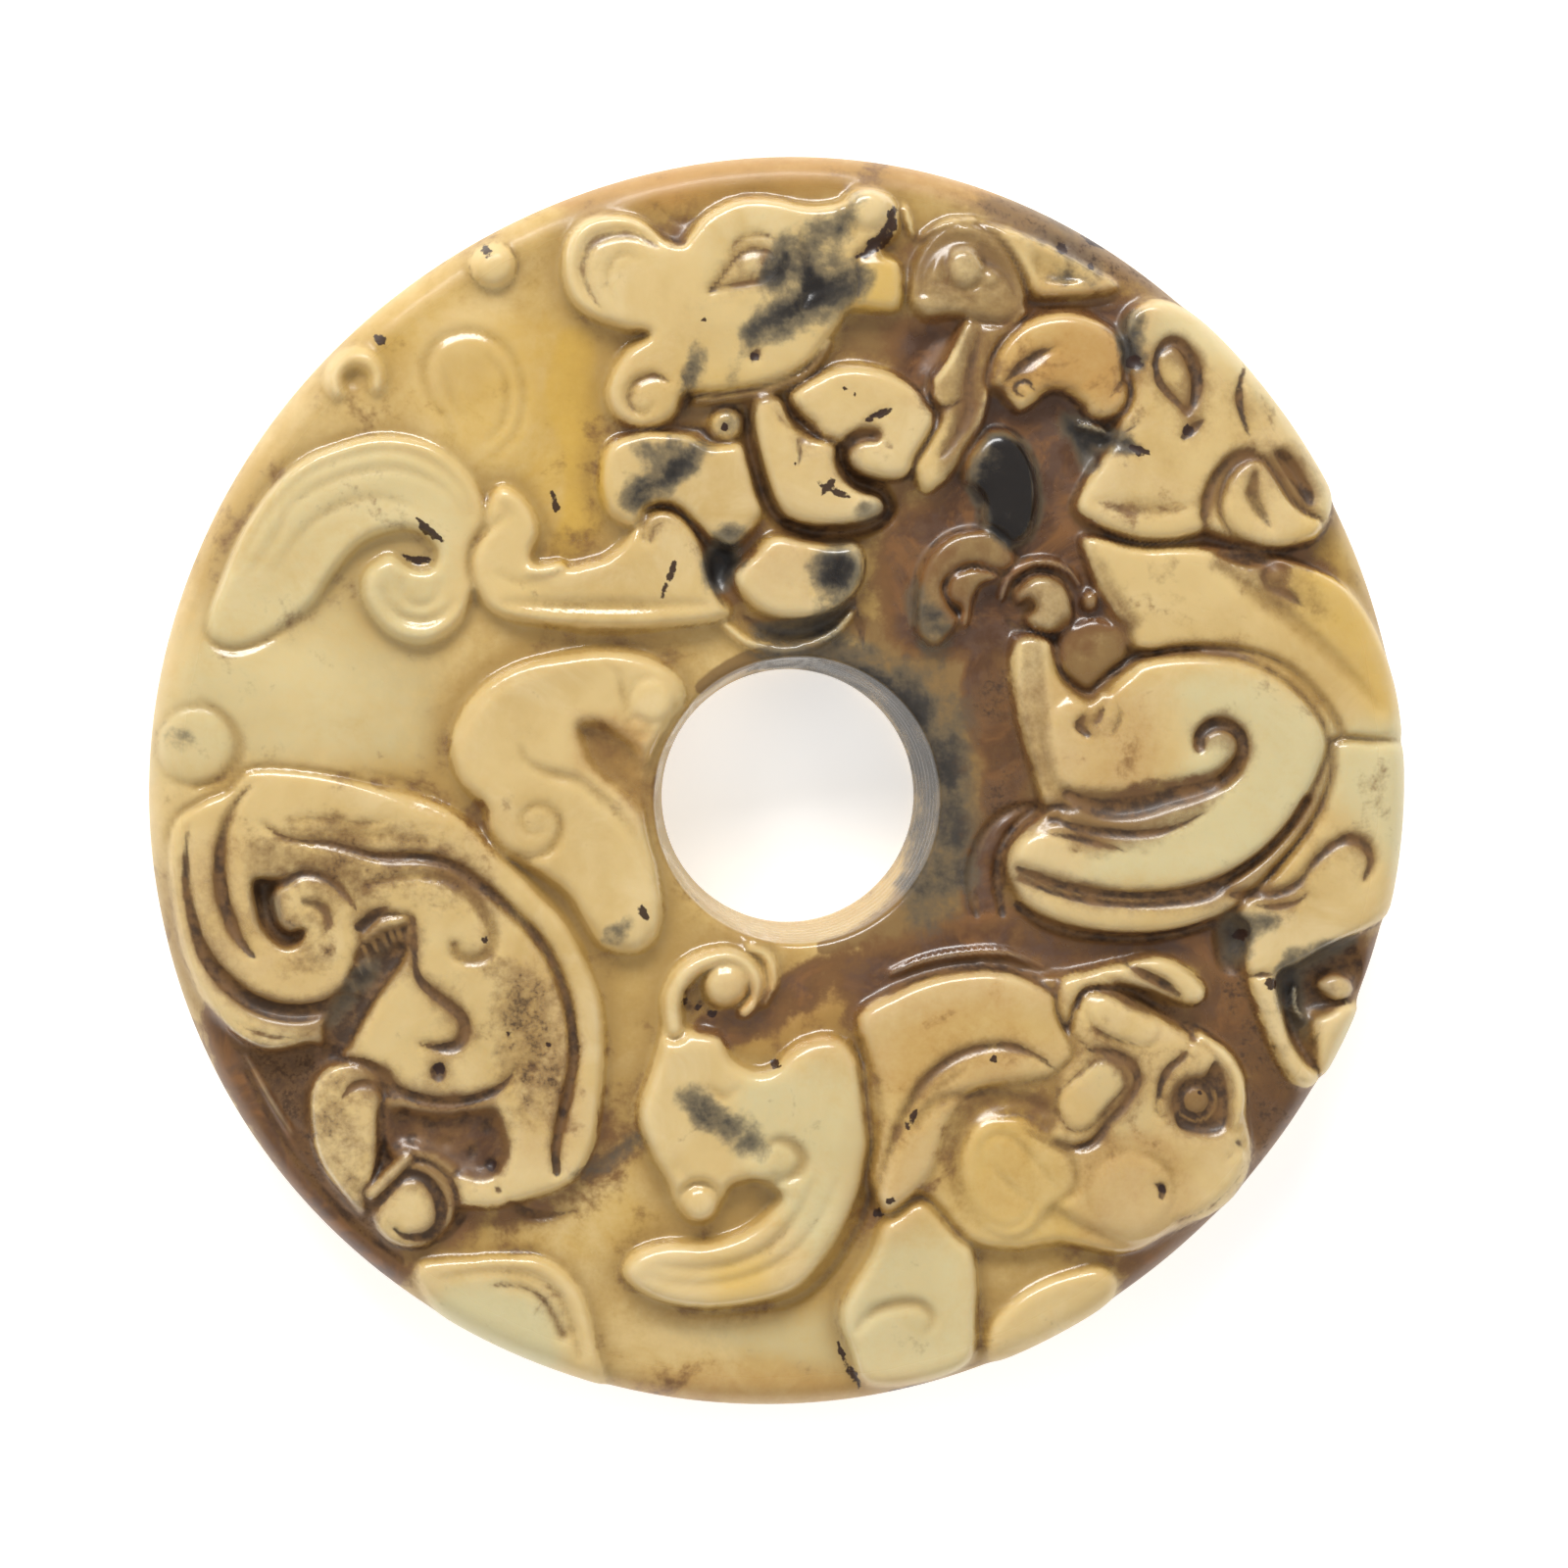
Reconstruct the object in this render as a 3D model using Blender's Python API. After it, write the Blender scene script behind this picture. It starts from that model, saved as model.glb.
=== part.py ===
"""A carved jade disc (bi), lying on its flat back with the carved face up.

The disc is one piece of stone: a round plate with a slightly off-centre, tapered hole, a softly
domed front and a rounded rim. Coiling dragons and beast heads stand up from a ground that is cut
back around them. The carving is drawn in millimetres on a disc of DRAWN_RADIUS and scales with
the real one; its heights scale with RELIEF_HEIGHT.
"""
import math

import bpy
import numpy as np

# Driving sizes, in metres
DISC_RADIUS = 0.028
GROUND_HEIGHT = 0.0052
RELIEF_HEIGHT = 0.0015
DOME_DROP = 0.0005
RIM_ROUND = 0.0013
RIM_ROUND_DROP = 0.0016
BACK_CHAMFER = 0.0005
HOLE_X = 0.00054
HOLE_Y = -0.00058
HOLE_RADIUS_FRONT = 0.00635
HOLE_RADIUS_BACK = 0.00575
HOLE_LIP = 0.0004

# How far the hand-cut outline strays from a circle: waves round the rim, share of the radius, degrees
OUTLINE_WAVES = ((2, 0.0069, 35.9), (3, 0.0023, -32.9), (4, 0.0023, 171.6), (5, 0.0014, 0.0))

# The drawing of the carving
DRAWN_RADIUS = 28.0
DRAWN_RELIEF = 1.5
DRAWING_STEP = 0.14
SOFTNESS = 0.13

# The mesh
ANGLES = 540
FRONT_RINGS = 76
ROUND_STEPS = 6
LIP_STEPS = 3
BORE_STEPS = 3
SIDE_STEPS = 2
BACK_STEPS = 4
TRIANGLE_BUDGET = 8800
FLAT_WITHIN = 0.00002

JADE_COLOUR = (0.68, 0.55, 0.31, 1.0)


def smooth_curve(points, closed=False, steps=6):
    """A smooth curve through a few points."""
    p = np.asarray(points, float)
    if closed:
        before, start, after, beyond = np.roll(p, 1, 0), p, np.roll(p, -1, 0), np.roll(p, -2, 0)
    else:
        q = np.vstack([2 * p[0] - p[1], p, 2 * p[-1] - p[-2]])
        before, start, after, beyond = q[:-3], q[1:-2], q[2:-1], q[3:]
    a, b, c, d = (v[:, None, :] for v in (before, start, after, beyond))
    t = np.linspace(0, 1, steps, endpoint=False)[None, :, None]
    curve = 0.5 * (2 * b + (c - a) * t + (2 * a - 5 * b + 4 * c - d) * t ** 2
                   + (3 * b - a - 3 * c + d) * t ** 3)
    curve = curve.reshape(-1, 2)
    return curve if closed else np.vstack([curve, p[-1]])


def arc(x, y, radius, start, end, count=10):
    """Points along a circle, between two angles in degrees."""
    angle = np.radians(np.linspace(start, end, count))
    return np.stack([x + radius * np.cos(angle), y + radius * np.sin(angle)], 1)


class Carving:
    """Heights above the ground, drawn form by form on a square grid in drawing millimetres."""

    def __init__(self, half, step):
        self.axis = np.arange(-half, half + step / 2, step)
        self.step = step
        self.x, self.y = np.meshgrid(self.axis, self.axis)
        self.height = np.zeros_like(self.x)

    def window(self, points, margin):
        """The part of the grid round some points."""
        low, high = points.min(0) - margin, points.max(0) + margin
        rows = slice(*np.searchsorted(self.axis, [low[1], high[1]]))
        columns = slice(*np.searchsorted(self.axis, [low[0], high[0]]))
        return rows, columns

    def nearest(self, points, win, closed=False):
        """Distance to a line of points, the share of its length there, and what lies inside it."""
        x, y = self.x[win], self.y[win]
        line = np.vstack([points, points[:1]]) if closed else points
        legs = np.diff(line, axis=0)
        lengths = np.hypot(legs[:, 0], legs[:, 1])
        run = np.concatenate([[0], np.cumsum(lengths)])
        best = np.full(x.shape, np.inf)
        share = np.zeros(x.shape)
        inside = np.zeros(x.shape, bool)
        for k in np.flatnonzero(lengths > 0):
            (ax, ay), (sx, sy) = line[k], legs[k]
            t = np.clip(((x - ax) * sx + (y - ay) * sy) / lengths[k] ** 2, 0, 1)
            squared = (x - ax - t * sx) ** 2 + (y - ay - t * sy) ** 2
            nearer = squared < best
            best[nearer] = squared[nearer]
            share[nearer] = ((run[k] + t * lengths[k]) / run[-1])[nearer]
            if closed and sy != 0:
                inside ^= ((ay > y) != (ay + sy > y)) & (x < ax + sx * (y - ay) / sy)
        return np.sqrt(best), share, inside

    def lay(self, win, depth, top, drop, edge, moat):
        """Raise a form with a rounded edge, and cut what is already there back round it."""
        rise = np.sqrt(1 - (1 - np.clip(depth / edge, 0, 1)) ** 2)
        body = top - drop * (1 - rise)
        slope = top - drop + np.clip(-depth, 0, None) * drop * 1.15 / moat
        self.height[win] = np.where(depth > 0, body, np.minimum(self.height[win], slope))

    def plate(self, points, top=1.3, drop=1.1, edge=0.8, moat=0.6):
        """A raised form inside a closed outline."""
        line = smooth_curve(points, closed=True)
        win = self.window(line, moat + 1)
        distance, _, inside = self.nearest(line, win, closed=True)
        self.lay(win, np.where(inside, distance, -distance), top, drop, edge, moat)

    def band(self, points, widths, top=1.3, drop=1.1, moat=0.5):
        """A raised round strap along a line, with its half widths from end to end."""
        line = smooth_curve(points)
        win = self.window(line, max(widths) + moat + 1)
        distance, share, _ = self.nearest(line, win)
        width = np.interp(share, np.linspace(0, 1, len(widths)), widths)
        self.lay(win, width - distance, top, drop, width, moat)

    def ball(self, x, y, radius, top=1.3, drop=1.1, moat=0.4):
        """A round knob."""
        win = self.window(arc(x, y, radius, 0, 360), moat + 1)
        depth = radius - np.hypot(self.x[win] - x, self.y[win] - y)
        self.lay(win, depth, top, drop, radius, moat)

    def groove(self, points, widths, deep):
        """A round-bottomed cut along a line, with its half widths from end to end."""
        line = smooth_curve(points)
        win = self.window(line, max(widths) + 0.5)
        distance, share, _ = self.nearest(line, win)
        width = np.interp(share, np.linspace(0, 1, len(widths)), widths)
        cut = (1 - np.clip(distance / width, 0, 1) ** 2) ** 1.5
        self.height[win] -= deep * cut * (width / max(widths)) ** 0.5

    def sink(self, points, level, edge=0.5):
        """Cut the inside of an outline back to one level."""
        line = smooth_curve(points, closed=True)
        win = self.window(line, 0.5)
        distance, _, inside = self.nearest(line, win, closed=True)
        t = np.clip(distance / edge, 0, 1)
        t = np.where(inside, t * t * (3 - 2 * t), 0)
        mixed = self.height[win] * (1 - t) + level * t
        self.height[win] = np.minimum(self.height[win], mixed)

    def soften(self, radius):
        """Take the sharpness off every edge, as polishing does."""
        spread = radius / self.step
        reach = max(1, math.ceil(spread * 3))
        weights = np.exp(-0.5 * (np.arange(-reach, reach + 1) / spread) ** 2)
        weights /= weights.sum()
        for axis in (0, 1):
            size = self.height.shape[axis]
            pad = [(reach, reach) if k == axis else (0, 0) for k in (0, 1)]
            wide = np.pad(self.height, pad, mode="edge")
            self.height = sum(w * np.take(wide, np.arange(k, k + size), axis=axis)
                              for k, w in enumerate(weights))

    def read(self, x, y):
        """Heights at any places, between the points of the grid."""
        last = len(self.axis) - 2
        column = np.clip((x - self.axis[0]) / self.step, 0, last + 0.999)
        row = np.clip((y - self.axis[0]) / self.step, 0, last + 0.999)
        j, i = column.astype(int), row.astype(int)
        u, v = column - j, row - i
        h = self.height
        return ((h[i, j] * (1 - u) + h[i, j + 1] * u) * (1 - v)
                + (h[i + 1, j] * (1 - u) + h[i + 1, j + 1] * u) * v)


def left_scroll(c):
    c.plate([(-25.7, 7.0), (-25.0, 9.3), (-23.9, 11.7), (-22.2, 13.9), (-20.2, 15.1), (-17.9, 15.6),
        (-15.6, 15.2), (-14.0, 13.9), (-13.3, 12.2), (-13.6, 10.2), (-13.9, 8.6), (-14.6, 7.2),
        (-16.0, 6.4), (-17.6, 6.8), (-18.7, 8.2), (-18.7, 9.5), (-17.6, 10.3), (-16.7, 9.8),
        (-15.8, 9.8), (-15.5, 10.5), (-16.2, 11.3), (-17.4, 11.4), (-18.9, 10.8), (-20.2, 9.3),
        (-21.1, 8.0), (-22.9, 6.7), (-24.6, 6.2)], top=0.95, drop=0.9, edge=1.3, moat=0.7)
    c.groove(arc(-16.2, 9.1, 1.7, 188, 335), [0.15, 0.4, 0.4, 0.15], deep=0.35)


def rim_marks_left(c):
    c.ball(-26.2, 1.9, 1.75, top=0.9, drop=0.9, moat=0.5)
    c.band(arc(-19.1, 18.1, 1.0, 215, -20), [0.35, 0.5, 0.55, 0.4], top=0.8, drop=0.7)
    c.ball(-13.0, 23.15, 1.1, top=0.95, drop=0.95, moat=0.5)
    c.band(arc(-13.0, 23.1, 1.75, -60, 30), [0.2, 0.35, 0.2], top=0.5, drop=0.4)


def leaf_loop(c):
    c.plate([(-14.2, 20.3), (-12.6, 19.6), (-11.8, 18.2), (-11.8, 16.8), (-12.6, 15.3), (-13.9, 14.4),
        (-14.7, 15.4), (-15.2, 16.8), (-15.9, 18.2), (-15.6, 19.6)], top=0.65, drop=0.6, edge=0.7)


def haunch(c):
    c.plate([(-15.1, 1.2), (-14.6, 2.9), (-13.2, 4.5), (-11.5, 5.3), (-9.3, 6.2), (-7.3, 6.3),
        (-5.5, 5.8), (-4.5, 4.8), (-4.7, 3.6), (-5.6, 2.9), (-7.2, 2.9), (-8.3, 3.2), (-9.4, 2.8),
        (-9.6, 1.8), (-9.1, 0.8), (-8.0, -0.2), (-6.7, -1.6), (-5.8, -3.4), (-5.4, -5.0), (-5.6, -6.4),
        (-6.9, -7.5), (-8.4, -7.3), (-9.1, -6.2), (-10.3, -4.9), (-11.8, -3.2), (-13.2, -2.3),
        (-14.1, -1.2), (-14.9, 0.0)], top=1.35, drop=1.2, edge=1.3, moat=0.6)
    c.band([(-13.6, 4.7), (-11.9, 5.6), (-9.6, 6.4), (-7.6, 6.7), (-5.9, 6.2), (-4.4, 5.1),
        (-4.2, 4.0)], [0.3], top=1.0, drop=0.8, moat=0.3)
    c.ball(-5.9, 4.0, 1.15, top=1.4, drop=0.8, moat=0.3)
    c.ball(-6.4, 2.45, 0.95, top=1.3, drop=0.8, moat=0.3)
    c.sink([(-9.2, 2.9), (-8.2, 3.1), (-7.3, 2.5), (-6.6, 1.8), (-5.9, 1.6), (-5.9, -0.2), (-6.2, -1.8),
        (-7.2, -0.6), (-8.2, 0.2), (-9.3, 1.1)], level=-0.15, edge=0.8)
    c.groove([(-12.9, -2.0), (-12.2, -2.8), (-11.2, -3.0), (-10.4, -2.6), (-10.05, -1.9),
        (-10.15, -1.2)], [0.15, 0.35, 0.35, 0.12], deep=0.4)
    c.groove([(-11.7, 1.7), (-11.2, 1.15), (-10.3, 0.9), (-9.4, 0.75), (-8.6, 0.4)],
        [0.08, 0.25, 0.4, 0.3], deep=0.35)


def jaw(c):
    c.plate([(-12.6, 13.4), (-11.6, 12.8), (-11.0, 11.5), (-11.3, 10.2), (-10.4, 9.8), (-8.6, 10.1),
        (-7.8, 10.4), (-7.0, 11.2), (-6.4, 12.2), (-5.4, 12.4), (-4.4, 11.9), (-3.6, 10.7), (-3.3, 9.2),
        (-2.5, 7.7), (-4.5, 7.2), (-7.5, 7.0), (-10.5, 7.2), (-12.8, 7.7), (-13.8, 8.8), (-14.0, 10.2),
        (-13.4, 11.5), (-13.2, 12.7)], top=1.2, drop=1.0, edge=0.7, moat=0.5)
    c.plate([(-10.9, 11.0), (-9.9, 12.6), (-8.6, 12.9), (-7.9, 11.6), (-8.2, 10.3), (-9.6, 10.0)],
        top=0.35, drop=0.2, edge=0.6, moat=0.4)
    c.groove([(-12.6, 8.15), (-10.0, 8.05), (-7.0, 8.0), (-3.6, 8.1)], [0.15, 0.3, 0.3, 0.15],
        deep=0.35)
    c.groove([(-6.9, 10.9), (-6.8, 11.7), (-6.1, 12.3), (-5.2, 12.4), (-4.3, 11.9), (-3.6, 10.9),
        (-3.25, 9.7), (-3.1, 8.8)], [0.3, 0.35, 0.35, 0.3], deep=0.5)
    c.band([(-11.5, 9.6), (-10.8, 9.65), (-10.0, 9.85)], [0.15, 0.25, 0.15], top=1.4, drop=0.3,
        moat=0.2)


def head_top(c):
    c.plate([(-9.7, 22.9), (-9.5, 21.7), (-8.9, 20.9), (-8.0, 20.45), (-7.0, 20.35), (-6.1, 20.0),
        (-7.2, 19.7), (-7.9, 18.8), (-8.15, 17.5), (-7.8, 16.5), (-6.9, 15.95), (-5.9, 15.9),
        (-5.1, 16.3), (-4.4, 17.1), (-2.8, 17.4), (-1.2, 17.6), (0.2, 18.2), (1.4, 19.2), (2.2, 20.2),
        (3.0, 21.2), (4.9, 21.2), (5.0, 23.2), (4.2, 23.8), (4.9, 24.6), (4.9, 25.5), (4.2, 26.2),
        (3.2, 26.4), (2.4, 26.0), (1.8, 25.4), (0.2, 25.8), (-1.5, 25.9), (-3.0, 25.5), (-4.3, 24.3),
        (-5.1, 24.2), (-6.0, 24.8), (-7.2, 25.1), (-8.4, 24.9), (-9.3, 24.1)], top=1.35, drop=1.2,
        edge=1.0, moat=0.6)
    c.groove([(-8.2, 21.4), (-8.7, 22.1), (-8.95, 22.9), (-8.7, 23.8), (-8.0, 24.25), (-7.0, 24.3),
        (-6.2, 24.05), (-5.8, 23.7)], [0.1, 0.3, 0.3, 0.35, 0.3, 0.1], deep=0.4)
    c.groove([(-4.9, 17.0), (-5.1, 17.7), (-5.8, 18.15), (-6.6, 18.0), (-6.95, 17.4), (-6.65, 16.85),
        (-6.1, 16.85)], [0.12, 0.3, 0.4, 0.4, 0.25], deep=0.5)
    c.ball(-1.4, 23.0, 0.75, top=1.5, drop=0.3, moat=0.15)
    c.ball(3.3, 25.3, 1.0, top=1.6, drop=0.7, moat=0.3)
    c.groove([(3.0, 21.2), (3.35, 22.4), (3.3, 23.3), (4.0, 23.9), (4.4, 24.8)], [0.2, 0.25, 0.3, 0.3],
        deep=0.4)


def plates(c):
    c.plate([(0.1, 17.3), (1.2, 18.2), (2.5, 18.7), (4.1, 18.55), (5.4, 17.9), (6.3, 17.0), (6.6, 15.8),
        (6.0, 14.5), (6.8, 13.5), (6.2, 13.1), (5.6, 13.6), (4.0, 13.8), (2.8, 14.3), (1.2, 15.9)],
        top=1.45, drop=1.1, edge=0.7)
    c.plate([(-0.8, 14.2), (-0.2, 15.2), (0.9, 15.6), (2.2, 15.0), (2.5, 14.0), (3.1, 13.2),
        (4.1, 12.9), (4.3, 12.3), (3.3, 11.7), (1.5, 11.6), (0.2, 12.0), (-0.6, 12.9)], top=1.35,
        drop=1.1, edge=0.7)
    c.groove([(3.7, 15.35), (3.0, 15.3), (2.55, 14.8), (2.55, 14.1), (3.0, 13.4), (3.9, 13.05),
        (4.45, 12.6), (4.2, 12.0), (3.5, 11.7)], [0.45, 0.5, 0.4, 0.4, 0.35, 0.25], deep=0.6)
    c.plate([(-1.5, 17.1), (-0.6, 17.2), (-0.3, 16.3), (0.2, 15.6), (-0.6, 14.9), (-1.0, 13.8),
        (-0.9, 12.6), (-1.5, 12.4), (-1.6, 14.0), (-1.5, 15.6)], top=1.1, drop=0.8, edge=0.4)
    c.plate([(-4.6, 13.4), (-3.3, 14.8), (-2.1, 15.3), (-1.6, 14.4), (-1.4, 13.0), (-1.2, 12.0),
        (-1.7, 11.2), (-2.6, 11.0), (-3.5, 11.5), (-4.3, 12.5)], top=1.3, drop=1.0, edge=0.7)
    c.plate([(-7.6, 15.6), (-6.4, 15.5), (-4.9, 15.6), (-3.8, 15.0), (-4.4, 13.8), (-5.1, 12.8),
        (-6.3, 12.6), (-7.3, 12.0), (-7.6, 13.6)], top=1.1, drop=0.9, edge=0.7)
    c.plate([(-2.2, 9.3), (-1.5, 10.3), (-0.6, 11.2), (0.6, 11.1), (2.0, 10.9), (3.2, 10.9), (3.3, 9.8),
        (2.9, 8.7), (2.1, 7.9), (0.7, 7.5), (-0.6, 7.6), (-1.6, 8.2)], top=1.35, drop=1.1, edge=0.6)
    c.band([(-2.9, 6.9), (-1.7, 6.25), (-0.3, 6.05), (1.0, 6.4), (2.1, 7.0), (2.9, 7.9)],
        [0.2, 0.4, 0.4, 0.2], top=0.9, drop=0.8)
    c.sink([(-3.4, 11.1), (-2.4, 11.1), (-1.8, 10.6), (-2.4, 9.5), (-2.9, 8.9), (-3.3, 9.4)],
        level=-0.4, edge=0.4)


def curl_limb(c):
    c.plate([(5.2, 21.2), (5.3, 22.5), (5.7, 23.7), (6.7, 24.7), (8.0, 24.95), (9.1, 24.4), (9.9, 23.4),
        (10.4, 22.3), (10.5, 21.2), (9.6, 20.0), (8.9, 18.8), (8.7, 17.6), (8.6, 16.6), (7.8, 16.0),
        (6.8, 16.6), (6.1, 17.4), (6.7, 18.3), (7.2, 19.4), (7.3, 20.4), (6.3, 20.9)], top=1.3,
        drop=1.15, edge=0.8)
    c.groove([(6.0, 21.6), (5.9, 22.6), (6.3, 23.6), (7.1, 24.25), (8.2, 24.2), (9.0, 23.6),
        (9.7, 22.9), (10.0, 22.0)], [0.2, 0.45, 0.45, 0.45, 0.2], deep=0.55)
    c.ball(7.8, 22.9, 1.0, top=1.45, drop=0.6, moat=0.3)
    c.sink([(5.8, 20.6), (7.0, 20.3), (7.0, 19.2), (6.4, 18.2), (5.6, 18.4), (5.5, 19.6)], level=-0.3,
        edge=0.5)
    c.band([(7.85, 20.7), (7.3, 19.4), (6.7, 18.3)], [0.15, 0.22, 0.2], top=1.5, drop=0.4, moat=0.2)
    c.band([(10.3, 20.7), (9.5, 19.8), (8.9, 18.8), (8.65, 17.6), (8.6, 16.6)], [0.15, 0.2, 0.2, 0.15],
        top=1.5, drop=0.4, moat=0.25)


def rim_leaf(c):
    c.plate([(8.5, 25.1), (10.5, 24.5), (12.5, 23.4), (14.6, 22.3), (13.4, 21.85), (11.8, 21.8),
        (10.7, 21.9), (9.6, 23.2)], top=1.1, drop=0.9, edge=0.4)
    c.sink([(10.2, 23.6), (12.0, 23.2), (13.4, 22.5), (12.0, 22.1), (10.8, 22.3)], level=0.7, edge=0.5)
    c.band([(5.1, 25.7), (5.35, 25.1), (5.6, 24.4)], [0.15, 0.2, 0.1], top=1.0, drop=0.8)
    c.band([(6.1, 24.5), (6.7, 24.75), (7.3, 24.95)], [0.1, 0.18, 0.1], top=1.3, drop=0.4)


def right_head(c):
    c.plate([(12.8, 12.3), (13.2, 13.4), (13.8, 14.3), (14.5, 15.2), (14.8, 16.4), (15.0, 18.2),
        (15.0, 20.0), (15.2, 21.3), (17.2, 21.4), (19.3, 20.0), (20.6, 18.6), (21.6, 17.4),
        (22.6, 15.8), (21.4, 15.1), (20.3, 14.9), (19.2, 14.1), (18.6, 13.0), (18.4, 11.7),
        (17.4, 11.05), (15.6, 11.1), (14.0, 11.8)], top=1.35, drop=1.2, edge=0.9)
    c.groove([(16.05, 18.9), (16.5, 19.5), (17.0, 19.75), (17.6, 19.2), (17.95, 18.2), (17.95, 17.2),
        (17.85, 16.5)], [0.12, 0.25, 0.35, 0.35, 0.12], deep=0.4)
    c.groove([(16.15, 18.9), (16.35, 18.1), (16.8, 17.4), (17.3, 16.95), (17.7, 16.3)],
        [0.12, 0.3, 0.2, 0.1], deep=0.35)
    c.plate([(19.4, 13.4), (19.9, 14.3), (20.7, 14.6), (21.5, 14.3), (22.1, 13.4), (22.8, 12.4),
        (23.7, 11.3), (22.4, 10.7), (21.0, 10.75), (20.0, 11.2), (19.4, 12.2)], top=1.4, drop=1.2,
        edge=0.7)
    c.groove([(20.35, 13.2), (20.45, 12.6), (20.9, 12.0), (21.5, 11.4)], [0.3, 0.42, 0.35, 0.1],
        deep=0.4)
    c.sink([(21.3, 14.9), (22.2, 15.1), (22.8, 14.0), (23.3, 12.7), (22.7, 12.7), (21.9, 13.9)],
        level=-0.3, edge=0.4)


def tan_leaf(c):
    c.plate([(8.9, 18.9), (9.7, 20.0), (10.8, 20.8), (12.2, 21.05), (13.6, 20.7), (14.8, 20.0),
        (15.0, 18.9), (14.9, 17.8), (14.8, 16.9), (14.3, 16.4), (13.4, 16.4), (12.5, 16.9),
        (11.6, 17.5), (10.9, 17.3), (10.3, 16.7), (9.8, 16.9), (10.2, 17.8), (9.2, 17.6)], top=1.4,
        drop=1.2, edge=0.8)
    c.groove([(9.9, 18.3), (10.6, 18.9), (11.4, 19.35), (12.2, 19.5)], [0.1, 0.3, 0.3, 0.1], deep=0.35)


def tail(c):
    c.plate([(15.0, 10.6), (17.0, 10.6), (18.5, 9.9), (20.5, 8.5), (22.5, 7.0), (24.5, 5.5),
        (26.4, 3.9), (27.4, 2.3), (25.8, 2.1), (24.2, 2.2), (23.6, 3.5), (22.3, 4.9), (20.6, 5.8),
        (18.0, 6.2), (16.0, 6.0), (15.3, 6.6), (15.1, 7.6), (14.4, 8.8), (14.1, 10.0)], top=1.1,
        drop=1.0, edge=1.0)
    c.band([(18.6, 9.8), (20.2, 8.5), (22.0, 7.0), (23.8, 5.5), (25.4, 4.0), (26.6, 2.6)],
        [0.2, 0.4, 0.5, 0.4, 0.3], top=1.45, drop=0.6, moat=0.7)
    c.sink([(18.7, 10.8), (20.2, 10.8), (21.9, 10.4), (21.3, 9.9), (20.3, 9.6), (19.2, 10.1)],
        level=-0.25, edge=0.4)
    c.sink([(20.9, 9.0), (22.0, 8.4), (23.2, 7.7), (23.3, 8.4), (22.4, 9.4), (21.8, 10.0), (21.3, 9.6)],
        level=-0.15, edge=0.4)
    c.ball(21.6, 9.4, 0.45, top=0.6, drop=0.5, moat=0.2)


def dark_dome(c):
    c.plate([(8.1, 13.3), (8.3, 14.6), (9.0, 15.8), (9.9, 15.7), (10.7, 14.9), (11.2, 13.6),
        (11.15, 12.0), (10.6, 10.9), (9.7, 10.6), (8.9, 11.1), (8.8, 12.2)], top=1.3, drop=1.2,
        edge=0.9)


def claw(c):
    c.band([(8.9, 11.0), (7.6, 10.7), (6.8, 9.9), (6.5, 8.8), (6.3, 7.7), (6.7, 7.1), (7.2, 7.4)],
        [0.5, 0.75, 0.7, 0.6, 0.55, 0.6, 0.4], top=1.2, drop=1.0)
    c.band([(5.6, 6.2), (5.35, 7.4), (5.5, 8.9), (5.9, 10.2), (6.8, 11.2), (8.2, 11.9)],
        [0.15, 0.3, 0.35, 0.35, 0.2], top=1.05, drop=0.7, moat=0.3)
    c.ball(8.1, 8.85, 0.85, top=1.25, drop=0.8, moat=0.35)
    c.plate([(9.8, 8.0), (10.1, 8.8), (10.9, 9.35), (11.7, 9.4), (12.4, 9.1), (12.8, 8.3), (12.7, 7.3),
        (11.9, 6.9), (10.9, 7.1), (10.3, 7.7)], top=1.35, drop=1.1, edge=0.6)
    c.band([(9.6, 8.4), (9.9, 9.3), (10.7, 9.95), (11.6, 10.1), (12.6, 9.8), (13.3, 9.0)],
        [0.12, 0.22, 0.25, 0.15], top=1.0, drop=0.6, moat=0.3)


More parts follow.
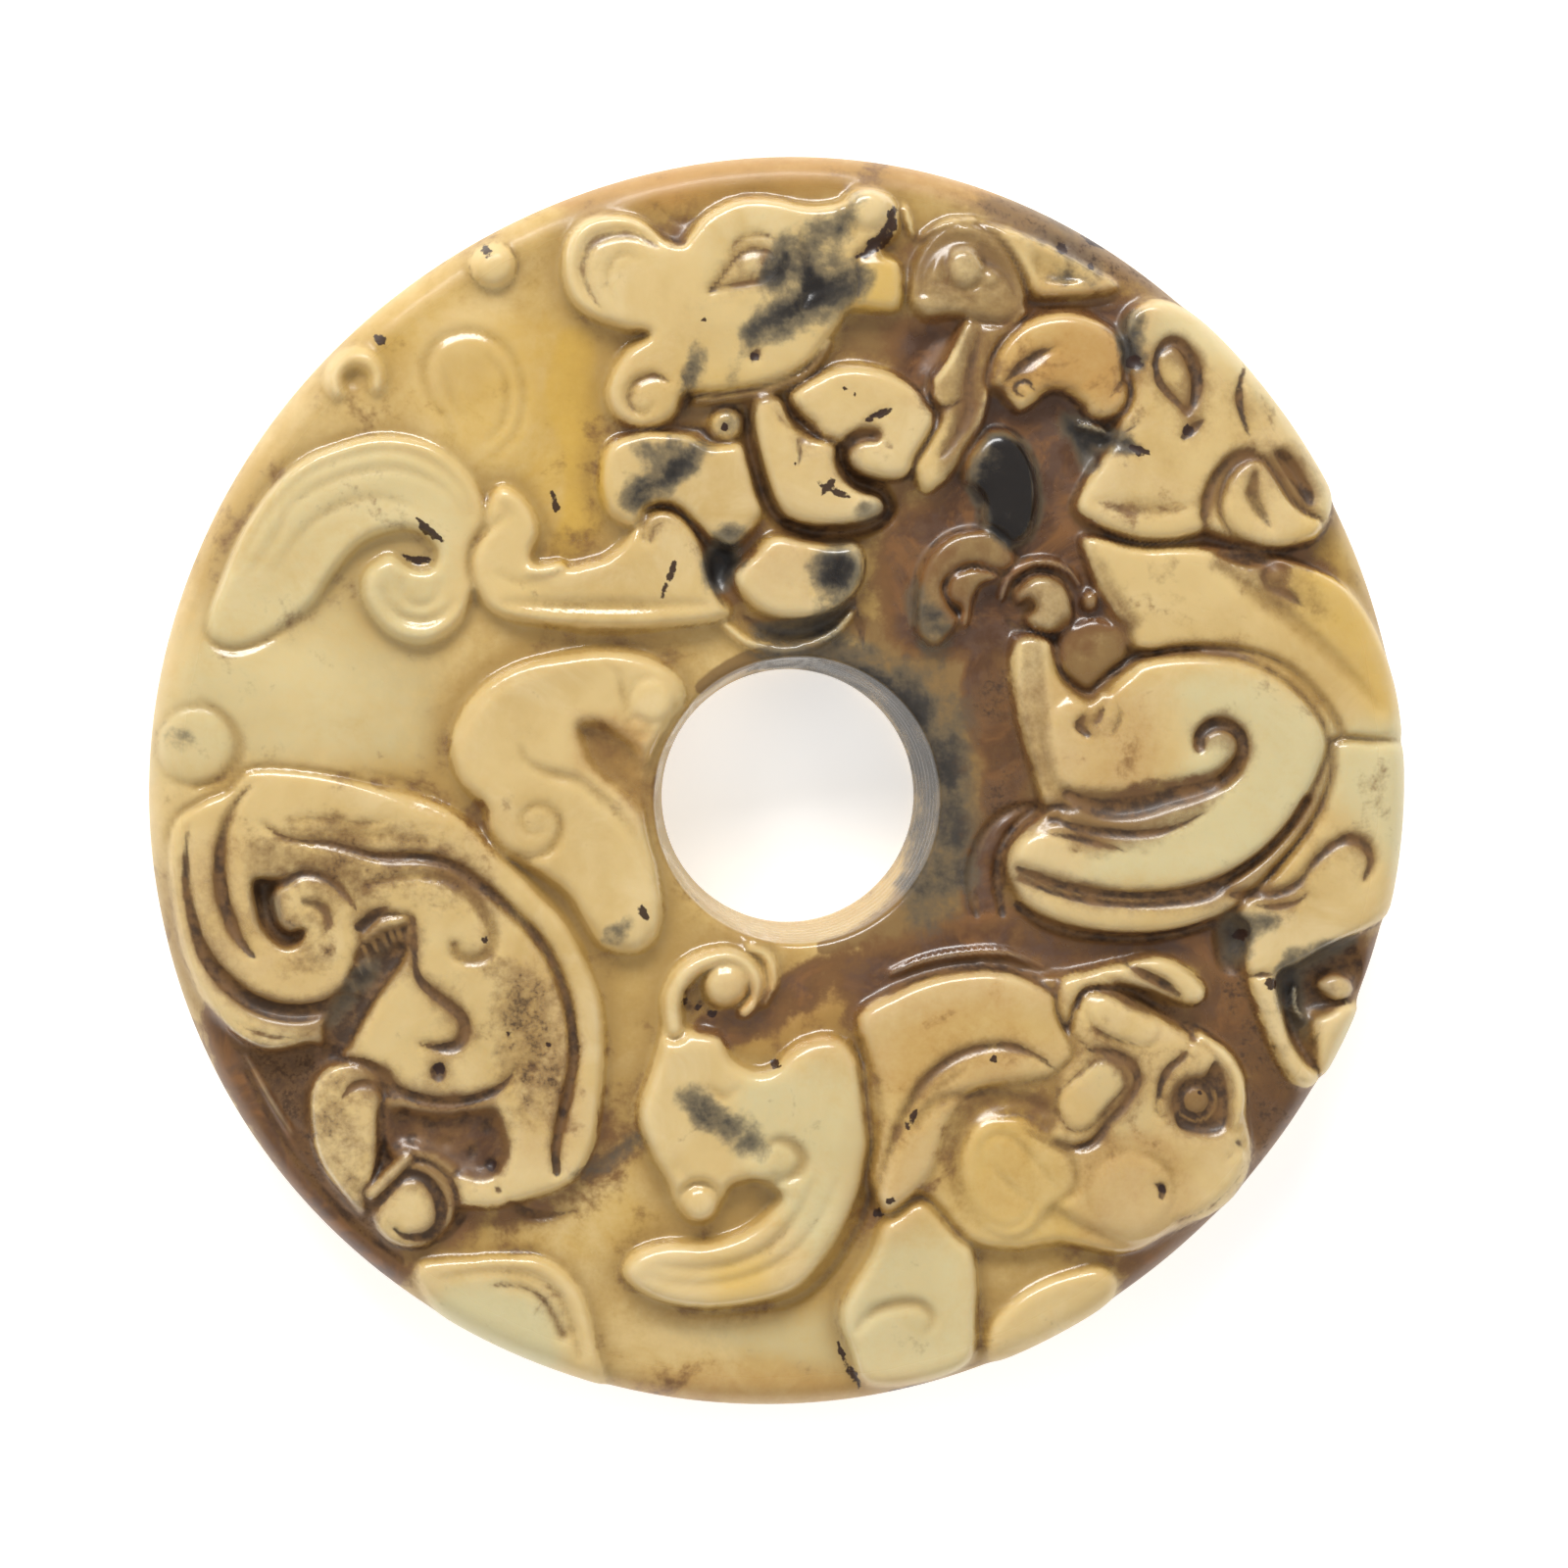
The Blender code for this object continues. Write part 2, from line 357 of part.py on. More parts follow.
def right_body(c):
    c.plate([(9.4, 6.7), (10.5, 6.7), (11.6, 6.5), (12.0, 5.6), (12.5, 4.6), (13.3, 3.7), (14.3, 4.6),
        (15.6, 5.5), (17.5, 5.8), (19.3, 5.7), (21.0, 5.2), (22.4, 4.3), (23.4, 3.3), (24.0, 2.0),
        (23.8, 0.6), (23.2, -0.9), (22.0, -2.3), (20.6, -3.5), (19.0, -4.3), (17.0, -4.7), (15.0, -4.7),
        (13.0, -4.4), (11.3, -3.9), (10.2, -3.5), (9.9, -2.6), (10.4, -1.8), (11.6, -1.4), (12.0, -0.7),
        (11.6, 0.3), (11.2, 1.4), (11.4, 2.4), (10.8, 3.5), (10.2, 4.7), (9.8, 5.7)], top=1.5,
        drop=1.3, edge=1.4)
    c.groove([(11.5, -1.1), (12.8, -0.8), (14.3, -1.0), (15.8, -1.1), (17.0, -0.6), (18.3, 0.0),
        (19.3, 0.2)], [0.3, 0.55, 0.6, 0.55, 0.4], deep=0.65)
    c.groove([(18.4, 1.7), (18.35, 2.3), (18.9, 2.75), (19.6, 2.75), (20.2, 2.3), (20.35, 1.6),
        (20.0, 0.9), (19.4, 0.3)], [0.3, 0.42, 0.4, 0.38, 0.3], deep=0.6)
    c.groove([(10.3, -2.1), (12.0, -2.3), (14.0, -2.5), (16.0, -2.5), (18.0, -2.2)],
        [0.3, 0.35, 0.3, 0.1], deep=0.4)
    c.groove([(13.3, 2.5), (13.0, 2.4)], [0.35, 0.3], deep=0.4)
    c.ball(13.4, 3.6, 0.55, top=1.3, drop=0.7, moat=0.25)
    c.ball(14.6, 3.4, 0.6, top=1.4, drop=0.4, moat=0.25)
    # Belly band under the body
    c.band([(10.3, -4.9), (12.0, -5.35), (14.0, -5.65), (16.0, -5.7), (18.0, -5.4), (19.6, -4.9)],
        [0.5, 0.55, 0.5, 0.5, 0.35], top=1.0, drop=0.8)
    c.groove([(10.4, -3.85), (12.0, -4.35), (14.0, -4.75), (16.0, -4.85), (18.0, -4.6), (19.6, -4.1),
        (21.0, -3.2), (22.3, -2.0), (23.3, -0.8), (24.0, 0.8), (24.1, 2.2)],
        [0.25, 0.4, 0.45, 0.45, 0.4, 0.35, 0.3, 0.25], deep=0.5)
    c.groove([(11.2, -0.6), (9.9, -1.2), (9.0, -2.3), (8.7, -3.6), (8.7, -4.9), (8.9, -5.8)],
        [0.3, 0.4, 0.4, 0.3, 0.2], deep=0.5)
    c.groove([(12.0, -1.3), (10.8, -1.7), (10.0, -2.6), (9.7, -3.7), (9.8, -4.7), (10.2, -5.5),
        (11.2, -6.1), (12.6, -6.5), (14.5, -6.6)], [0.25, 0.35, 0.35, 0.35, 0.4, 0.3], deep=0.45)


def rim_beast(c):
    c.plate([(24.3, 1.9), (25.6, 2.0), (27.3, 1.9), (28.2, 0.0), (28.2, -3.0), (27.6, -5.4),
        (26.2, -6.3), (24.6, -7.0), (22.8, -7.9), (21.6, -8.3), (22.2, -9.2), (22.4, -10.6),
        (22.8, -11.9), (23.4, -12.7), (24.4, -13.0), (23.6, -13.4), (22.5, -13.1), (21.6, -12.0),
        (20.9, -10.6), (20.4, -9.0), (20.4, -7.2), (20.6, -6.0), (20.3, -5.1), (21.8, -3.6),
        (23.3, -1.9), (24.2, 0.0)], top=1.25, drop=1.1, edge=1.2)
    c.groove([(20.3, -4.85), (21.4, -4.95), (22.4, -4.7), (23.1, -4.1), (23.8, -3.2), (24.4, -2.5),
        (25.1, -2.2), (25.8, -2.5), (26.2, -3.2), (26.1, -4.0)], [0.2, 0.3, 0.35, 0.3, 0.3, 0.35, 0.2],
        deep=0.4)
    c.plate([(23.5, -10.6), (24.2, -10.15), (25.2, -9.7), (25.9, -10.2), (25.8, -11.2), (25.0, -12.3),
        (24.2, -12.9), (23.6, -12.2)], top=1.1, drop=1.0, edge=0.7)
    c.ball(24.6, -9.1, 0.8, top=1.0, drop=0.9, moat=0.3)
    c.groove([(23.6, -10.4), (23.75, -11.0), (23.85, -11.5)], [0.3, 0.2, 0.12], deep=0.35)


def left_body(c):
    # The body behind the lower left head, edged by the long double groove
    c.plate([(-23.6, 0.9), (-20.5, 0.7), (-17.5, 0.0), (-14.8, -1.0), (-13.0, -2.6), (-11.4, -4.2),
        (-9.9, -5.8), (-8.9, -7.6), (-8.2, -9.6), (-8.1, -12.0), (-8.3, -14.4), (-8.6, -16.0),
        (-9.5, -17.4), (-11.5, -17.9), (-13.5, -17.5), (-15.5, -16.5), (-17.5, -15.0), (-19.5, -12.0),
        (-21.0, -11.3), (-23.2, -11.6), (-25.3, -10.1), (-26.7, -7.5), (-27.3, -4.0), (-27.2, -1.6),
        (-26.0, -0.6), (-24.7, 0.0)], top=1.2, drop=1.1, edge=1.1)
    c.groove([(-15.2, -2.6), (-13.6, -3.6), (-12.2, -4.9), (-11.0, -6.2), (-10.2, -7.5), (-9.7, -9.0),
        (-9.45, -10.5), (-9.45, -12.0), (-9.7, -13.3), (-10.0, -14.6), (-10.3, -15.8), (-10.2, -17.0)],
        [0.2, 0.4, 0.45, 0.45, 0.4, 0.4, 0.35, 0.25], deep=0.5)
    c.groove([(-12.3, -18.3), (-11.6, -18.8), (-10.5, -18.95), (-9.2, -18.75)], [0.2, 0.3, 0.12],
        deep=0.35)


def left_head(c):
    # Mane
    c.groove([(-26.35, -1.7), (-26.5, -3.0), (-26.35, -4.5), (-25.9, -6.0), (-25.1, -7.5),
        (-24.0, -8.8), (-22.6, -9.6), (-21.2, -9.9), (-20.0, -9.6), (-19.2, -8.9)],
        [0.15, 0.35, 0.4, 0.5, 0.55, 0.55, 0.5, 0.4], deep=0.65)
    c.groove([(-23.5, 0.4), (-24.3, -0.6), (-24.75, -2.0), (-24.85, -3.5), (-24.6, -5.0), (-24.1, -6.3),
        (-23.5, -7.2)], [0.1, 0.3, 0.35, 0.35, 0.35, 0.15], deep=0.45)
    c.sink([(-23.3, -4.0), (-22.5, -4.2), (-22.5, -5.3), (-22.1, -5.9), (-21.4, -6.0), (-21.5, -6.6),
        (-22.5, -6.9), (-23.3, -6.2), (-23.6, -5.1)], level=-0.2, edge=0.35)
    c.band([(-22.9, -7.4), (-21.4, -7.9), (-20.1, -7.2), (-19.7, -5.9), (-20.4, -4.7), (-21.5, -4.4),
        (-22.1, -5.2)], [0.8, 1.0, 0.95, 0.85, 0.7, 0.55, 0.35], top=1.4, drop=0.7, moat=0.3)
    # Lower lock and dark triangle under it
    c.sink([(-25.5, -10.3), (-24.2, -11.3), (-22.6, -11.6), (-21.2, -11.4), (-20.6, -10.3),
        (-19.6, -9.3), (-18.9, -9.5), (-19.3, -11.2), (-20.5, -12.3), (-21.1, -13.5), (-21.2, -15.2),
        (-22.0, -15.0), (-23.4, -13.2)], level=-0.25, edge=0.5)
    # The head itself
    c.plate([(-17.0, -5.7), (-16.2, -5.3), (-15.2, -4.8), (-14.2, -5.0), (-13.2, -6.0), (-12.5, -7.6),
        (-12.1, -9.5), (-12.0, -11.5), (-12.3, -13.0), (-13.5, -13.6), (-15.5, -13.8), (-17.0, -13.6),
        (-18.2, -12.9), (-19.3, -12.3), (-19.5, -11.2), (-19.0, -10.0), (-18.3, -8.8), (-17.5, -7.4)],
        top=1.5, drop=1.2, edge=0.9)
    c.groove([(-16.6, -5.6), (-16.5, -7.0), (-16.3, -8.2), (-15.6, -9.1), (-14.8, -9.7),
        (-14.25, -10.4), (-14.5, -11.1), (-15.2, -11.35), (-16.2, -11.3)],
        [0.22, 0.25, 0.3, 0.35, 0.4, 0.3, 0.12], deep=0.4)
    c.band([(-18.9, -6.6), (-18.0, -6.2), (-17.1, -6.0)], [0.25, 0.45, 0.35], top=1.3, drop=0.8,
        moat=0.3)
    c.groove([(-18.9, -5.9), (-18.2, -5.5), (-17.3, -5.1)], [0.35, 0.3, 0.1], deep=0.4)
    c.groove([(-19.6, -13.3), (-18.9, -12.95), (-18.1, -13.1), (-17.4, -13.5)], [0.25, 0.3, 0.15],
        deep=0.35)


def left_jaw(c):
    c.sink([(-18.3, -13.9), (-17.0, -13.9), (-15.0, -14.0), (-13.0, -13.7), (-12.6, -14.8),
        (-12.4, -16.2), (-13.2, -17.0), (-14.4, -16.9), (-15.6, -16.3), (-16.9, -16.0), (-18.0, -17.2),
        (-18.3, -16.0)], level=-0.1, edge=0.5)
    c.plate([(-21.0, -13.6), (-20.6, -12.5), (-19.8, -12.1), (-19.5, -13.2), (-18.5, -13.5),
        (-18.1, -14.6), (-18.0, -16.0), (-18.3, -17.3), (-17.4, -16.8), (-16.7, -16.1), (-16.4, -16.3),
        (-17.3, -17.4), (-18.4, -18.5), (-19.8, -17.8), (-20.7, -16.3), (-21.1, -15.0)], top=1.25,
        drop=1.1, edge=0.7)
    c.groove([(-18.0, -14.5), (-18.0, -15.8), (-18.25, -17.3)], [0.25, 0.3, 0.15], deep=0.4)
    c.ball(-16.6, -18.4, 2.0, top=1.2, drop=1.0, moat=0.4)
    c.groove([(-18.5, -18.8), (-17.8, -17.9), (-17.1, -17.2), (-16.3, -17.1), (-15.6, -17.7),
        (-15.3, -18.5), (-15.4, -19.3), (-16.0, -19.8), (-16.9, -19.8), (-17.4, -19.4)],
        [0.25, 0.3, 0.32, 0.35, 0.3, 0.15], deep=0.5)
    c.band([(-18.4, -17.9), (-17.6, -17.1), (-16.8, -16.3)], [0.3, 0.35, 0.25], top=1.3, drop=0.8,
        moat=0.3)
    c.groove([(-14.4, -19.0), (-15.0, -19.7), (-15.8, -20.1)], [0.3, 0.3, 0.1], deep=0.35)
    # Rim: dark step along the lower left edge
    c.groove([(-23.9, -12.6), (-22.7, -15.0), (-21.2, -17.2), (-19.6, -18.9), (-18.3, -20.1),
        (-17.0, -21.0)], [0.3, 0.35, 0.35, 0.3, 0.2], deep=0.35)


def fan(c):
    c.band([(-15.6, -21.4), (-13.2, -20.9), (-11.2, -21.1), (-9.9, -21.9), (-9.2, -23.2), (-8.8, -24.8),
        (-8.7, -26.2)], [0.2, 0.4, 0.45, 0.45, 0.4, 0.3], top=0.8, drop=0.7, moat=0.4)
    c.plate([(-15.5, -22.0), (-13.0, -22.2), (-11.2, -22.5), (-10.4, -23.6), (-9.9, -25.0),
        (-10.0, -26.6), (-12.4, -25.8), (-14.2, -24.6)], top=0.6, drop=0.5, edge=0.8)


def bottom_body(c):
    c.plate([(-5.4, -9.6), (-4.4, -10.6), (-3.0, -10.9), (-2.4, -12.0), (-1.0, -12.5), (0.2, -11.5),
        (1.3, -11.0), (2.5, -11.1), (3.3, -12.1), (3.7, -13.4), (3.85, -14.8), (3.5, -16.3),
        (3.2, -17.8), (2.4, -19.6), (1.5, -21.0), (0.3, -22.2), (-1.6, -22.8), (-3.8, -23.0),
        (-5.8, -22.6), (-7.2, -21.6), (-6.8, -20.6), (-5.4, -20.1), (-3.6, -20.1), (-2.0, -19.6),
        (-0.9, -18.8), (-0.3, -18.0), (-1.2, -17.4), (-2.4, -17.5), (-3.0, -18.4), (-3.9, -19.1),
        (-4.8, -18.6), (-5.3, -17.4), (-6.0, -16.2), (-6.6, -14.4), (-6.0, -12.4), (-5.6, -11.0)],
        top=1.35, drop=1.2, edge=1.2)
    c.groove([(-1.0, -15.8), (-0.4, -15.5), (0.3, -15.8), (0.65, -16.4), (0.3, -17.0), (-0.5, -17.3),
        (-1.6, -17.4)], [0.15, 0.35, 0.4, 0.35, 0.3], deep=0.4)
    c.ball(-3.9, -18.3, 0.85, top=1.3, drop=0.8, moat=0.35)
    c.ball(-1.2, -16.6, 0.85, top=1.45, drop=0.3, moat=0.2)


def spiral_limb(c):
    c.band([(-5.0, -10.6), (-5.1, -9.4), (-4.6, -8.3), (-3.6, -7.6), (-2.4, -7.5), (-1.5, -8.2),
        (-1.3, -9.2), (-1.9, -9.9)], [0.4, 0.45, 0.45, 0.4, 0.4, 0.35, 0.25], top=1.2, drop=0.9,
        moat=0.35)
    c.ball(-2.7, -8.7, 0.95, top=1.25, drop=0.7, moat=0.3)
    c.band([(-1.7, -7.0), (-0.8, -7.5), (-0.6, -8.6), (-1.0, -9.6)], [0.12, 0.25, 0.12], top=0.8,
        drop=0.6, moat=0.3)


def haunch_bottom(c):
    c.plate([(3.7, -20.6), (4.2, -19.2), (5.2, -18.3), (6.3, -18.1), (7.2, -18.8), (8.0, -19.9),
        (8.4, -21.5), (8.4, -23.2), (8.1, -25.4), (6.0, -26.4), (3.6, -26.4), (2.8, -24.8),
        (2.4, -23.0)], top=1.15, drop=1.0, edge=1.0)
    c.groove([(3.0, -24.0), (3.8, -23.1), (4.9, -22.75), (5.9, -22.8), (6.4, -23.4), (6.1, -24.1)],
        [0.15, 0.35, 0.35, 0.3, 0.1], deep=0.35)


def neck(c):
    c.plate([(3.1, -10.1), (4.2, -9.2), (5.6, -8.5), (7.4, -8.0), (9.2, -7.9), (10.8, -8.4),
        (12.2, -9.4), (13.0, -11.4), (12.0, -12.5), (10.4, -12.9), (8.6, -13.2), (7.4, -14.2),
        (6.8, -15.6), (6.3, -17.0), (5.2, -18.2), (4.3, -18.6), (3.7, -17.4), (4.0, -15.6),
        (4.1, -13.6), (3.6, -11.8)], top=1.4, drop=1.25, edge=1.2)
    c.band([(4.6, -8.2), (6.2, -7.6), (8.0, -7.3), (9.8, -7.3), (11.4, -7.9)], [0.12, 0.2, 0.2, 0.1],
        top=0.6, drop=0.5, moat=0.3)
    c.groove([(3.3, -19.3), (3.9, -17.6), (4.4, -16.1), (5.0, -14.6), (5.7, -13.3), (6.6, -12.3),
        (7.8, -11.6), (9.2, -11.3), (10.4, -11.5), (11.3, -12.0), (11.8, -12.4)],
        [0.25, 0.3, 0.3, 0.3, 0.28, 0.25, 0.12], deep=0.4)
    c.groove([(-5.7, -22.9), (-4.0, -23.25), (-2.0, -23.15), (0.0, -22.85), (1.2, -22.2), (2.2, -21.1),
        (3.1, -19.6)], [0.12, 0.25, 0.3, 0.3, 0.28], deep=0.4)
    c.sink([(8.3, -13.5), (9.6, -13.2), (11.0, -13.3), (11.8, -14.0), (11.4, -14.8), (10.2, -14.4),
        (9.0, -14.5), (8.2, -15.2), (7.8, -16.8), (7.9, -18.6), (8.4, -20.0), (7.6, -19.0),
        (7.0, -17.6), (6.9, -15.8), (7.5, -14.4)], level=-0.1, edge=0.4)


def lower_right_head(c):
    c.plate([(13.0, -8.6), (14.4, -8.8), (15.8, -9.6), (16.9, -10.4), (17.9, -11.0), (19.2, -11.5),
        (20.1, -12.6), (20.3, -14.0), (20.1, -15.3), (20.3, -16.4), (20.2, -17.3), (19.6, -18.1),
        (18.6, -18.9), (17.2, -19.3), (16.2, -19.9), (15.0, -20.1), (13.8, -19.6), (12.6, -19.0),
        (11.6, -18.2), (10.8, -16.8), (10.4, -15.9), (11.4, -15.2), (11.9, -14.0), (11.9, -12.6),
        (12.6, -11.7), (12.1, -10.4), (12.1, -9.3)], top=1.45, drop=1.25, edge=1.0)
    # Ears
    c.plate([(12.1, -8.4), (13.4, -8.0), (14.8, -7.7), (16.4, -7.4), (17.7, -8.0), (18.5, -8.9),
        (18.2, -9.5), (17.2, -9.4), (15.9, -8.9), (14.4, -8.7), (13.2, -8.9), (12.6, -9.6),
        (12.3, -10.6), (11.9, -9.6)], top=1.3, drop=1.1, edge=0.5, moat=0.35)
    c.groove([(15.1, -7.95), (16.0, -8.25), (16.9, -8.7), (17.4, -9.15)], [0.12, 0.25, 0.3, 0.15],
        deep=0.5)
    c.plate([(13.2, -9.6), (13.8, -9.1), (14.7, -9.4), (15.6, -10.0), (16.4, -10.5), (16.0, -11.3),
        (14.9, -11.2), (13.8, -10.8), (13.3, -10.3)], top=1.6, drop=0.6, edge=0.5, moat=0.3)
    # Cheek pad
    c.plate([(12.0, -13.4), (12.8, -12.6), (13.7, -11.95), (14.5, -12.2), (14.85, -13.0), (14.4, -13.6),
        (13.8, -14.3), (13.2, -14.95), (12.4, -14.95), (11.95, -14.2)], top=1.5, drop=0.6, edge=0.45,
        moat=0.3)
    # Eye
    c.sink([(17.0, -14.9), (17.0, -13.8), (17.5, -13.0), (18.3, -12.5), (18.7, -11.8), (19.3, -12.4),
        (19.6, -13.6), (19.5, -14.8), (19.0, -15.3), (18.0, -15.3)], level=0.85, edge=0.35)
    c.ball(18.15, -13.95, 0.95, top=1.35, drop=0.4, moat=0.2)
    c.band([(18.2, -10.9), (19.2, -11.7), (19.85, -12.7), (19.95, -13.8), (19.7, -14.9)],
        [0.15, 0.3, 0.3, 0.15], top=1.45, drop=0.6, moat=0.3)
    c.ball(16.5, -14.0, 0.25, top=1.4, drop=0.25, moat=0.15)
    c.ball(17.85, -11.45, 0.22, top=1.5, drop=0.25, moat=0.15)
    # Nose
    c.ball(15.3, -18.0, 2.05, top=1.75, drop=0.5, moat=0.5)
    # Beard loop
    c.plate([(8.4, -15.8), (9.0, -14.9), (9.9, -14.7), (10.9, -15.3), (11.6, -16.4), (11.8, -17.6),
        (11.0, -18.3), (10.8, -19.2), (10.1, -19.7), (9.3, -19.3), (8.7, -18.3), (8.4, -17.0)],
        top=1.3, drop=1.1, edge=0.7)


def rim_lobes(c):
    c.plate([(8.9, -23.9), (10.0, -22.7), (11.2, -21.9), (12.6, -21.4), (13.9, -21.2), (14.6, -21.9),
        (14.3, -23.2), (12.6, -24.6), (10.4, -25.6), (9.0, -25.4)], top=1.0, drop=0.9, edge=0.8)


MOTIFS = (left_scroll, rim_marks_left, leaf_loop, haunch, jaw, head_top, plates, curl_limb,
          rim_leaf, right_head, tan_leaf, tail, dark_dome, claw, right_body, rim_beast, left_body,
          left_head, left_jaw, fan, bottom_body, spiral_limb, haunch_bottom, neck,
          lower_right_head, rim_lobes)


def draw_carving():
    """All the figures, each cut over the ones before it."""
    carving = Carving(DRAWN_RADIUS + 1.0, DRAWING_STEP)
    for motif in MOTIFS:
        motif(carving)
    carving.soften(SOFTNESS)
    return carving


def rim_radius(angle):
    """Radius of the outline in a direction."""
    share = np.ones_like(angle)
    for waves, height, turn in OUTLINE_WAVES:
        share += height * np.cos(waves * (angle - math.radians(turn)))
    return DISC_RADIUS * share


def front_height(x, y, carving):
    """Height of the carved front, before the rim and the hole are rounded off."""
    to_drawing = DRAWN_RADIUS / DISC_RADIUS
    relief = carving.read(x * to_drawing, y * to_drawing) * RELIEF_HEIGHT / DRAWN_RELIEF
    return GROUND_HEIGHT + relief - DOME_DROP * (np.hypot(x, y) / DISC_RADIUS) ** 4


def disc_rings(carving):
    """Rings of points round the section: hole, front, rim, side and back."""
    angle = np.linspace(0, 2 * math.pi, ANGLES, endpoint=False)
    across, along = np.cos(angle), np.sin(angle)
    rim = rim_radius(angle)

    def hole_ring(radius, height):
        return HOLE_X + radius * across, HOLE_Y + radius * along, height

    def rim_ring(radius, height):
        return radius * across, radius * along, height

    lip_x, lip_y, _ = hole_ring(HOLE_RADIUS_FRONT + HOLE_LIP, 0)
    lip_height = front_height(lip_x, lip_y, carving)
    rings = [hole_ring(HOLE_RADIUS_BACK + BACK_CHAMFER, 0.0 * angle)]
    for t in np.linspace(0, 1, BORE_STEPS):
        radius = HOLE_RADIUS_BACK + (HOLE_RADIUS_FRONT - HOLE_RADIUS_BACK) * t
        height = BACK_CHAMFER + (lip_height - HOLE_LIP - BACK_CHAMFER) * t
        rings.append(hole_ring(radius, height))
    for turn in np.linspace(0, math.pi / 2, LIP_STEPS + 1)[1:-1]:
        radius = HOLE_RADIUS_FRONT + HOLE_LIP * (1 - math.cos(turn))
        rings.append(hole_ring(radius, lip_height - HOLE_LIP * (1 - math.sin(turn))))

    inner_rim = rim - RIM_ROUND
    for t in np.linspace(0, 1, FRONT_RINGS):
        x = lip_x + (inner_rim * across - lip_x) * t
        y = lip_y + (inner_rim * along - lip_y) * t
        rings.append((x, y, front_height(x, y, carving)))
    for turn in np.linspace(0, math.pi / 2, ROUND_STEPS + 1)[1:]:
        radius = inner_rim + RIM_ROUND * math.sin(turn)
        x, y, _ = rim_ring(radius, 0)
        drop = RIM_ROUND_DROP * (1 - math.cos(turn))
        rings.append((x, y, front_height(x, y, carving) - drop))

    shoulder = rings[-1][2]
    for t in np.linspace(0, 1, SIDE_STEPS + 1)[1:]:
        rings.append(rim_ring(rim, shoulder + (BACK_CHAMFER - shoulder) * t))
    back_rim = rim - BACK_CHAMFER
    for t in np.linspace(0, 1, BACK_STEPS, endpoint=False):
        x = back_rim * across + (rings[0][0] - back_rim * across) * t
        y = back_rim * along + (rings[0][1] - back_rim * along) * t
        rings.append((x, y, 0.0 * angle))
    return rings


def jade_material():
    """Waxy, greenish-yellow jade."""
    material = bpy.data.materials.new("jade")
    material.use_nodes = True
    shader = material.node_tree.nodes["Principled BSDF"]
    shader.inputs["Base Color"].default_value = JADE_COLOUR
    shader.inputs["Roughness"].default_value = 0.25
    shader.inputs["Metallic"].default_value = 0.0
    return material


def add_disc(name, rings):
    """Join the rings into one closed body, and thin its faces out where it is smooth."""
    points = np.concatenate([np.stack(np.broadcast_arrays(*ring), 1) for ring in rings])
    faces = []
    for ring in range(len(rings)):
        here = ring * ANGLES
        outward = (ring + 1) % len(rings) * ANGLES
        for k in range(ANGLES):
            onward = (k + 1) % ANGLES
            faces.append((here + k, outward + k, outward + onward, here + onward))
    fine = bpy.data.meshes.new(name)
    fine.from_pydata(points.tolist(), [], faces)
    disc = bpy.data.objects.new(name, fine)
    bpy.context.scene.collection.objects.link(disc)
    thin = disc.modifiers.new("thin", "DECIMATE")
    thin.ratio = TRIANGLE_BUDGET / (2 * len(faces))
    thin.use_collapse_triangulate = True

    # Lay the thinned back dead flat again
    evaluated = disc.evaluated_get(bpy.context.evaluated_depsgraph_get())
    mesh = bpy.data.meshes.new_from_object(evaluated)
    disc.modifiers.remove(thin)
    disc.data = mesh
    bpy.data.meshes.remove(fine)
    mesh.name = name
    for vertex in mesh.vertices:
        if vertex.co.z < FLAT_WITHIN:
            vertex.co.z = 0.0
    mesh.shade_smooth()
    mesh.materials.append(jade_material())
    return disc


def main():
    for old in list(bpy.data.objects):
        bpy.data.objects.remove(old)
    disc = add_disc("jade_disc", disc_rings(draw_carving()))
    size = disc.dimensions
    print("jade_disc", [round(1000 * value, 2) for value in size], "mm,",
          len(disc.data.polygons), "triangles")


main()
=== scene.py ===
# %% [markdown]
# # A carved jade bi disc
# This lesson dresses one loose ornament: a flat round disc of jade with a hole, called a bi. Its
# front is carved with coiling hornless dragons and beast heads. The stone is translucent, cream to
# honey coloured, and centuries in the ground have left brown and black stains in the cut-back parts.
# The plain solid of the disc is already there, at its real size. We load it first; the carved mesh
# takes its place at the end.

# %% Load the plain solid
import math

import bpy
import numpy as np
from mathutils import Matrix, Vector


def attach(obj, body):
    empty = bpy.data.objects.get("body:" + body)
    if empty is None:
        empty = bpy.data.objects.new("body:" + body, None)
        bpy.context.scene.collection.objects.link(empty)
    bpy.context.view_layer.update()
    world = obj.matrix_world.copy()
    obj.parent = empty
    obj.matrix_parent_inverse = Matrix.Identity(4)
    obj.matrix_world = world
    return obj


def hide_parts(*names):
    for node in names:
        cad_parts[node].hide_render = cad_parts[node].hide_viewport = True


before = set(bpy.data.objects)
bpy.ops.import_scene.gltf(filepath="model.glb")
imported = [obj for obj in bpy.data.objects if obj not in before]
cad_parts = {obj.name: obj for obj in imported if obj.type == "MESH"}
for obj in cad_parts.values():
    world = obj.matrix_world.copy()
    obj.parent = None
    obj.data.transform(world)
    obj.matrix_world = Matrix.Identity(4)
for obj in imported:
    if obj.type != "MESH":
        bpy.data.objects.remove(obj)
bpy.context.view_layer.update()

# %% [markdown]
# ## Sizes
# Everything is drawn in millimetres and turned into metres only when the mesh is made. The names
# are those of the solid: a disc 56 mm across, a ground 5.2 mm above the back, and carving that
# stands about 1.5 mm above that ground. The hole was drilled a little off centre.

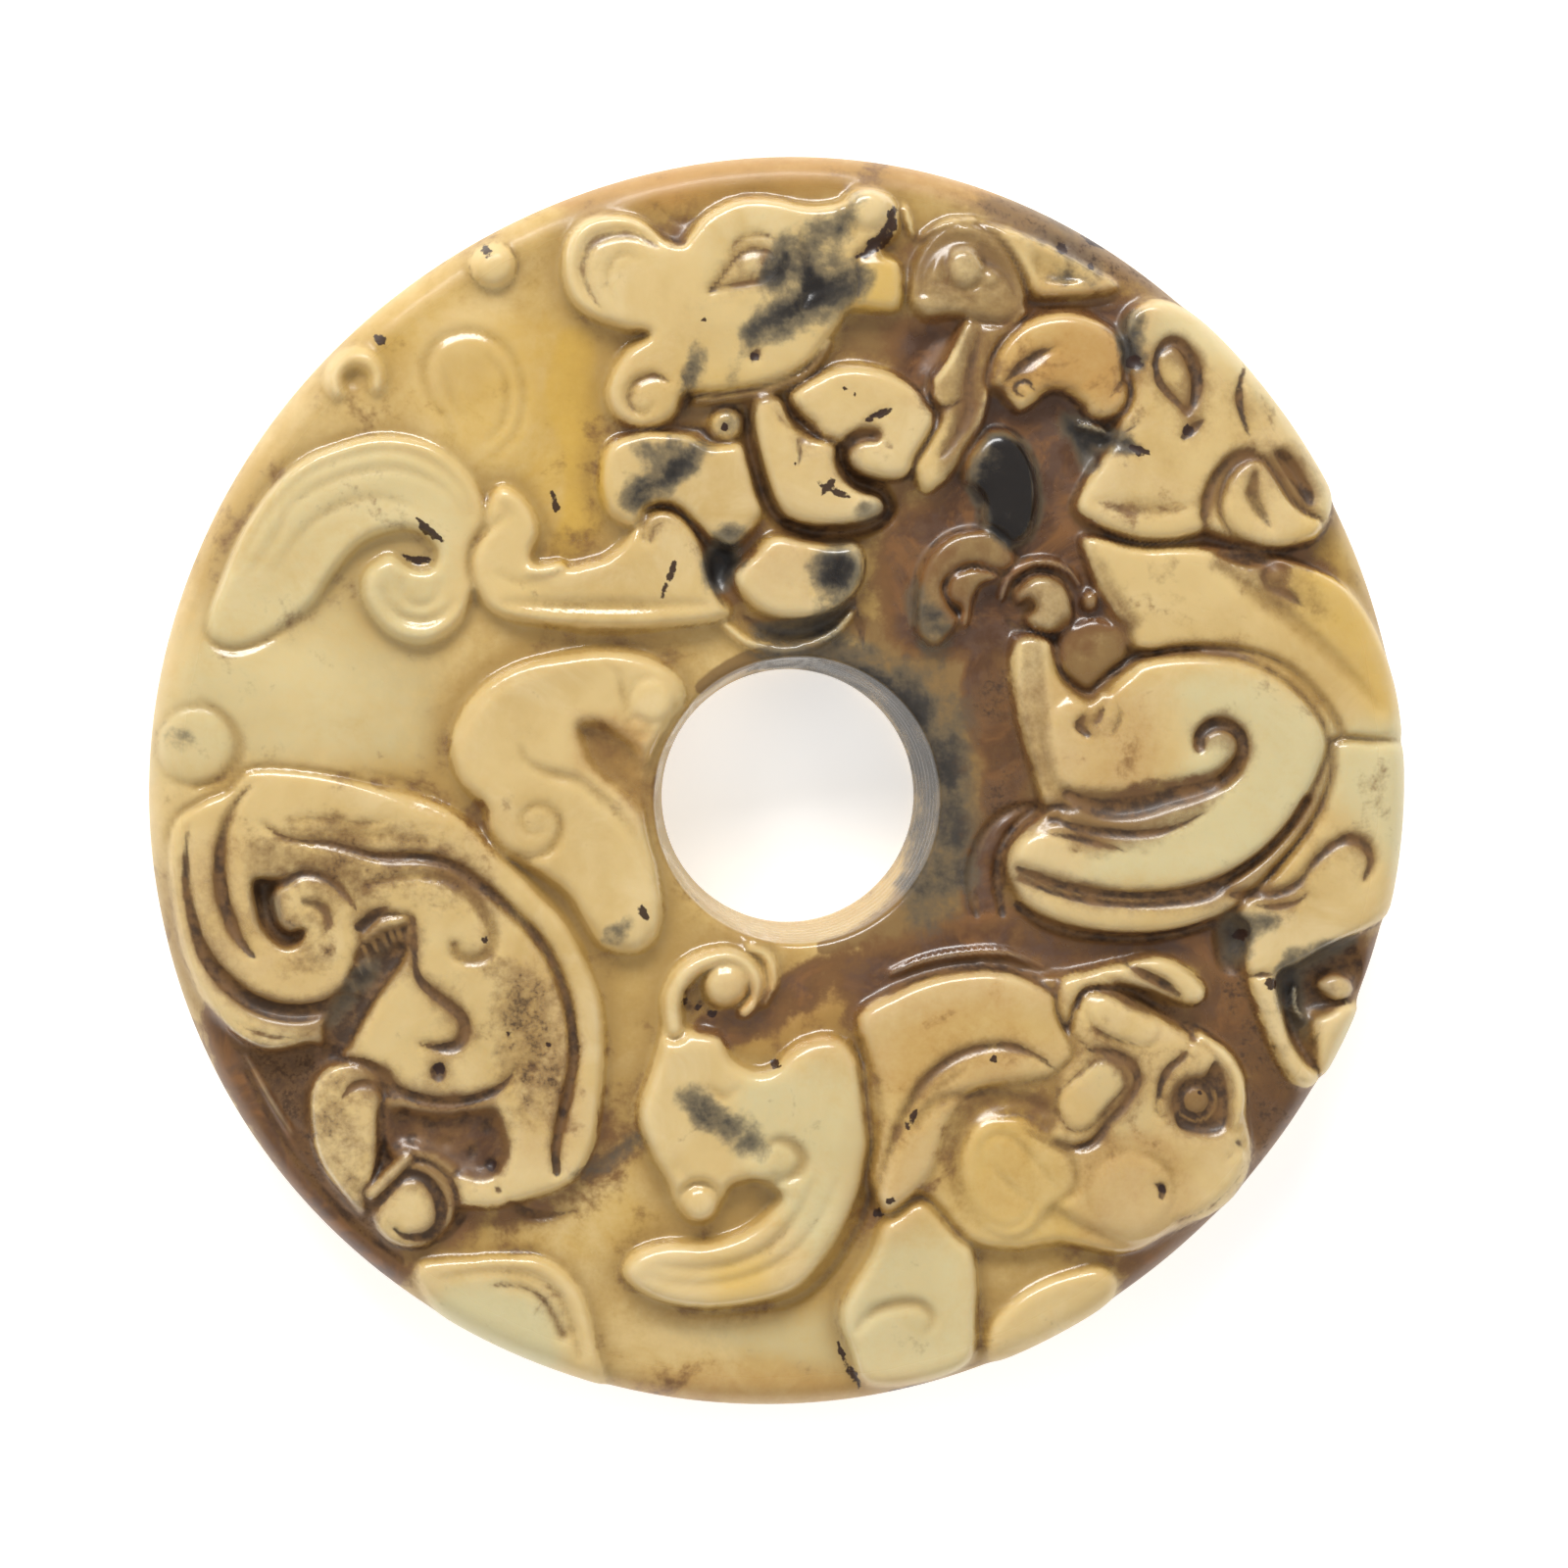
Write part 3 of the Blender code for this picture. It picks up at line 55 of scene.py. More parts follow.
# %% Sizes of the disc
MM = 0.001
DISC_RADIUS = 28.0
GROUND_HEIGHT = 5.2
DOME_DROP = 0.5
RIM_ROUND = 1.3
RIM_ROUND_DROP = 1.6
BACK_CHAMFER = 0.5
HOLE_X = 0.54
HOLE_Y = -0.58
HOLE_RADIUS_FRONT = 6.35
HOLE_RADIUS_BACK = 5.75
HOLE_LIP = 0.4
OUTLINE_WAVES = ((2, 0.0069, 35.9), (3, 0.0023, -32.9), (4, 0.0023, 171.6), (5, 0.0014, 0.0))


def rim_radius(angle):
    """Radius of the hand-cut outline in a direction, in millimetres."""
    share = np.ones_like(angle)
    for waves, height, turn in OUTLINE_WAVES:
        share += height * np.cos(waves * (angle - math.radians(turn)))
    return DISC_RADIUS * share


print("outline from", round(rim_radius(np.linspace(0, 6.28, 400)).min(), 2), "to",
      round(rim_radius(np.linspace(0, 6.28, 400)).max(), 2), "mm from the centre")

# %% [markdown]
# ## Lines to carve along
# A carver thinks in sweeping lines. Two helpers give them: a smooth curve through a few points, and
# an arc of a circle. A Catmull-Rom curve is used because it passes through every point we give it.
# Points are written as in an SVG drawing: x then y, with a comma before the next point.

# %% Curves
def smooth_curve(points, closed=False, steps=6):
    """A smooth curve through a few points, given as text or as pairs of numbers."""
    if isinstance(points, str):
        points = [pair.split() for pair in points.split(",")]
    p = np.asarray(points, float)
    if closed:
        before, start, after, beyond = np.roll(p, 1, 0), p, np.roll(p, -1, 0), np.roll(p, -2, 0)
    else:
        q = np.vstack([2 * p[0] - p[1], p, 2 * p[-1] - p[-2]])
        before, start, after, beyond = q[:-3], q[1:-2], q[2:-1], q[3:]
    a, b, c, d = (v[:, None, :] for v in (before, start, after, beyond))
    t = np.linspace(0, 1, steps, endpoint=False)[None, :, None]
    curve = 0.5 * (2 * b + (c - a) * t + (2 * a - 5 * b + 4 * c - d) * t ** 2
                   + (3 * b - a - 3 * c + d) * t ** 3)
    curve = curve.reshape(-1, 2)
    return curve if closed else np.vstack([curve, p[-1]])


def arc(x, y, radius, start, end, count=10):
    """Points along a circle, between two angles in degrees."""
    angle = np.radians(np.linspace(start, end, count))
    return np.stack([x + radius * np.cos(angle), y + radius * np.sin(angle)], 1)


print("a curve through 3 points has", len(smooth_curve("0 0, 1 1, 2 0")), "points")

# %% [markdown]
# ## The carver's tools
# The relief could be modelled form by form and joined with Booleans, but the edges would be hard
# and the joints slow to compute. A carver does something simpler: they lower the ground round each
# form and round its edges over. We copy that on a fine square grid of heights. Each form is laid
# over the ones before it, with a small slope cut round it, so later forms lie in front.
# Every tool also leaves dirt where a real one would collect it: in the bottom of a groove, and
# along the foot of a form. That second grid, called dirt, goes to the stone's colour later.

# %% A grid to carve on
def blend_in(x):
    """A smooth step from 0 to 1."""
    t = np.clip(x, 0, 1)
    return t * t * (3 - 2 * t)


def blur(grid, spread):
    """Soften a grid, spread in grid steps."""
    reach = max(1, math.ceil(spread * 3))
    weights = np.exp(-0.5 * (np.arange(-reach, reach + 1) / spread) ** 2)
    weights /= weights.sum()
    for axis in (0, 1):
        size = grid.shape[axis]
        pad = [(reach, reach) if k == axis else (0, 0) for k in (0, 1)]
        wide = np.pad(grid, pad, mode="edge")
        grid = sum(w * np.take(wide, np.arange(k, k + size), axis=axis)
                   for k, w in enumerate(weights))
    return grid


class Grid:
    """A square grid of points over the disc, in millimetres."""

    def __init__(self, half, step):
        self.axis = np.arange(-half, half + step / 2, step)
        self.step = step
        self.x, self.y = np.meshgrid(self.axis, self.axis)

    def window(self, points, margin):
        """The part of the grid round some points."""
        low, high = points.min(0) - margin, points.max(0) + margin
        rows = slice(*np.searchsorted(self.axis, [low[1], high[1]]))
        columns = slice(*np.searchsorted(self.axis, [low[0], high[0]]))
        return rows, columns

    def nearest(self, points, win, closed=False):
        """Distance to a line, the share of its length there, its side, and what lies inside."""
        x, y = self.x[win], self.y[win]
        line = np.vstack([points, points[:1]]) if closed else points
        legs = np.diff(line, axis=0)
        lengths = np.hypot(legs[:, 0], legs[:, 1])
        run = np.concatenate([[0], np.cumsum(lengths)])
        best = np.full(x.shape, np.inf)
        share, side = np.zeros(x.shape), np.zeros(x.shape)
        inside = np.zeros(x.shape, bool)
        for k in np.flatnonzero(lengths > 0):
            (ax, ay), (sx, sy) = line[k], legs[k]
            t = np.clip(((x - ax) * sx + (y - ay) * sy) / lengths[k] ** 2, 0, 1)
            dx, dy = x - ax - t * sx, y - ay - t * sy
            squared = dx * dx + dy * dy
            nearer = squared < best
            best[nearer] = squared[nearer]
            share[nearer] = ((run[k] + t * lengths[k]) / run[-1])[nearer]
            side[nearer] = (sx * dy - sy * dx)[nearer]
            if closed and sy != 0:
                inside ^= ((ay > y) != (ay + sy > y)) & (x < ax + sx * (y - ay) / sy)
        return np.sqrt(best), share, side, inside

    def oval(self, x, y, margin, squash, turn):
        """The window round a point, and the distance from it measured on a turned oval."""
        win = self.window(arc(x, y, max(1, squash) * margin, 0, 360), 0.3)
        a = math.radians(turn)
        dx, dy = self.x[win] - x, self.y[win] - y
        u, v = dx * math.cos(a) + dy * math.sin(a), dy * math.cos(a) - dx * math.sin(a)
        return win, np.hypot(u, v / squash)

    def read(self, values, x, y):
        """Values at any places, between the points of the grid."""
        last = len(self.axis) - 2
        column = np.clip((x - self.axis[0]) / self.step, 0, last + 0.999)
        row = np.clip((y - self.axis[0]) / self.step, 0, last + 0.999)
        j, i = column.astype(int), row.astype(int)
        u, v = column - j, row - i
        return ((values[i, j] * (1 - u) + values[i, j + 1] * u) * (1 - v)
                + (values[i + 1, j] * (1 - u) + values[i + 1, j + 1] * u) * v)


print("tools: blur, grid")

# %% The carving tools
def widths_along(widths, share):
    """A half width that changes from one end of a line to the other."""
    return np.interp(share, np.linspace(0, 1, len(widths)), widths)


CRISP = 0.62


class Carving(Grid):
    """Heights above the ground and dirt, both drawn form by form."""

    def __init__(self, half, step):
        super().__init__(half, step)
        self.height = np.zeros_like(self.x)
        self.dirt = np.zeros_like(self.x)

    def lay(self, win, depth, top, drop, edge, moat, dirt):
        """Raise a form with a rounded edge, and cut what is already there back round it."""
        rise = np.sqrt(1 - (1 - np.clip(depth / (CRISP * edge), 0, 1)) ** 2)
        body = top - drop * (1 - rise)
        slope = top - drop + np.clip(-depth, 0, None) * drop * 1.15 / moat
        inside = depth > 0
        self.height[win] = np.where(inside, body, np.minimum(self.height[win], slope))
        foot = np.exp(-((-depth - 0.15 * moat) / (0.42 * moat)) ** 2) * dirt
        kept = np.where(inside, 0, self.dirt[win])
        self.dirt[win] = np.where(depth > 0.6 * moat, 0, np.maximum(kept, foot))

    def plate(self, points, top=1.3, drop=1.1, edge=0.8, moat=0.6, dirt=0.5):
        """A raised form inside a closed outline."""
        line = smooth_curve(points, closed=True)
        win = self.window(line, moat + 1)
        distance, _, _, inside = self.nearest(line, win, closed=True)
        self.lay(win, np.where(inside, distance, -distance), top, drop, edge, moat, dirt)

    def band(self, points, widths, top=1.3, drop=1.1, moat=0.5, dirt=0.5):
        """A raised round strap along a line, with its half widths from end to end."""
        line = smooth_curve(points)
        win = self.window(line, max(widths) + moat + 1)
        distance, share, _, _ = self.nearest(line, win)
        width = widths_along(widths, share)
        self.lay(win, width - distance, top, drop, width, moat, dirt)

    def ball(self, x, y, radius, top=1.3, drop=1.1, moat=0.4, dirt=0.5, squash=1, turn=0, edge=None):
        """A round or oval knob."""
        win, distance = self.oval(x, y, radius + moat + 0.6, squash, turn)
        self.lay(win, radius - distance, top, drop, edge or radius, moat, dirt)

    def groove(self, points, widths, deep, dirt=0.6, lean=0.0, flat=1.0):
        """A cut along a line, leaning to one side, or with a flatter bottom."""
        line = smooth_curve(points)
        win = self.window(line, max(widths) * (1 + 2 * abs(lean)) + 0.3)
        distance, share, side, _ = self.nearest(line, win)
        width = np.maximum(widths_along(widths, share), 0.02)
        reach = np.where(side * lean > 0, width * (1 + 2 * abs(lean)), width)
        cut = (1 - np.clip(distance / reach, 0, 1) ** (2 * flat)) ** 1.5
        self.height[win] -= deep * cut * (width / max(widths)) ** 0.5
        mark = np.clip(1.15 - (distance / width) ** (2 * flat), 0, 1) * dirt
        self.dirt[win] = np.maximum(self.dirt[win], mark)

    def sink(self, points, level, edge=0.5, dirt=0.5):
        """Cut the inside of an outline back to one level."""
        line = smooth_curve(points, closed=True)
        win = self.window(line, 0.5)
        distance, _, _, inside = self.nearest(line, win, closed=True)
        t = np.where(inside, blend_in(distance / edge), 0)
        mixed = self.height[win] * (1 - t) + level * t
        self.height[win] = np.minimum(self.height[win], mixed)
        mark = np.where(inside, dirt * np.clip(distance / 0.25, 0, 1), 0)
        self.dirt[win] = np.maximum(self.dirt[win], mark)

    def swell(self, x, y, radius, level, squash=1, turn=0):
        """Let the ground rise gently to a level round a place."""
        win, distance = self.oval(x, y, radius, squash, turn)
        rise = level * blend_in(1.6 * (1 - distance / radius))
        self.height[win] = np.maximum(self.height[win], rise)

    def pit(self, x, y, radius, deep=0.4, dirt=0.8, squash=1, turn=0):
        """A small drilled or chipped hollow."""
        win, distance = self.oval(x, y, radius, squash, turn)
        t = np.clip(distance / radius, 0, 1)
        self.height[win] -= deep * (1 - t ** 2) ** 1.5
        mark = dirt * np.clip(1.3 - 1.3 * t ** 2, 0, 1)
        self.dirt[win] = np.maximum(self.dirt[win], mark)


GRID_STEP = 0.08
carving = Carving(DISC_RADIUS + 1.0, GRID_STEP)
plate, band, ball, groove = carving.plate, carving.band, carving.ball, carving.groove
sink, swell, pit = carving.sink, carving.swell, carving.pit
print("carving grid of", carving.x.size, "points")


def report(forms):
    """Say what was cut, and how high the relief now stands."""
    print("cut", forms + ": relief now", round(float(carving.height.max()), 2), "mm high")


# %% [markdown]
# ## The left side: a scroll, a haunch and an open jaw
# The upper left of the disc is the cleanest and most worn part. Its forms are low and soft, so
# their drop is small and the rounded edge is wide, and they hold very little dirt. Points are in
# millimetres from the middle of the disc, x to the right and y up.

# %% Scroll, knobs and leaf on the upper left
# Left scroll
swell(-24, 1.5, 9, 0.85)
plate("""-25.7 7, -25 9.3, -23.9 11.7, -22.2 13.9, -20.2 15.1, -17.9 15.6, -15.6 15.2, -14 13.9,
    -13.3 12.2, -13.6 10.2, -13.9 8.6, -14.6 7.2, -16 6.4, -17.6 6.8, -18.7 8.2, -18.7 9.5,
    -17.6 10.3, -16.7 9.8, -15.8 9.8, -15.5 10.5, -16.2 11.3, -17.4 11.4, -18.9 10.8, -20.2 9.3,
    -21.1 8, -22.9 6.7, -24.6 6.2""", top=0.9, drop=0.65, edge=0.8, moat=0.45, dirt=0.25)
for inset, deep in ((0, 0.28), (0.75, 0.2)):
    groove([(-24.4 + inset, 9.6), (-23.3 + inset, 11.6 - inset / 2), (-21.8, 13.4 - inset),
            (-19.8, 14.5 - inset), (-17.6, 14.9 - inset), (-15.8, 14.4 - inset),
            (-14.4 - inset / 2, 13.2 - inset / 2), (-13.9 - inset / 2, 12)],
           [0.08, 0.2, 0.24, 0.2, 0.1], deep, 0.3, lean=0.4)
groove("-22.7 9.6, -21.4 11.4, -19.9 12.5, -18.2 12.9, -16.6 12.5", [0.08, 0.22, 0.12], 0.2, 0.25)
groove(arc(-16.2, 9.1, 1.7, 188, 335), [0.12, 0.3, 0.3, 0.12], 0.35, 0.35)
groove(arc(-16.2, 8.9, 0.8, 150, 380), [0.12, 0.22, 0.1], 0.25, 0.3)
groove("-17.3 10.35, -16.8 10.05, -16.3 9.8, -15.8 9.8, -15.55 10.2", [0.1, 0.2, 0.2, 0.1], 0.25,
       1)

# Rim marks left
ball(-26.2, 1.9, 1.75, top=1, drop=0.4, moat=0.35, dirt=0.4, edge=1)
groove("-26 4, -24.9 3.3, -24.2 2.2, -24.3 1.2, -25 0.4, -26.2 0.1", [0.1, 0.25, 0.3, 0.2], 0.25,
       0.35)
band(arc(-19.1, 18.1, 1, 215, -20), [0.25, 0.4, 0.4, 0.25], top=0.6, drop=0.4, moat=0.3,
     dirt=0.35)
pit(-19.25, 18.15, 0.5, 0.2, 0.5, squash=1.3)
pit(-17.95, 19.85, 0.5, 0.3, 0.5, squash=0.7)
groove("-20.6 14.9, -19.6 15.35, -18.9 15.5", [0.1, 0.25, 0.15], 0.2, 0.4)
ball(-13, 23.15, 1, top=0.8, drop=0.7, moat=0.35, dirt=0.9)
groove(arc(-13, 23.15, 1.1, 180, 410), [0.08, 0.18, 0.2, 0.1], 0.3, 1)

# Leaf loop
swell(-13.8, 17.4, 4, 0.5, squash=1.3)
groove("""-13 14.6, -11.9 15.8, -11.6 17.6, -12.3 19.4, -13.8 20.3, -15.4 19.9, -16.1 18.6,
    -15.8 17.2, -15 16.2, -14.7 15""", [0.08, 0.2, 0.22, 0.2, 0.08], 0.25, 0.45, lean=0.4)
groove("-13.3 19.2, -12.5 18.2, -12.3 17.1, -12.6 16, -13.3 15.3", [0.08, 0.2, 0.2, 0.1], 0.22,
       0.3, lean=-0.3)
groove("-15.2 18.6, -14.9 17.4, -14.4 16.4", [0.08, 0.18, 0.08], 0.2, 0.3)
report("left scroll, rim marks left, leaf loop")

# %% Haunch beside the hole, and the jaw above it
# Haunch
plate("""-14.9 1.6, -14.6 3, -13.6 4.4, -12 5.4, -10 5.9, -8 6.1, -6.2 5.8, -4.9 5, -4.5 4,
    -5.2 2.9, -6.2 1, -6.2 -1.6, -5.8 -3.4, -5.5 -5.2, -5.8 -6.6, -6.8 -7.3, -8.2 -7, -9 -5.8,
    -9.8 -4.6, -11.2 -3.6, -12.6 -2.9, -13.2 -2, -13.4 -0.8, -14.4 0.2""", top=1.15, drop=0.7,
      edge=0.9, moat=0.4, dirt=0.35)
sink("""-9.6 2.9, -8.4 3.3, -7 2.6, -6.2 1.9, -5.4 0.4, -5.6 -2, -6.6 -1.4, -7.4 -0.6, -8.6 0.3,
    -9.3 1.3""", level=0.25, edge=0.8, dirt=0.45)
ball(-6, 3.9, 1, top=1.3, drop=0.4, moat=0.25, dirt=0.6, edge=0.7)
ball(-6.6, 2.7, 0.5, top=1.1, drop=0.3, moat=0.2, dirt=0.4, squash=0.7, turn=-30)
groove("-14.6 1.8, -14.2 3, -13.3 4.1, -12 4.9, -10.6 5.3", [0.08, 0.18, 0.14, 0.08], 0.25, 0.4)
groove("-10.4 6.4, -8.2 6.6, -6.2 6.3, -4.9 5.6, -4.3 4.6", [0.06, 0.14, 0.08], 0.2, 0.6)
groove("-8.2 5.6, -7.5 5, -7.3 4.2, -7.2 3.3", [0.08, 0.2, 0.12], 0.3, 0.45)
groove("-5.3 5, -4.8 4.3, -5 3.5", [0.08, 0.16, 0.08], 0.3, 1)
groove("-11.8 1.9, -11.4 1.2, -10.5 0.75, -9.4 0.5, -8.4 -0.1, -7.4 -1.2, -6.6 -2.4, -6.1 -3.6",
       [0.08, 0.22, 0.28, 0.2, 0.1], 0.35, 0.5, lean=-0.5)
groove("""-13 -1.9, -12.4 -2.7, -11.4 -3.05, -10.5 -2.7, -10.05 -1.9, -10.2 -1.1, -10.9 -0.7,
    -11.6 -0.95, -11.8 -1.6, -11.3 -2, -10.8 -1.8""", [0.12, 0.22, 0.24, 0.22, 0.16, 0.12, 0.1],
       0.35, 0.7)
groove("-8.7 -6, -7.6 -6.9, -6.6 -6.9, -6 -6.2", [0.08, 0.16, 0.08], 0.2, 0.6)

# Jaw
JAW_TEETH = 26
plate("""-12.6 13.4, -11.6 12.8, -11 11.5, -11.3 10.2, -10.4 9.8, -8.6 10.1, -7.8 10.4, -7 11.2,
    -6.4 12.2, -5.4 12.4, -4.4 11.9, -3.6 10.7, -3.3 9.2, -2.5 7.7, -4.5 7.2, -7.5 7, -10.5 7.2,
    -12.8 7.7, -13.8 8.8, -14 10.2, -13.4 11.5, -13.2 12.7""", top=1.1, drop=0.65, edge=0.6,
      moat=0.4, dirt=0.4)
groove("-10.8 11.3, -9.8 11, -8.7 11.1, -7.9 11.6", [0.06, 0.14, 0.08], 0.15, 0.6)
groove("-10.6 9.4, -9 9.9, -7.9 10.1", [0.08, 0.2, 0.08], 0.25, 0.5)
groove("-12.6 8.15, -10 8.05, -7 8, -3.6 8.1", [0.15, 0.3, 0.3, 0.15], 0.3, 0.6, lean=0.4)
groove("""-6.4 11, -6.4 11.7, -5.9 12.3, -5.1 12.4, -4.3 11.8, -3.7 10.8, -3.4 9.7, -3.1 8.6,
    -2.7 7.9""", [0.15, 0.25, 0.3, 0.3, 0.2], 0.6, 1)
groove("-6.1 10.8, -5.9 11.5, -5.4 11.8", [0.15, 0.2, 0.08], 0.25, 1)
for tooth in range(JAW_TEETH):
    pit(-11.2 + 8.2 * tooth / JAW_TEETH, 7.2 + 0.05 * math.cos(tooth), 0.15, 0.4, 0.9)
groove("-12.9 12.8, -12.4 12.1, -13.1 11.6, -13.8 11, -14.05 10.1, -13.7 9, -13 8.2",
       [0.1, 0.25, 0.2, 0.1], 0.25, 0.2)
groove("-13 9.6, -12 9.15, -11 9", [0.1, 0.2, 0.1], 0.15, 0.15)
band("-11.5 9.6, -10.8 9.65, -10 9.85", [0.15, 0.25, 0.15], top=1.4, drop=0.3, moat=0.2, dirt=0)
report("haunch, jaw")

# %% [markdown]
# ## The top: a snouted head, its plates and a curled limb
# The head at the top looks right: two round ears, one almond eye and a blunt nose at the rim. Below
# it a crest of overlapping plates runs down to the hole, and beside it a limb curls into a knob.

# %% The head at the top
# Head top
plate("""-9.9 22.6, -9.4 21.4, -8.4 20.7, -7.2 20.3, -6.1 20.1, -7.1 19.4, -7.8 18.3, -8 17.3,
    -7.6 16.4, -6.7 15.95, -5.7 16, -4.9 16.6, -4.5 17.4, -2.8 17.5, -1 17.8, 0.4 18.4, 1.5 19.4,
    2.2 20.4, 2.9 21.2, 4.9 21.2, 5 23.2, 4.2 23.8, 4.9 24.6, 4.9 25.8, 4.1 26.5, 3 26.5,
    2.2 25.9, 0.8 25.8, -0.6 26.1, -2.2 26.1, -3.6 25.4, -4.6 24.3, -5.4 24.3, -6.4 25.1,
    -7.7 25.4, -9 25.1, -9.8 24.1""", top=1.2, drop=0.75, edge=0.6, moat=0.5, dirt=0.35)
groove("-8.2 21.1, -8.8 22, -9.05 23, -8.7 24, -8 24.4, -7 24.5, -6.2 24.2, -5.7 23.9",
       [0.1, 0.25, 0.3, 0.35, 0.3, 0.1], 0.4, 0.9, lean=0.4)
groove("-7.5 21.3, -7.95 22.2, -7.9 23.1, -7.3 23.6, -6.6 23.4", [0.1, 0.18, 0.1], 0.25, 0.5)
groove("-5.9 25.9, -4.6 25.1, -3.2 25.7, -1.6 26.4, 0.2 26.2", [0.1, 0.16, 0.1], 0.25, 0.5)
pit(-4.7, 24.15, 0.45, 0.35, 0.9, squash=0.6)
groove("-5.2 18, -6 18.25, -6.8 17.9, -7.05 17.2, -6.7 16.65, -6.15 16.65, -5.9 17.1",
       [0.12, 0.25, 0.3, 0.3, 0.2, 0.1], 0.45, 0.8)
groove("-4.7 18.3, -4.4 17.6, -4.5 16.9, -4.9 16.3", [0.12, 0.25, 0.2], 0.3, 0.8)
groove("-2.7 23.5, -2.2 24.2, -1.3 24.5, -0.3 24.2", [0.1, 0.22, 0.2, 0.1], 0.25, 0.6)
groove("-3.5 22, -2.9 22.6, -2.5 23.2, -1.9 23.75, -1.1 23.8, -0.6 23.5", [0.15, 0.16, 0.12], 0.3,
       0.9)
groove("-3.5 21.9, -2.8 22.15, -1.9 22.3, -1.1 22.45, -0.5 22.9", [0.12, 0.2, 0.12], 0.3, 0.9)
ball(-1.5, 23.1, 0.62, top=1.35, drop=0.3, moat=0.15, dirt=0.5, squash=0.8)
pit(-2.85, 22.9, 0.18, 0.12, 0.8)
pit(-1.45, 19.15, 0.3, 0.3, 1, squash=1.7, turn=-30)
groove("0.5 24.7, 0.7 23.6, 0.9 22.4, 0.7 21.4", [0.15, 0.35, 0.3, 0.2], 0.35, 0.3)
groove("0.9 21.9, 1.8 22.3, 2.8 22.7", [0.3, 0.35, 0.15], 0.12, 0.4)
groove("2.4 25.9, 2.6 25, 3 24.3", [0.15, 0.3, 0.2], 0.3, 0.4)
ball(3.5, 25.6, 0.95, top=1.45, drop=0.6, moat=0.25, dirt=0.3)
groove("3 23.5, 3.7 23.9, 4.4 24.5, 4.7 25.6", [0.25, 0.4, 0.35, 0.2], 0.5, 1)
groove("2.9 21.3, 3.15 22.2, 3.05 23.2", [0.15, 0.22, 0.2], 0.4, 0.9)
groove("3.3 23.4, 4.2 23.5, 5 23.4", [0.12, 0.18, 0.12], 0.3, 0.8)
band("1.9 19.7, 1 18.5, -0.4 17.75, -2 17.35, -4 17.15", [0.15, 0.2, 0.15], top=0.95, drop=0.5,
     moat=0.25, dirt=0.7)
report("head top")

# %% The plates below the head
# Plates
plate("""0.1 17.3, 1.2 18.2, 2.5 18.7, 4.1 18.55, 5.4 17.9, 6.3 17, 6.5 16.2, 6.2 15.2, 5.6 14.2,
    5 13.7, 4 13.7, 2.8 14.2, 1.2 15.9""", top=1.45, drop=0.95, edge=0.6, moat=0.3, dirt=0.8)
plate("""-7.9 15.2, -6.4 15.8, -4.6 15.75, -3.4 15.2, -2.1 15.3, -1.7 14.4, -1.4 13.2, -1.1 12.2,
    -1.7 11.3, -2.4 10.7, -3.2 10.8, -4 11.6, -5 12.5, -6.2 12.5, -6.8 11.6, -7.9 12.2,
    -8.3 13.6""", top=1.2, drop=0.8, edge=0.6, moat=0.3, dirt=0.5)
plate("""-1.6 16.9, -1.2 17.35, -0.4 17.3, 0.2 16.2, 1 15.6, 2.1 15.2, 2.5 14.2, 3.1 13.3,
    4.1 12.95, 4.35 12.3, 3.6 11.8, 2.4 11.6, 1 11.65, 0 12, -0.6 12.8, -1 14, -1.4 15.4""",
      top=1.3, drop=0.85, edge=0.5, moat=0.3, dirt=0.7)
groove("""3.8 15.6, 3.2 15.6, 2.6 15.2, 2.4 14.5, 2.75 13.75, 3.5 13.35, 4.2 13.1, 4.55 12.4,
    4.1 11.8, 3 11.45, 1.4 11.35, 0.1 11.7""", [0.35, 0.42, 0.4, 0.38, 0.35, 0.25], 0.75, 0.85,
       flat=2)
groove("-1.6 16.9, -1.65 15.6, -1.35 14.2, -0.95 12.9, -0.4 12, 0.2 11.6", [0.2, 0.32, 0.35, 0.3],
       0.6, 0.6, flat=2)
groove("-0.6 17.2, -0.45 16.5, 0 16, 0.5 15.8", [0.1, 0.18, 0.12], 0.35, 0.8)
groove("0.1 17.2, 0.15 16.7, 0.5 16.35, 1.2 16.1", [0.12, 0.2, 0.12], 0.4, 0.9)
groove("0.35 14.1, 0.5 14.8, 0.45 15.5, 0.9 15.3, 1.2 15", [0.08, 0.2, 0.2, 0.06], 0.25, 1)
plate("""-2.4 9.4, -1.5 10.4, -0.6 11.2, 0.9 10.95, 2 10.8, 3.1 10.8, 3.4 9.8, 3 8.7, 2.1 7.9,
    0.7 7.5, -0.6 7.6, -1.7 8.2""", top=1.3, drop=0.9, edge=0.5, moat=0.35, dirt=0.7)
groove("0.8 10.6, 1 9.4, 0.9 8.2", [0.1, 0.3, 0.15], 0.2, 0.3, lean=0.5)
groove("1.6 9.9, 2.3 9.2, 2.5 8.5", [0.12, 0.25, 0.12], 0.3, 0.6)
band("-2.8 7.3, -1.7 6.45, -0.3 6.15, 1 6.35, 2.1 6.9, 2.9 7.8", [0.12, 0.22, 0.22, 0.15],
     top=0.8, drop=0.5, moat=0.3, dirt=0.7)
groove("-1.9 7.6, -0.6 7, 0.8 6.95, 2.1 7.5, 3 8.3", [0.15, 0.3, 0.3, 0.2], 0.35, 0.9)
sink("-3.5 11.2, -2.5 10.8, -1.9 10.4, -2.4 9.5, -2.8 8.8, -3.4 9.3", level=-0.5, edge=0.5,
     dirt=1)
ball(-2.7, 16.1, 0.75, top=0.95, drop=0.7, moat=0.3, dirt=1)
groove("-6.4 15.95, -5.2 15.9, -3.9 15.95, -3.4 15.5", [0.12, 0.25, 0.15], 0.4, 1)
groove("-5.2 15.3, -4.4 15.2, -4 14.6", [0.1, 0.2, 0.1], 0.15, 0.1)
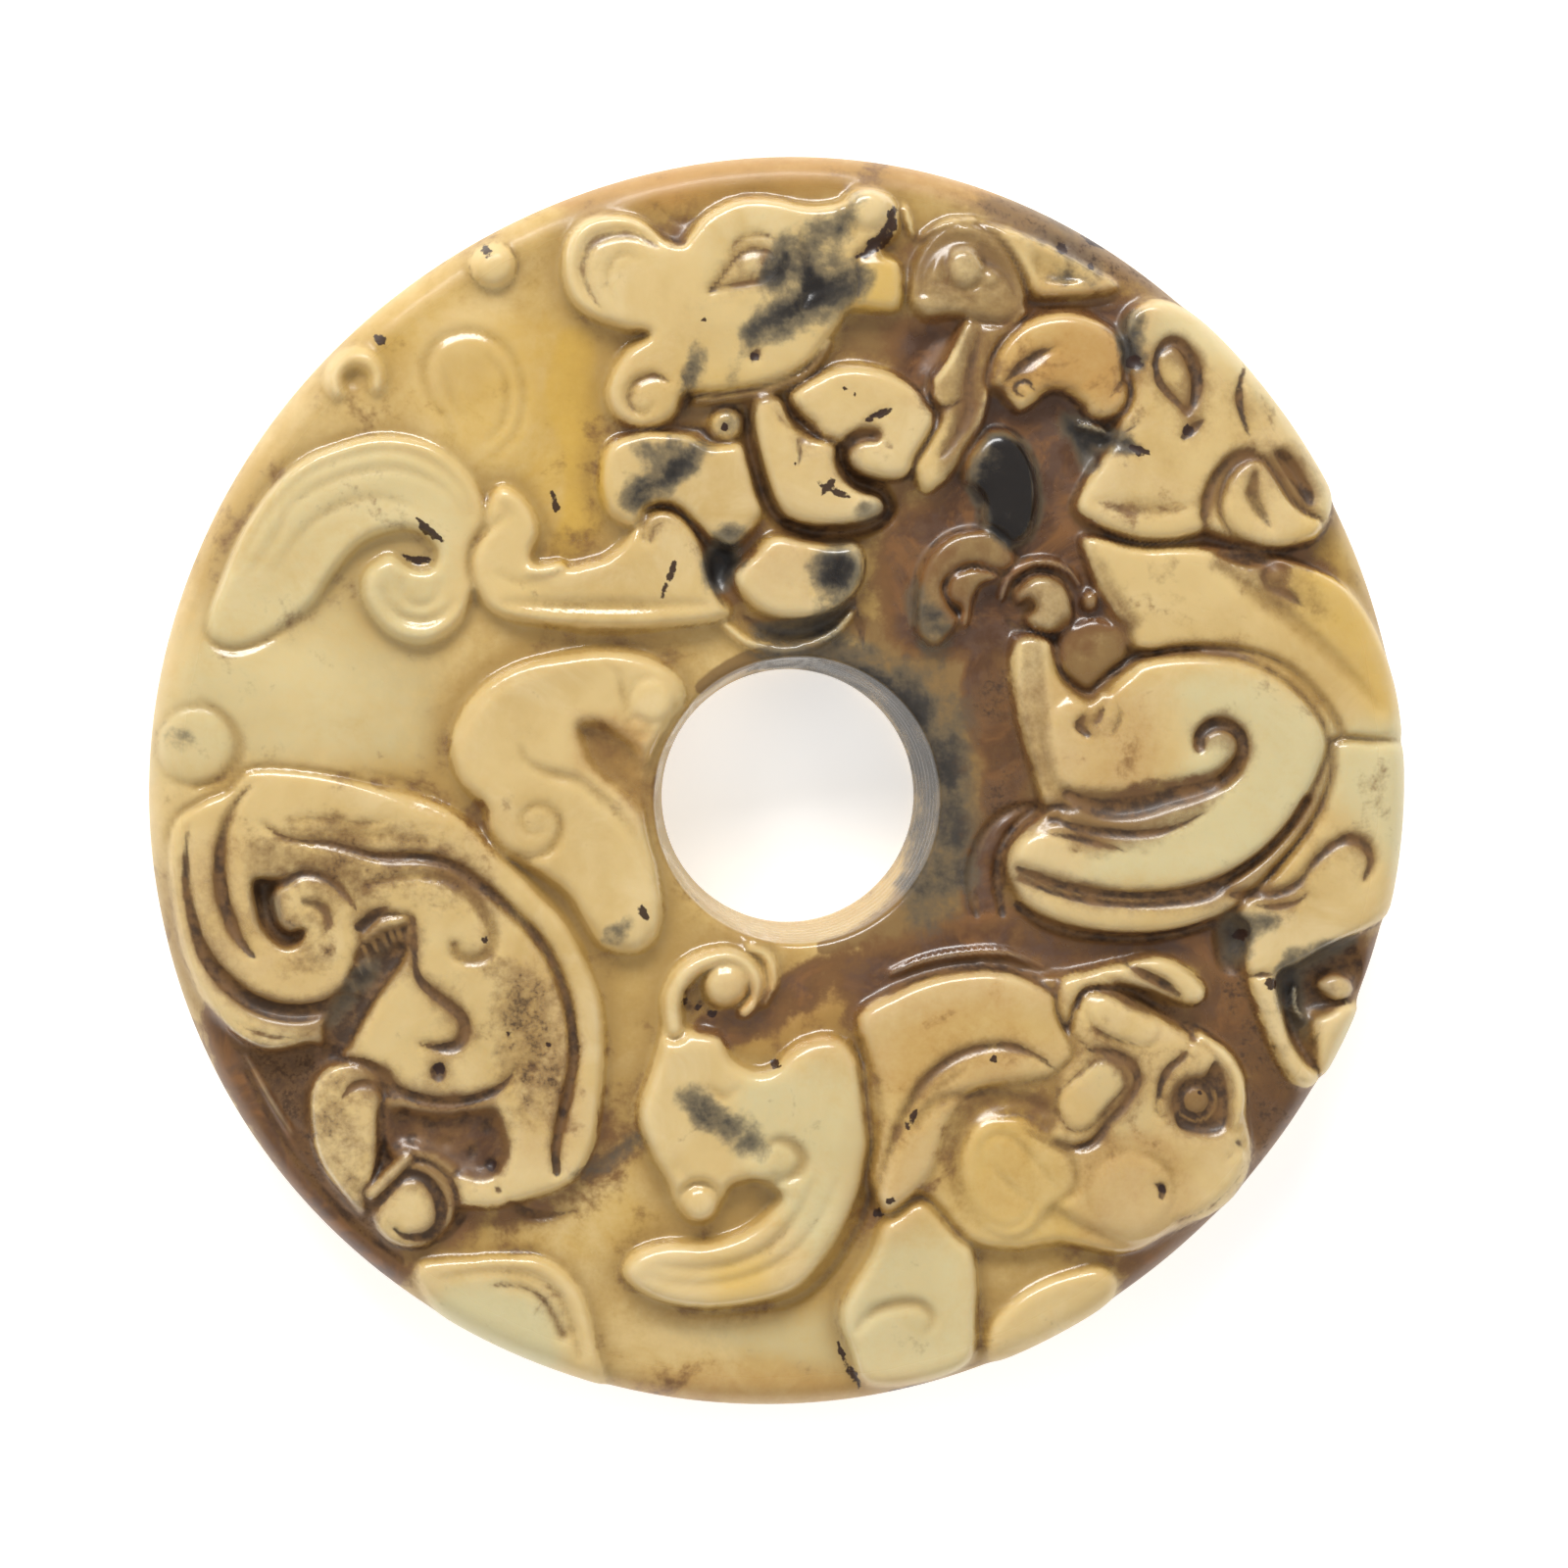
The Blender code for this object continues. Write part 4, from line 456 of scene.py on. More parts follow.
groove("3.3 16.3, 3.9 16.5, 4.6 16.9", [0.12, 0.2, 0.06], 0.2, 1)
for x, y in ((2.35, 17.7), (2.8, 17.55), (4.5, 15.1), (0.1, 8.9)):
    pit(x, y, 0.2, 0.15, 0.7)
groove("3.45 6.2, 3.3 7.2, 3 8.1", [0.12, 0.28, 0.12], 0.35, 1)
report("plates")

# %% The curled limb and the leaf at the rim
# Curl limb
plate("""7.9 20.9, 7.2 19.3, 6.5 18.1, 6.2 17.3, 6.7 16.5, 6.3 15.5, 5.6 14.2, 6.1 13.1, 7.1 13.7,
    7.9 14.8, 8.5 16, 8.7 17.3, 8.9 18.5, 9.6 19.9, 10.5 21, 9.6 22.2, 8.2 22""", top=1.15,
      drop=0.85, edge=0.6, moat=0.3, dirt=0.6)
plate("""5.5 21.4, 5.5 22.7, 5.9 23.8, 6.8 24.7, 8 24.95, 9.1 24.5, 9.9 23.5, 10.4 22.3, 10.55 21.2,
    9.6 20.6, 8.4 20.7, 7.2 20.9, 6.2 20.8""", top=1.2, drop=0.7, edge=0.8, moat=0.35, dirt=0.6)
groove("5.9 21.9, 6 22.9, 6.5 23.8, 7.4 24.3, 8.4 24.15, 9.2 23.4, 9.8 22.5, 10.1 21.6",
       [0.25, 0.45, 0.5, 0.5, 0.45, 0.15], 0.5, 0.6, flat=1.5)
ball(7.75, 23, 0.95, top=1.45, drop=0.7, moat=0.3, dirt=0.4)
ball(8.95, 22.5, 0.4, top=1.3, drop=0.4, moat=0.2, dirt=0.4)
groove("7.15 23.7, 7 23.1, 7.15 22.5", [0.1, 0.2, 0.1], 0.25, 0.9)
groove("8.3 23.7, 8.75 23.25, 9.2 23", [0.15, 0.3, 0.12], 0.3, 0.9)
for x, y in ((5.9, 21.7), (6.1, 22.2), (7.3, 21.5)):
    groove([(x, y), (x + 0.5, y + 0.2), (x + 1, y)], [0.08, 0.16, 0.08], 0.2, 0.7)
band("7.95 20.6, 7.5 19.5, 7 18.6, 6.5 18", [0.1, 0.2, 0.2, 0.14], top=1.4, drop=0.4, moat=0.15,
     dirt=0)
band("10.5 21.1, 9.7 20.2, 9.1 19.2, 8.85 18, 8.6 16.6, 8.2 15.6", [0.12, 0.16, 0.12], top=1.35,
     drop=0.35, moat=0.15, dirt=0.2)
groove("8.6 20.4, 8.2 19.2, 8 18, 8 16.8, 7.5 15.6, 6.8 14.7", [0.15, 0.35, 0.4, 0.4, 0.25], 0.35,
       0.6, lean=-0.4)
groove("6.3 18.2, 6.2 17.4, 6.6 16.8, 7.3 16.95, 7.6 17.2", [0.1, 0.25, 0.2, 0.1], 0.4, 0.9)
sink("5.4 20.8, 7.6 20.6, 7 19.2, 6.3 18.2, 5.5 18.4, 5 19.8", level=-0.35, edge=1, dirt=0.35)

# Rim leaf
plate("""8.2 25.2, 9.4 24.9, 10.6 24.5, 12.2 23.8, 13.5 23, 14.7 22.3, 14 21.95, 12.4 21.8, 11 21.8,
    10.5 22.6, 9.9 23.7, 9.1 24.6""", top=0.9, drop=0.6, edge=0.3, moat=0.3, dirt=0.5)
sink("10.9 24.1, 12 23.5, 13.6 22.5, 12.6 22.2, 11.2 22.3, 10.6 23.2", level=0.45, edge=0.5,
     dirt=0.3)
band("9.4 24.6, 10.3 23.6, 10.9 22.6, 11.2 22.1", [0.1, 0.18, 0.1], top=1, drop=0.4, moat=0.2,
     dirt=0.3)
band("11 24, 12.2 23.5, 13.4 22.9, 14.4 22.3", [0.08, 0.16, 0.1], top=0.95, drop=0.4, moat=0.2,
     dirt=0.4)
pit(12.5, 22.6, 0.5, 0.25, 0.9, squash=0.5)
pit(12.2, 23.95, 0.5, 0.3, 1, squash=0.6, turn=-25)
band("5.2 25.8, 5.4 25.1, 5.6 24.5", [0.08, 0.16, 0.08], top=0.9, drop=0.6, dirt=0.3)
band("6 24.4, 6.7 24.85, 7.5 25.1, 8.3 25.1", [0.08, 0.14, 0.08], top=1, drop=0.5, moat=0.2,
     dirt=0.3)
groove("10.6 21.5, 12.4 21.5, 14.4 21.7", [0.3, 0.25, 0.3], 0.25, 0.5)
report("curl limb, rim leaf")

# %% [markdown]
# ## The right side: a long body that swings round to the rim
# Here the relief is deepest and the stains are darkest. A head at the upper right, a leaf, a dark
# glossy boss and a claw crowd round the start of a long back that curls into a spiral hip.

# %% Head, leaf and tail on the upper right
# Right head
plate("""12.7 12.3, 13.1 13.5, 13.7 14.4, 14.2 15.3, 14.6 16.4, 14.9 17.8, 14.9 19.2, 14.8 20.3,
    15.3 21.3, 17 21.6, 19.6 20.2, 21.6 18.4, 23.4 15.8, 24.4 13.6, 23.6 11.2, 22.4 10.8,
    21 10.75, 19.8 10.9, 18.6 11.3, 17 10.95, 15.4 11, 13.9 11.5""", top=1.3, drop=1, edge=0.6,
      moat=0.4, dirt=0.6)
groove("16.15 18.7, 16.35 19.3, 16.9 19.75, 17.5 19.4, 17.95 18.5, 18 17.6, 17.8 16.9, 17.5 16.6",
       [0.15, 0.3, 0.35, 0.38, 0.3, 0.12], 0.5, 1, flat=1.5)
groove("16.2 18.8, 16.3 18.1, 16.7 17.5, 17.2 17, 17.7 16.5", [0.15, 0.25, 0.22, 0.12], 0.4, 1)
groove("18.3 16.3, 17.9 15.95, 17.4 15.5", [0.12, 0.3, 0.2], 0.35, 1)
groove("15.9 21, 15.6 20.4, 15.1 20.1", [0.1, 0.2, 0.15], 0.2, 0.5)
pit(15.25, 18.85, 0.5, 0.4, 1, squash=0.8, turn=-30)
groove("14.4 15.7, 15 15.85, 15.4 16.2", [0.1, 0.15, 0.1], 0.2, 0.8)
groove("14.9 15.3, 15.3 15, 15.9 14.85", [0.2, 0.22, 0.06], 0.25, 1)
groove("13.4 12.7, 15 12.35, 17 12.3, 18.1 12.7", [0.15, 0.4, 0.35, 0.1], 0.2, 0.4, lean=0.4)
groove("18.5 11.2, 18.35 12, 18.5 13, 19 14, 19.8 14.8, 20.6 15", [0.2, 0.35, 0.35, 0.3, 0.12],
       0.5, 0.65, lean=-0.3)
groove("20.2 18.7, 19.9 17.8, 19.95 16.7, 20.3 15.6", [0.15, 0.28, 0.12], 0.35, 0.95)
groove("20.9 18.3, 20.95 17.4, 21.2 16.4, 21.5 15.7", [0.1, 0.18, 0.1], 0.2, 0.6)
groove("21.2 18.1, 21.7 17.4, 22.1 16.7", [0.08, 0.15, 0.08], 0.15, 0.6)
pit(21.45, 16.7, 0.3, 0.15, 0.5, squash=1.9, turn=-10)
plate("""19.1 12.6, 19.4 13.7, 20.1 14.45, 20.9 14.5, 21.5 13.8, 22.1 12.8, 22.9 12.1, 23.6 11.8,
    23.3 11.1, 22.3 10.7, 21 10.65, 19.9 11.1, 19.3 11.8""", top=1.45, drop=0.9, edge=0.5,
      moat=0.45, dirt=0.6)
groove("20.6 13.9, 20.45 13, 20.8 12.2, 21.4 11.4", [0.3, 0.48, 0.4, 0.1], 0.4, 0.5, flat=1.5)
sink("21.2 14.9, 22 15.1, 22.8 14.2, 23.4 12.8, 22.9 12.3, 22 13.5", level=0.15, edge=0.8,
     dirt=0.9)

# Tan leaf
plate("""8.9 18.5, 9.3 19.5, 10.2 20.5, 11.3 21, 12.6 21.1, 13.7 20.8, 14.6 20.2, 14.95 19.3,
    14.9 18.4, 15.1 17.6, 14.9 16.8, 14.2 16.3, 13.3 16.4, 12.9 17, 12.2 17.5, 11.5 17.5, 10.9 17,
    10.3 16.65, 9.8 17, 9.4 17.5, 8.9 17.8""", top=1.4, drop=1.05, edge=0.9, moat=0.35, dirt=0.7)
groove("9.5 17.9, 10.2 18.6, 11 19.2, 11.9 19.55", [0.15, 0.3, 0.3, 0.08], 0.4, 0.8, lean=-0.4)
groove("10.9 17.5, 10.5 18, 10 17.8, 10.1 17.4, 10.4 17.3", [0.1, 0.18, 0.2, 0.2, 0.15], 0.35,
       0.9)
groove("14.1 17.2, 14.6 17.8, 14.95 18.4", [0.1, 0.2, 0.15], 0.2, 0.7)
groove("12.5 17.4, 13 17.9, 13.2 18.5", [0.12, 0.15, 0.05], 0.12, 0.4)
for x, y, radius in ((13.4, 17.7, 0.16), (13.1, 16.9, 0.16), (13.9, 16.9, 0.2)):
    pit(x, y, radius, 0.12, 0.5)
for claw_line in ("12.3 16.6, 12.7 15.8, 13.1 15, 13.3 14.2", """12.9 15.7, 13.7 15.7, 14.4 15.3,
    15.2 15""", "13.2 15.2, 13.6 14.7, 13.7 14.2"):
    groove(claw_line, [0.12, 0.25, 0.1], 0.35, 1)
band("12.9 16.1, 13.6 15.95, 14.3 15.6", [0.08, 0.18, 0.08], top=1, drop=0.5, moat=0.2, dirt=0.8)

# Tail
plate("""13.1 11.2, 15.4 10.7, 17.6 10.7, 19.4 10.6, 21.6 10.3, 24.6 9, 26.6 6, 27.6 2.3, 25.8 2.1,
    24.2 2.2, 23.6 3.5, 22.3 4.9, 20.6 5.8, 18 6.3, 16 6.1, 15 6.4, 14.6 7.2, 13.8 8.6, 13.3 9.8""",
      top=1.15, drop=0.7, edge=0.5, moat=0.35, dirt=0.5)
groove("19 9.9, 20.4 8.9, 22.2 7.6, 23.8 6.2, 25.2 4.8, 26.2 3.6", [0.25, 0.4, 0.35, 0.3, 0.2],
       0.3, 0.3, lean=-0.6)
sink("18.4 10.6, 20.2 10.7, 21.9 10.3, 21.3 9.8, 20.3 9.7, 19.2 10", level=0.1, edge=0.5,
     dirt=0.9)
groove("21.6 9.9, 21 9.5, 21.2 8.9, 22 8.6, 22.8 8", [0.15, 0.25, 0.3, 0.35, 0.12], 0.35, 0.8)
ball(21.6, 9.4, 0.45, top=1.05, drop=0.4, moat=0.2, dirt=0.4)
groove("13.9 9.9, 14.6 8.4, 15.4 7.2", [0.3, 0.5, 0.3], 0.15, 0.3)
report("right head, tan leaf, tail")

# %% The dark boss and the claw
# Dark dome
plate("""7.8 13.6, 7.8 14.5, 8.3 15.3, 9 15.9, 9.9 15.8, 10.7 14.9, 11.1 13.6, 11.1 12.2, 10.7 11.1,
    9.8 10.7, 8.9 11, 8.6 11.9, 8.6 12.8, 8.2 13.3""", top=1.25, drop=1.05, edge=1.25, moat=0.45,
      dirt=0.7)

# Claw
plate("""9 11.4, 7.4 11.3, 6.3 10.4, 5.8 9.2, 5.65 7.9, 5.8 6.8, 6.5 6.3, 7.1 6.7, 7.6 7.4, 7.2 8.1,
    6.9 8.9, 7.3 9.5, 8.2 9.9, 9.6 9.6, 10.1 10.3""", top=1, drop=0.7, edge=0.55, moat=0.4,
      dirt=0.8)
plate("""7.05 8.9, 7.4 9.5, 8.2 9.75, 9 9.6, 9.5 9.3, 8.6 9, 8.2 8.3, 8 7.3, 7.7 7.2, 7.7 8,
    7.2 8.3""", top=1.05, drop=0.5, edge=0.3, moat=0.25, dirt=0.7)
plate("""10.1 8.7, 10.8 9.4, 11.6 9.4, 12.3 8.9, 12.6 8, 12.5 7.2, 11.9 6.9, 11 7, 10.5 7.5, 10.9 8,
    10.6 8.35, 10.15 8.2""", top=1.35, drop=0.9, edge=0.5, moat=0.35, dirt=0.9)
band("9.5 8.4, 9.8 9.3, 10.6 9.9, 11.6 10, 12.5 9.6, 13 8.9", [0.12, 0.18, 0.18, 0.08], top=0.95,
     drop=0.5, moat=0.25, dirt=0.7)
groove("9.8 7.5, 10.2 7, 11 6.7, 12.2 6.7", [0.2, 0.3, 0.2], 0.3, 0.9)
ball(13.4, 8.3, 0.4, top=0.9, drop=0.5, moat=0.2, dirt=0.3, squash=1.2)
report("dark dome, claw")

# %% The long body and the beast on the rim
# Right body
plate("""10 6.6, 11.6 6.6, 12.1 5, 13.3 4.1, 14.3 4.9, 16 5.9, 19 6.2, 21.6 5.6, 23.5 4, 24.6 2,
    24.2 0.4, 23.4 -1.2, 21.6 -3.4, 19.6 -5.4, 16.6 -6.4, 13.4 -6.3, 10.8 -5.4, 9.9 -4.2,
    9.6 -2.9, 10.4 -1.8, 11.2 -1, 10.9 0.4, 10.4 2, 10 4""", top=1.2, drop=0.75, edge=0.7,
      moat=0.35, dirt=0.6)
plate("""12.6 4.2, 13.5 4, 14.2 4.8, 15.6 5.6, 17.5 5.85, 19.5 5.75, 21.1 5.2, 22.4 4.3, 23.3 3.2,
    23.75 2, 23.5 0.9, 22.9 -0.5, 21.9 -1.9, 20.7 -3, 19 -4, 17 -4.5, 15 -4.6, 13 -4.3, 11.2 -3.7,
    10 -3.2, 10.2 -2.3, 11.4 -1.6, 12.2 -0.8, 11.6 0.6, 11.2 2.2, 11.6 3.6""", top=1.5, drop=0.55,
      edge=0.9, moat=0.25, dirt=0.5)
plate("12 6.6, 12.1 5.3, 12.9 4.5, 13.5 4.3, 14.2 5, 15 5.8, 14.8 7, 13.8 7.5, 12.8 7.3", top=0.6,
      drop=0.3, edge=0.5, moat=0.2, dirt=0.8)
groove("12 6.4, 12.1 5.3, 12.8 4.5, 13.4 4.3, 14.1 4.9, 15.2 5.7, 16.6 6.05",
       [0.12, 0.25, 0.3, 0.12], 0.4, 1)
groove("12.3 -0.2, 13.2 -0.7, 14.4 -0.9, 15.6 -0.75, 16.8 -0.4, 18 -0.1, 19 0.3, 19.7 0.9",
       [0.3, 0.6, 0.65, 0.6, 0.5, 0.4], 0.6, 0.9, lean=0.4)
groove("18.1 1.85, 18.15 2.4, 18.7 2.85, 19.4 2.8, 19.95 2.3, 20 1.6, 19.7 0.9, 19.2 0.4",
       [0.3, 0.38, 0.35, 0.35, 0.3], 0.6, 1, flat=1.6)
groove("11.5 -1.3, 13 -1.75, 14.6 -1.95, 16.2 -1.9, 17.4 -1.5, 18.4 -0.9", [0.2, 0.3, 0.25, 0.1],
       0.4, 0.9)
groove("11.2 -1.9, 12.6 -2.15, 14 -2.5, 15 -2.75", [0.12, 0.25, 0.08], 0.3, 0.8)
groove("13 3.3, 12.8 2.8, 13.2 2.4", [0.12, 0.3, 0.2], 0.5, 1)
groove("13.6 4.2, 13.8 3.4, 13.5 2.8", [0.15, 0.2, 0.1], 0.35, 0.9)
band("13.2 3, 13.5 3.6, 13.9 4.2", [0.1, 0.22, 0.15], top=1.5, drop=0.4, moat=0.2, dirt=0.4)
groove("14.2 2.4, 14.6 3.2, 14.4 4", [0.12, 0.3, 0.12], 0.2, 0.5)
for shift, width in ((0, 0.2), (-0.42, 0.17)):
    groove([(10.1, -3.5 + shift), (11.5, -4.1 + shift), (13.1, -4.5 + shift),
            (15.2, -4.7 + shift), (17.2, -4.6 + shift), (18.7, -4.25 + shift), (20.1, -3.55),
            (21.2, -2.7), (22.2, -1.6), (22.9, -0.5)], [width, width, 1.5 * width, 1.3 * width],
           0.4, 1, flat=1.5)
groove("""22.9 -0.5, 23.5 0.7, 23.85 2, 23.4 3.3, 22.4 4.45, 21.1 5.35, 19.5 5.95, 17.5 6.05,
    16 5.9""", [0.22, 0.16], 0.35, 0.75)
groove("10.3 -5.2, 11.4 -6, 13 -6.45, 15 -6.6, 17 -6.45, 18.9 -6", [0.25, 0.35, 0.35, 0.3], 0.45,
       1, flat=1.5)
for x in (8.45, 9.6):
    groove([(x, -5.6), (x - 0.2, -4), (x + 0.1, -2.6), (x + 0.9, -1.4), (x + 2.1, -0.8),
            (x + 3, -0.9)], [0.25, 0.38, 0.35, 0.3, 0.15], 0.5, 1)
for x, y in ((12.6, -2.7), (13.6, -3), (15.7, -2.8)):
    pit(x, y, 0.35, 0.12, 0.5, squash=0.6, turn=-20)

# Rim beast
plate("""24.2 2.1, 25.8 2.1, 27.6 1.9, 28.4 0, 28.2 -3, 27.4 -5.2, 25.9 -6.1, 24.2 -6.9, 22.6 -7.8,
    21.7 -8.3, 21.9 -9.6, 22.2 -10.9, 22.9 -12.1, 23.7 -12.9, 23 -13.3, 22.2 -12.8, 21.4 -11.4,
    20.7 -9.6, 20.2 -7.8, 20.3 -6.2, 19.9 -5.3, 21.6 -3.6, 23.2 -1.5, 24 0.4""", top=1.2, drop=0.75,
      edge=0.7, moat=0.35, dirt=0.6)
groove("24 2.15, 25.2 2.25, 26.4 2.25", [0.12, 0.16, 0.1], 0.3, 0.5)
groove("""19.6 -4.7, 20.6 -4.65, 21.6 -4.65, 22.5 -4.2, 23.1 -3.4, 23.8 -2.7, 24.6 -2.25,
    25.4 -2.45, 25.7 -3.2, 25.4 -4""", [0.25, 0.28, 0.25, 0.25, 0.3, 0.15], 0.4, 0.8, lean=0.3)
groove("20.4 -5.1, 21.5 -5.2, 22.4 -5, 22.9 -4.6", [0.1, 0.22, 0.1], 0.3, 0.9)
sink("18.9 -5.9, 19.9 -5.7, 20.3 -6.5, 19.9 -7.2, 20.2 -8.3, 19.2 -8.2, 18.8 -7", level=-0.4,
     edge=0.4, dirt=1)
groove("20.4 -8.3, 20.9 -8.2, 21.4 -8.2", [0.15, 0.22, 0.12], 0.45, 1)
sink("""21.9 -8.2, 23.2 -7.4, 25 -6.6, 25.8 -7.6, 25.6 -9, 24 -9.8, 23 -10.2, 22.9 -11.8,
    22.2 -10.8, 21.9 -9.4""", level=-0.35, edge=0.35, dirt=1)
plate("23.2 -10.4, 23.9 -9.9, 25 -9.5, 25.8 -9.9, 25.7 -11, 25 -12.2, 24.1 -12.9, 23.5 -12.2",
      top=1.1, drop=0.7, edge=0.5, moat=0.25, dirt=0.8)
plate("23.5 -8.7, 24.2 -8.2, 25 -8.5, 25.1 -9.1, 24.2 -9.4", top=0.8, drop=0.6, edge=0.4,
      moat=0.25, dirt=0.7)
band("22.5 -8.8, 22.5 -9.7, 22.9 -10.2", [0.1, 0.2, 0.1], top=0.6, drop=0.4, moat=0.2, dirt=0.6)
groove("22.3 -9, 22.4 -10.4, 22.9 -11.6, 23.5 -12.4", [0.12, 0.2, 0.2, 0.1], 0.35, 0.9)
groove("23.5 -10.5, 23.4 -11.2, 23.6 -11.9", [0.12, 0.22, 0.1], 0.35, 0.9)
report("right body, rim beast")

# %% [markdown]
# ## The lower left: a maned head bent under its own body
# The mane is two deep curved cuts with a curl between them. The head points down; one S-shaped
# cut runs down its face, and a drilled dot marks the nostril.

# %% The body behind the lower left head
# Left body
plate("""-23.6 0.9, -20.5 0.7, -17.5 0, -14.8 -1, -13 -2.6, -11.4 -4.2, -9.9 -5.8, -8.9 -7.6,
    -8.2 -9.6, -8.1 -12, -8.3 -14.4, -8.6 -16, -9.5 -17.4, -11.5 -18.2, -13.6 -18.6, -16 -18,
    -18 -15.5, -19.5 -12, -21 -11.3, -23.2 -11.6, -25.3 -10.1, -26.7 -7.5, -27.3 -4, -27.2 -1.6,
    -26 -0.6, -24.7 0""", top=1.1, drop=0.75, edge=0.7, moat=0.4, dirt=0.35)
groove("-20.6 0.75, -19 0.35, -17.6 -0.1, -16.2 -0.8, -14.6 -1.5", [0.06, 0.2, 0.2, 0.08], 0.3,
       0.2)
groove("-19.4 0.9, -17.6 0.5, -15.8 -0.3, -14.2 -1.2", [0.06, 0.16, 0.06], 0.25, 0.2)
groove("-22.2 -1.35, -20.5 -1.3, -19 -1.5, -17.2 -1.35", [0.08, 0.2, 0.15, 0.22, 0.08], 0.2, 0.6)
groove("-20.8 -1.9, -18 -1.9, -16 -1.7, -14.2 -1.8", [0.06, 0.14, 0.06], 0.15, 0.25)
groove("""-23.2 -1.5, -22.1 -2.2, -20.1 -2.45, -18.2 -2.95, -16.1 -3, -14.7 -3.45, -13.5 -4.3,
    -12.3 -5.3, -11.25 -6.35, -10.5 -7.4, -9.9 -8.8, -9.55 -10.3, -9.45 -12, -9.7 -13.3,
    -10 -14.6, -10.25 -15.9, -10.2 -17""", [0.1, 0.16, 0.2, 0.3, 0.32, 0.32, 0.3, 0.28, 0.2], 0.6,
       1, flat=2.5)
for along in (0, 1):
    groove([(-20.6 + along, -2.0 + 0.1 * along), (-18.2, -2.1 - along), (-15.8, -2.3 - along),
            (-14.0 - along, -3.2 - along), (-12.6 - along, -4.6 - along)],
           [0.06, 0.13, 0.1, 0.06], 0.2, 0.6)
groove("""-18.6 -4.2, -16.6 -3.85, -14.95 -4.05, -13.95 -4.75, -13.3 -5.7, -13 -6.6, -13.25 -7.3,
    -13.95 -7.55, -14.6 -7.35, -14.75 -6.9""", [0.15, 0.2, 0.3, 0.36, 0.36, 0.34, 0.3], 0.32, 0.45,
       flat=2)
groove("-12.3 -18.3, -11.6 -18.8, -10.5 -18.95, -9.2 -18.75", [0.2, 0.3, 0.12], 0.35, 0.9)
groove("-10.2 -17.1, -9.6 -17.7, -8.6 -17.2, -7.8 -16.4, -6.8 -15.8", [0.1, 0.2, 0.3, 0.2], 0.2,
       0.3)
report("left body")

# %% The maned head and its jaw
# Left mane
groove("""-26.5 -1.6, -26.6 -3, -26.55 -4.6, -26.15 -6.4, -25.6 -7.6, -24.75 -8.6, -23.7 -9.4,
    -22.6 -9.8, -21.4 -9.9, -20.3 -9.65, -19.5 -9.1""",
       [0.1, 0.22, 0.3, 0.36, 0.42, 0.45, 0.45, 0.4], 0.6, 1, flat=2.5)
groove("""-23.6 0.35, -24.4 -0.65, -24.9 -1.85, -25.1 -3.2, -25 -4.6, -24.65 -5.8, -24.2 -6.7,
    -23.6 -7.4""", [0.1, 0.22, 0.32, 0.38, 0.36, 0.14], 0.5, 0.85, flat=2.5)
groove("-25.3 -9.6, -23.9 -10.6, -22.4 -11, -21.2 -10.8, -20.6 -10.2", [0.06, 0.14, 0.16, 0.1],
       0.2, 0.7)
sink("""-23.7 -4, -22.5 -3.9, -21.9 -3.5, -22.6 -4.7, -22.5 -5.7, -22 -6.2, -21.3 -6.1, -21.4 -6.8,
    -22.2 -7.1, -23 -6.6, -23.5 -5.7""", level=-0.2, edge=0.3, dirt=1)
groove("-19 -5.4, -19.7 -4.5, -20.6 -3.85, -21.5 -3.75, -22.3 -4.2", [0.1, 0.25, 0.28, 0.3], 0.45,
       0.7)
groove("-21.3 -5, -20.6 -5.2, -20.3 -5.8, -20.5 -6.5", [0.3, 0.4, 0.3, 0.1], 0.28, 0.55)
sink("""-18.85 -6.1, -18.2 -5.5, -17.2 -5.3, -16.7 -5.9, -16.7 -7.4, -17.5 -8.6, -18.3 -9.8,
    -18.9 -10.9, -19.4 -11.7, -20.6 -12.1, -20.7 -11, -20.6 -10.2, -19.8 -9, -19.3 -7.6,
    -19 -6.6""", level=0.25, edge=0.35, dirt=0.8)
sink("""-25.5 -10.3, -24.2 -11.3, -22.6 -11.6, -21.2 -11.3, -20.8 -11.4, -20.8 -12.4, -21.2 -13.5,
    -21.2 -15.2, -22 -15, -23.4 -13.2""", level=-0.25, edge=0.5, dirt=0.95)
band("-23.9 -11.9, -23 -13.6, -21.9 -15.4", [0.1, 0.16, 0.1], top=0.45, drop=0.4, moat=0.3,
     dirt=0.4)

# Left head
CHEEK_HAIRS = ((-18.75, -6.95), (-18.35, -6.65), (-17.95, -6.4), (-17.55, -6.25), (-17.2, -6.2),
               (-19, -7.75), (-18.6, -7.6), (-19.3, -8.5))
groove("""-16.5 -5.7, -16.5 -7.2, -16.35 -8.25, -15.75 -8.95, -14.97 -9.55, -14.36 -10.15,
    -14.3 -10.85, -14.7 -11.35, -15.6 -11.4, -16.3 -11.25""",
       [0.14, 0.2, 0.22, 0.26, 0.3, 0.32, 0.3, 0.12], 0.4, 0.85, flat=2)
pit(-15.44, -12.5, 0.46, 0.45, 1, squash=1.2)
band("-18.6 -6.6, -17.8 -6, -16.9 -5.8", [0.25, 0.35, 0.2], top=1.15, drop=0.7, moat=0.3,
     dirt=0.5)
groove("-18.95 -6.1, -18.3 -5.5, -17.6 -5.2", [0.3, 0.25, 0.08], 0.4, 1)
for x, y in CHEEK_HAIRS:
    band([(x, y), (x + 0.12, y - 0.35), (x + 0.3, y - 0.65)], [0.11, 0.1, 0.04], top=1.1,
         drop=0.6, moat=0.13, dirt=1)
groove("-15.7 -5.15, -14.8 -5.2", [0.12, 0.12], 0.12, 0.55)
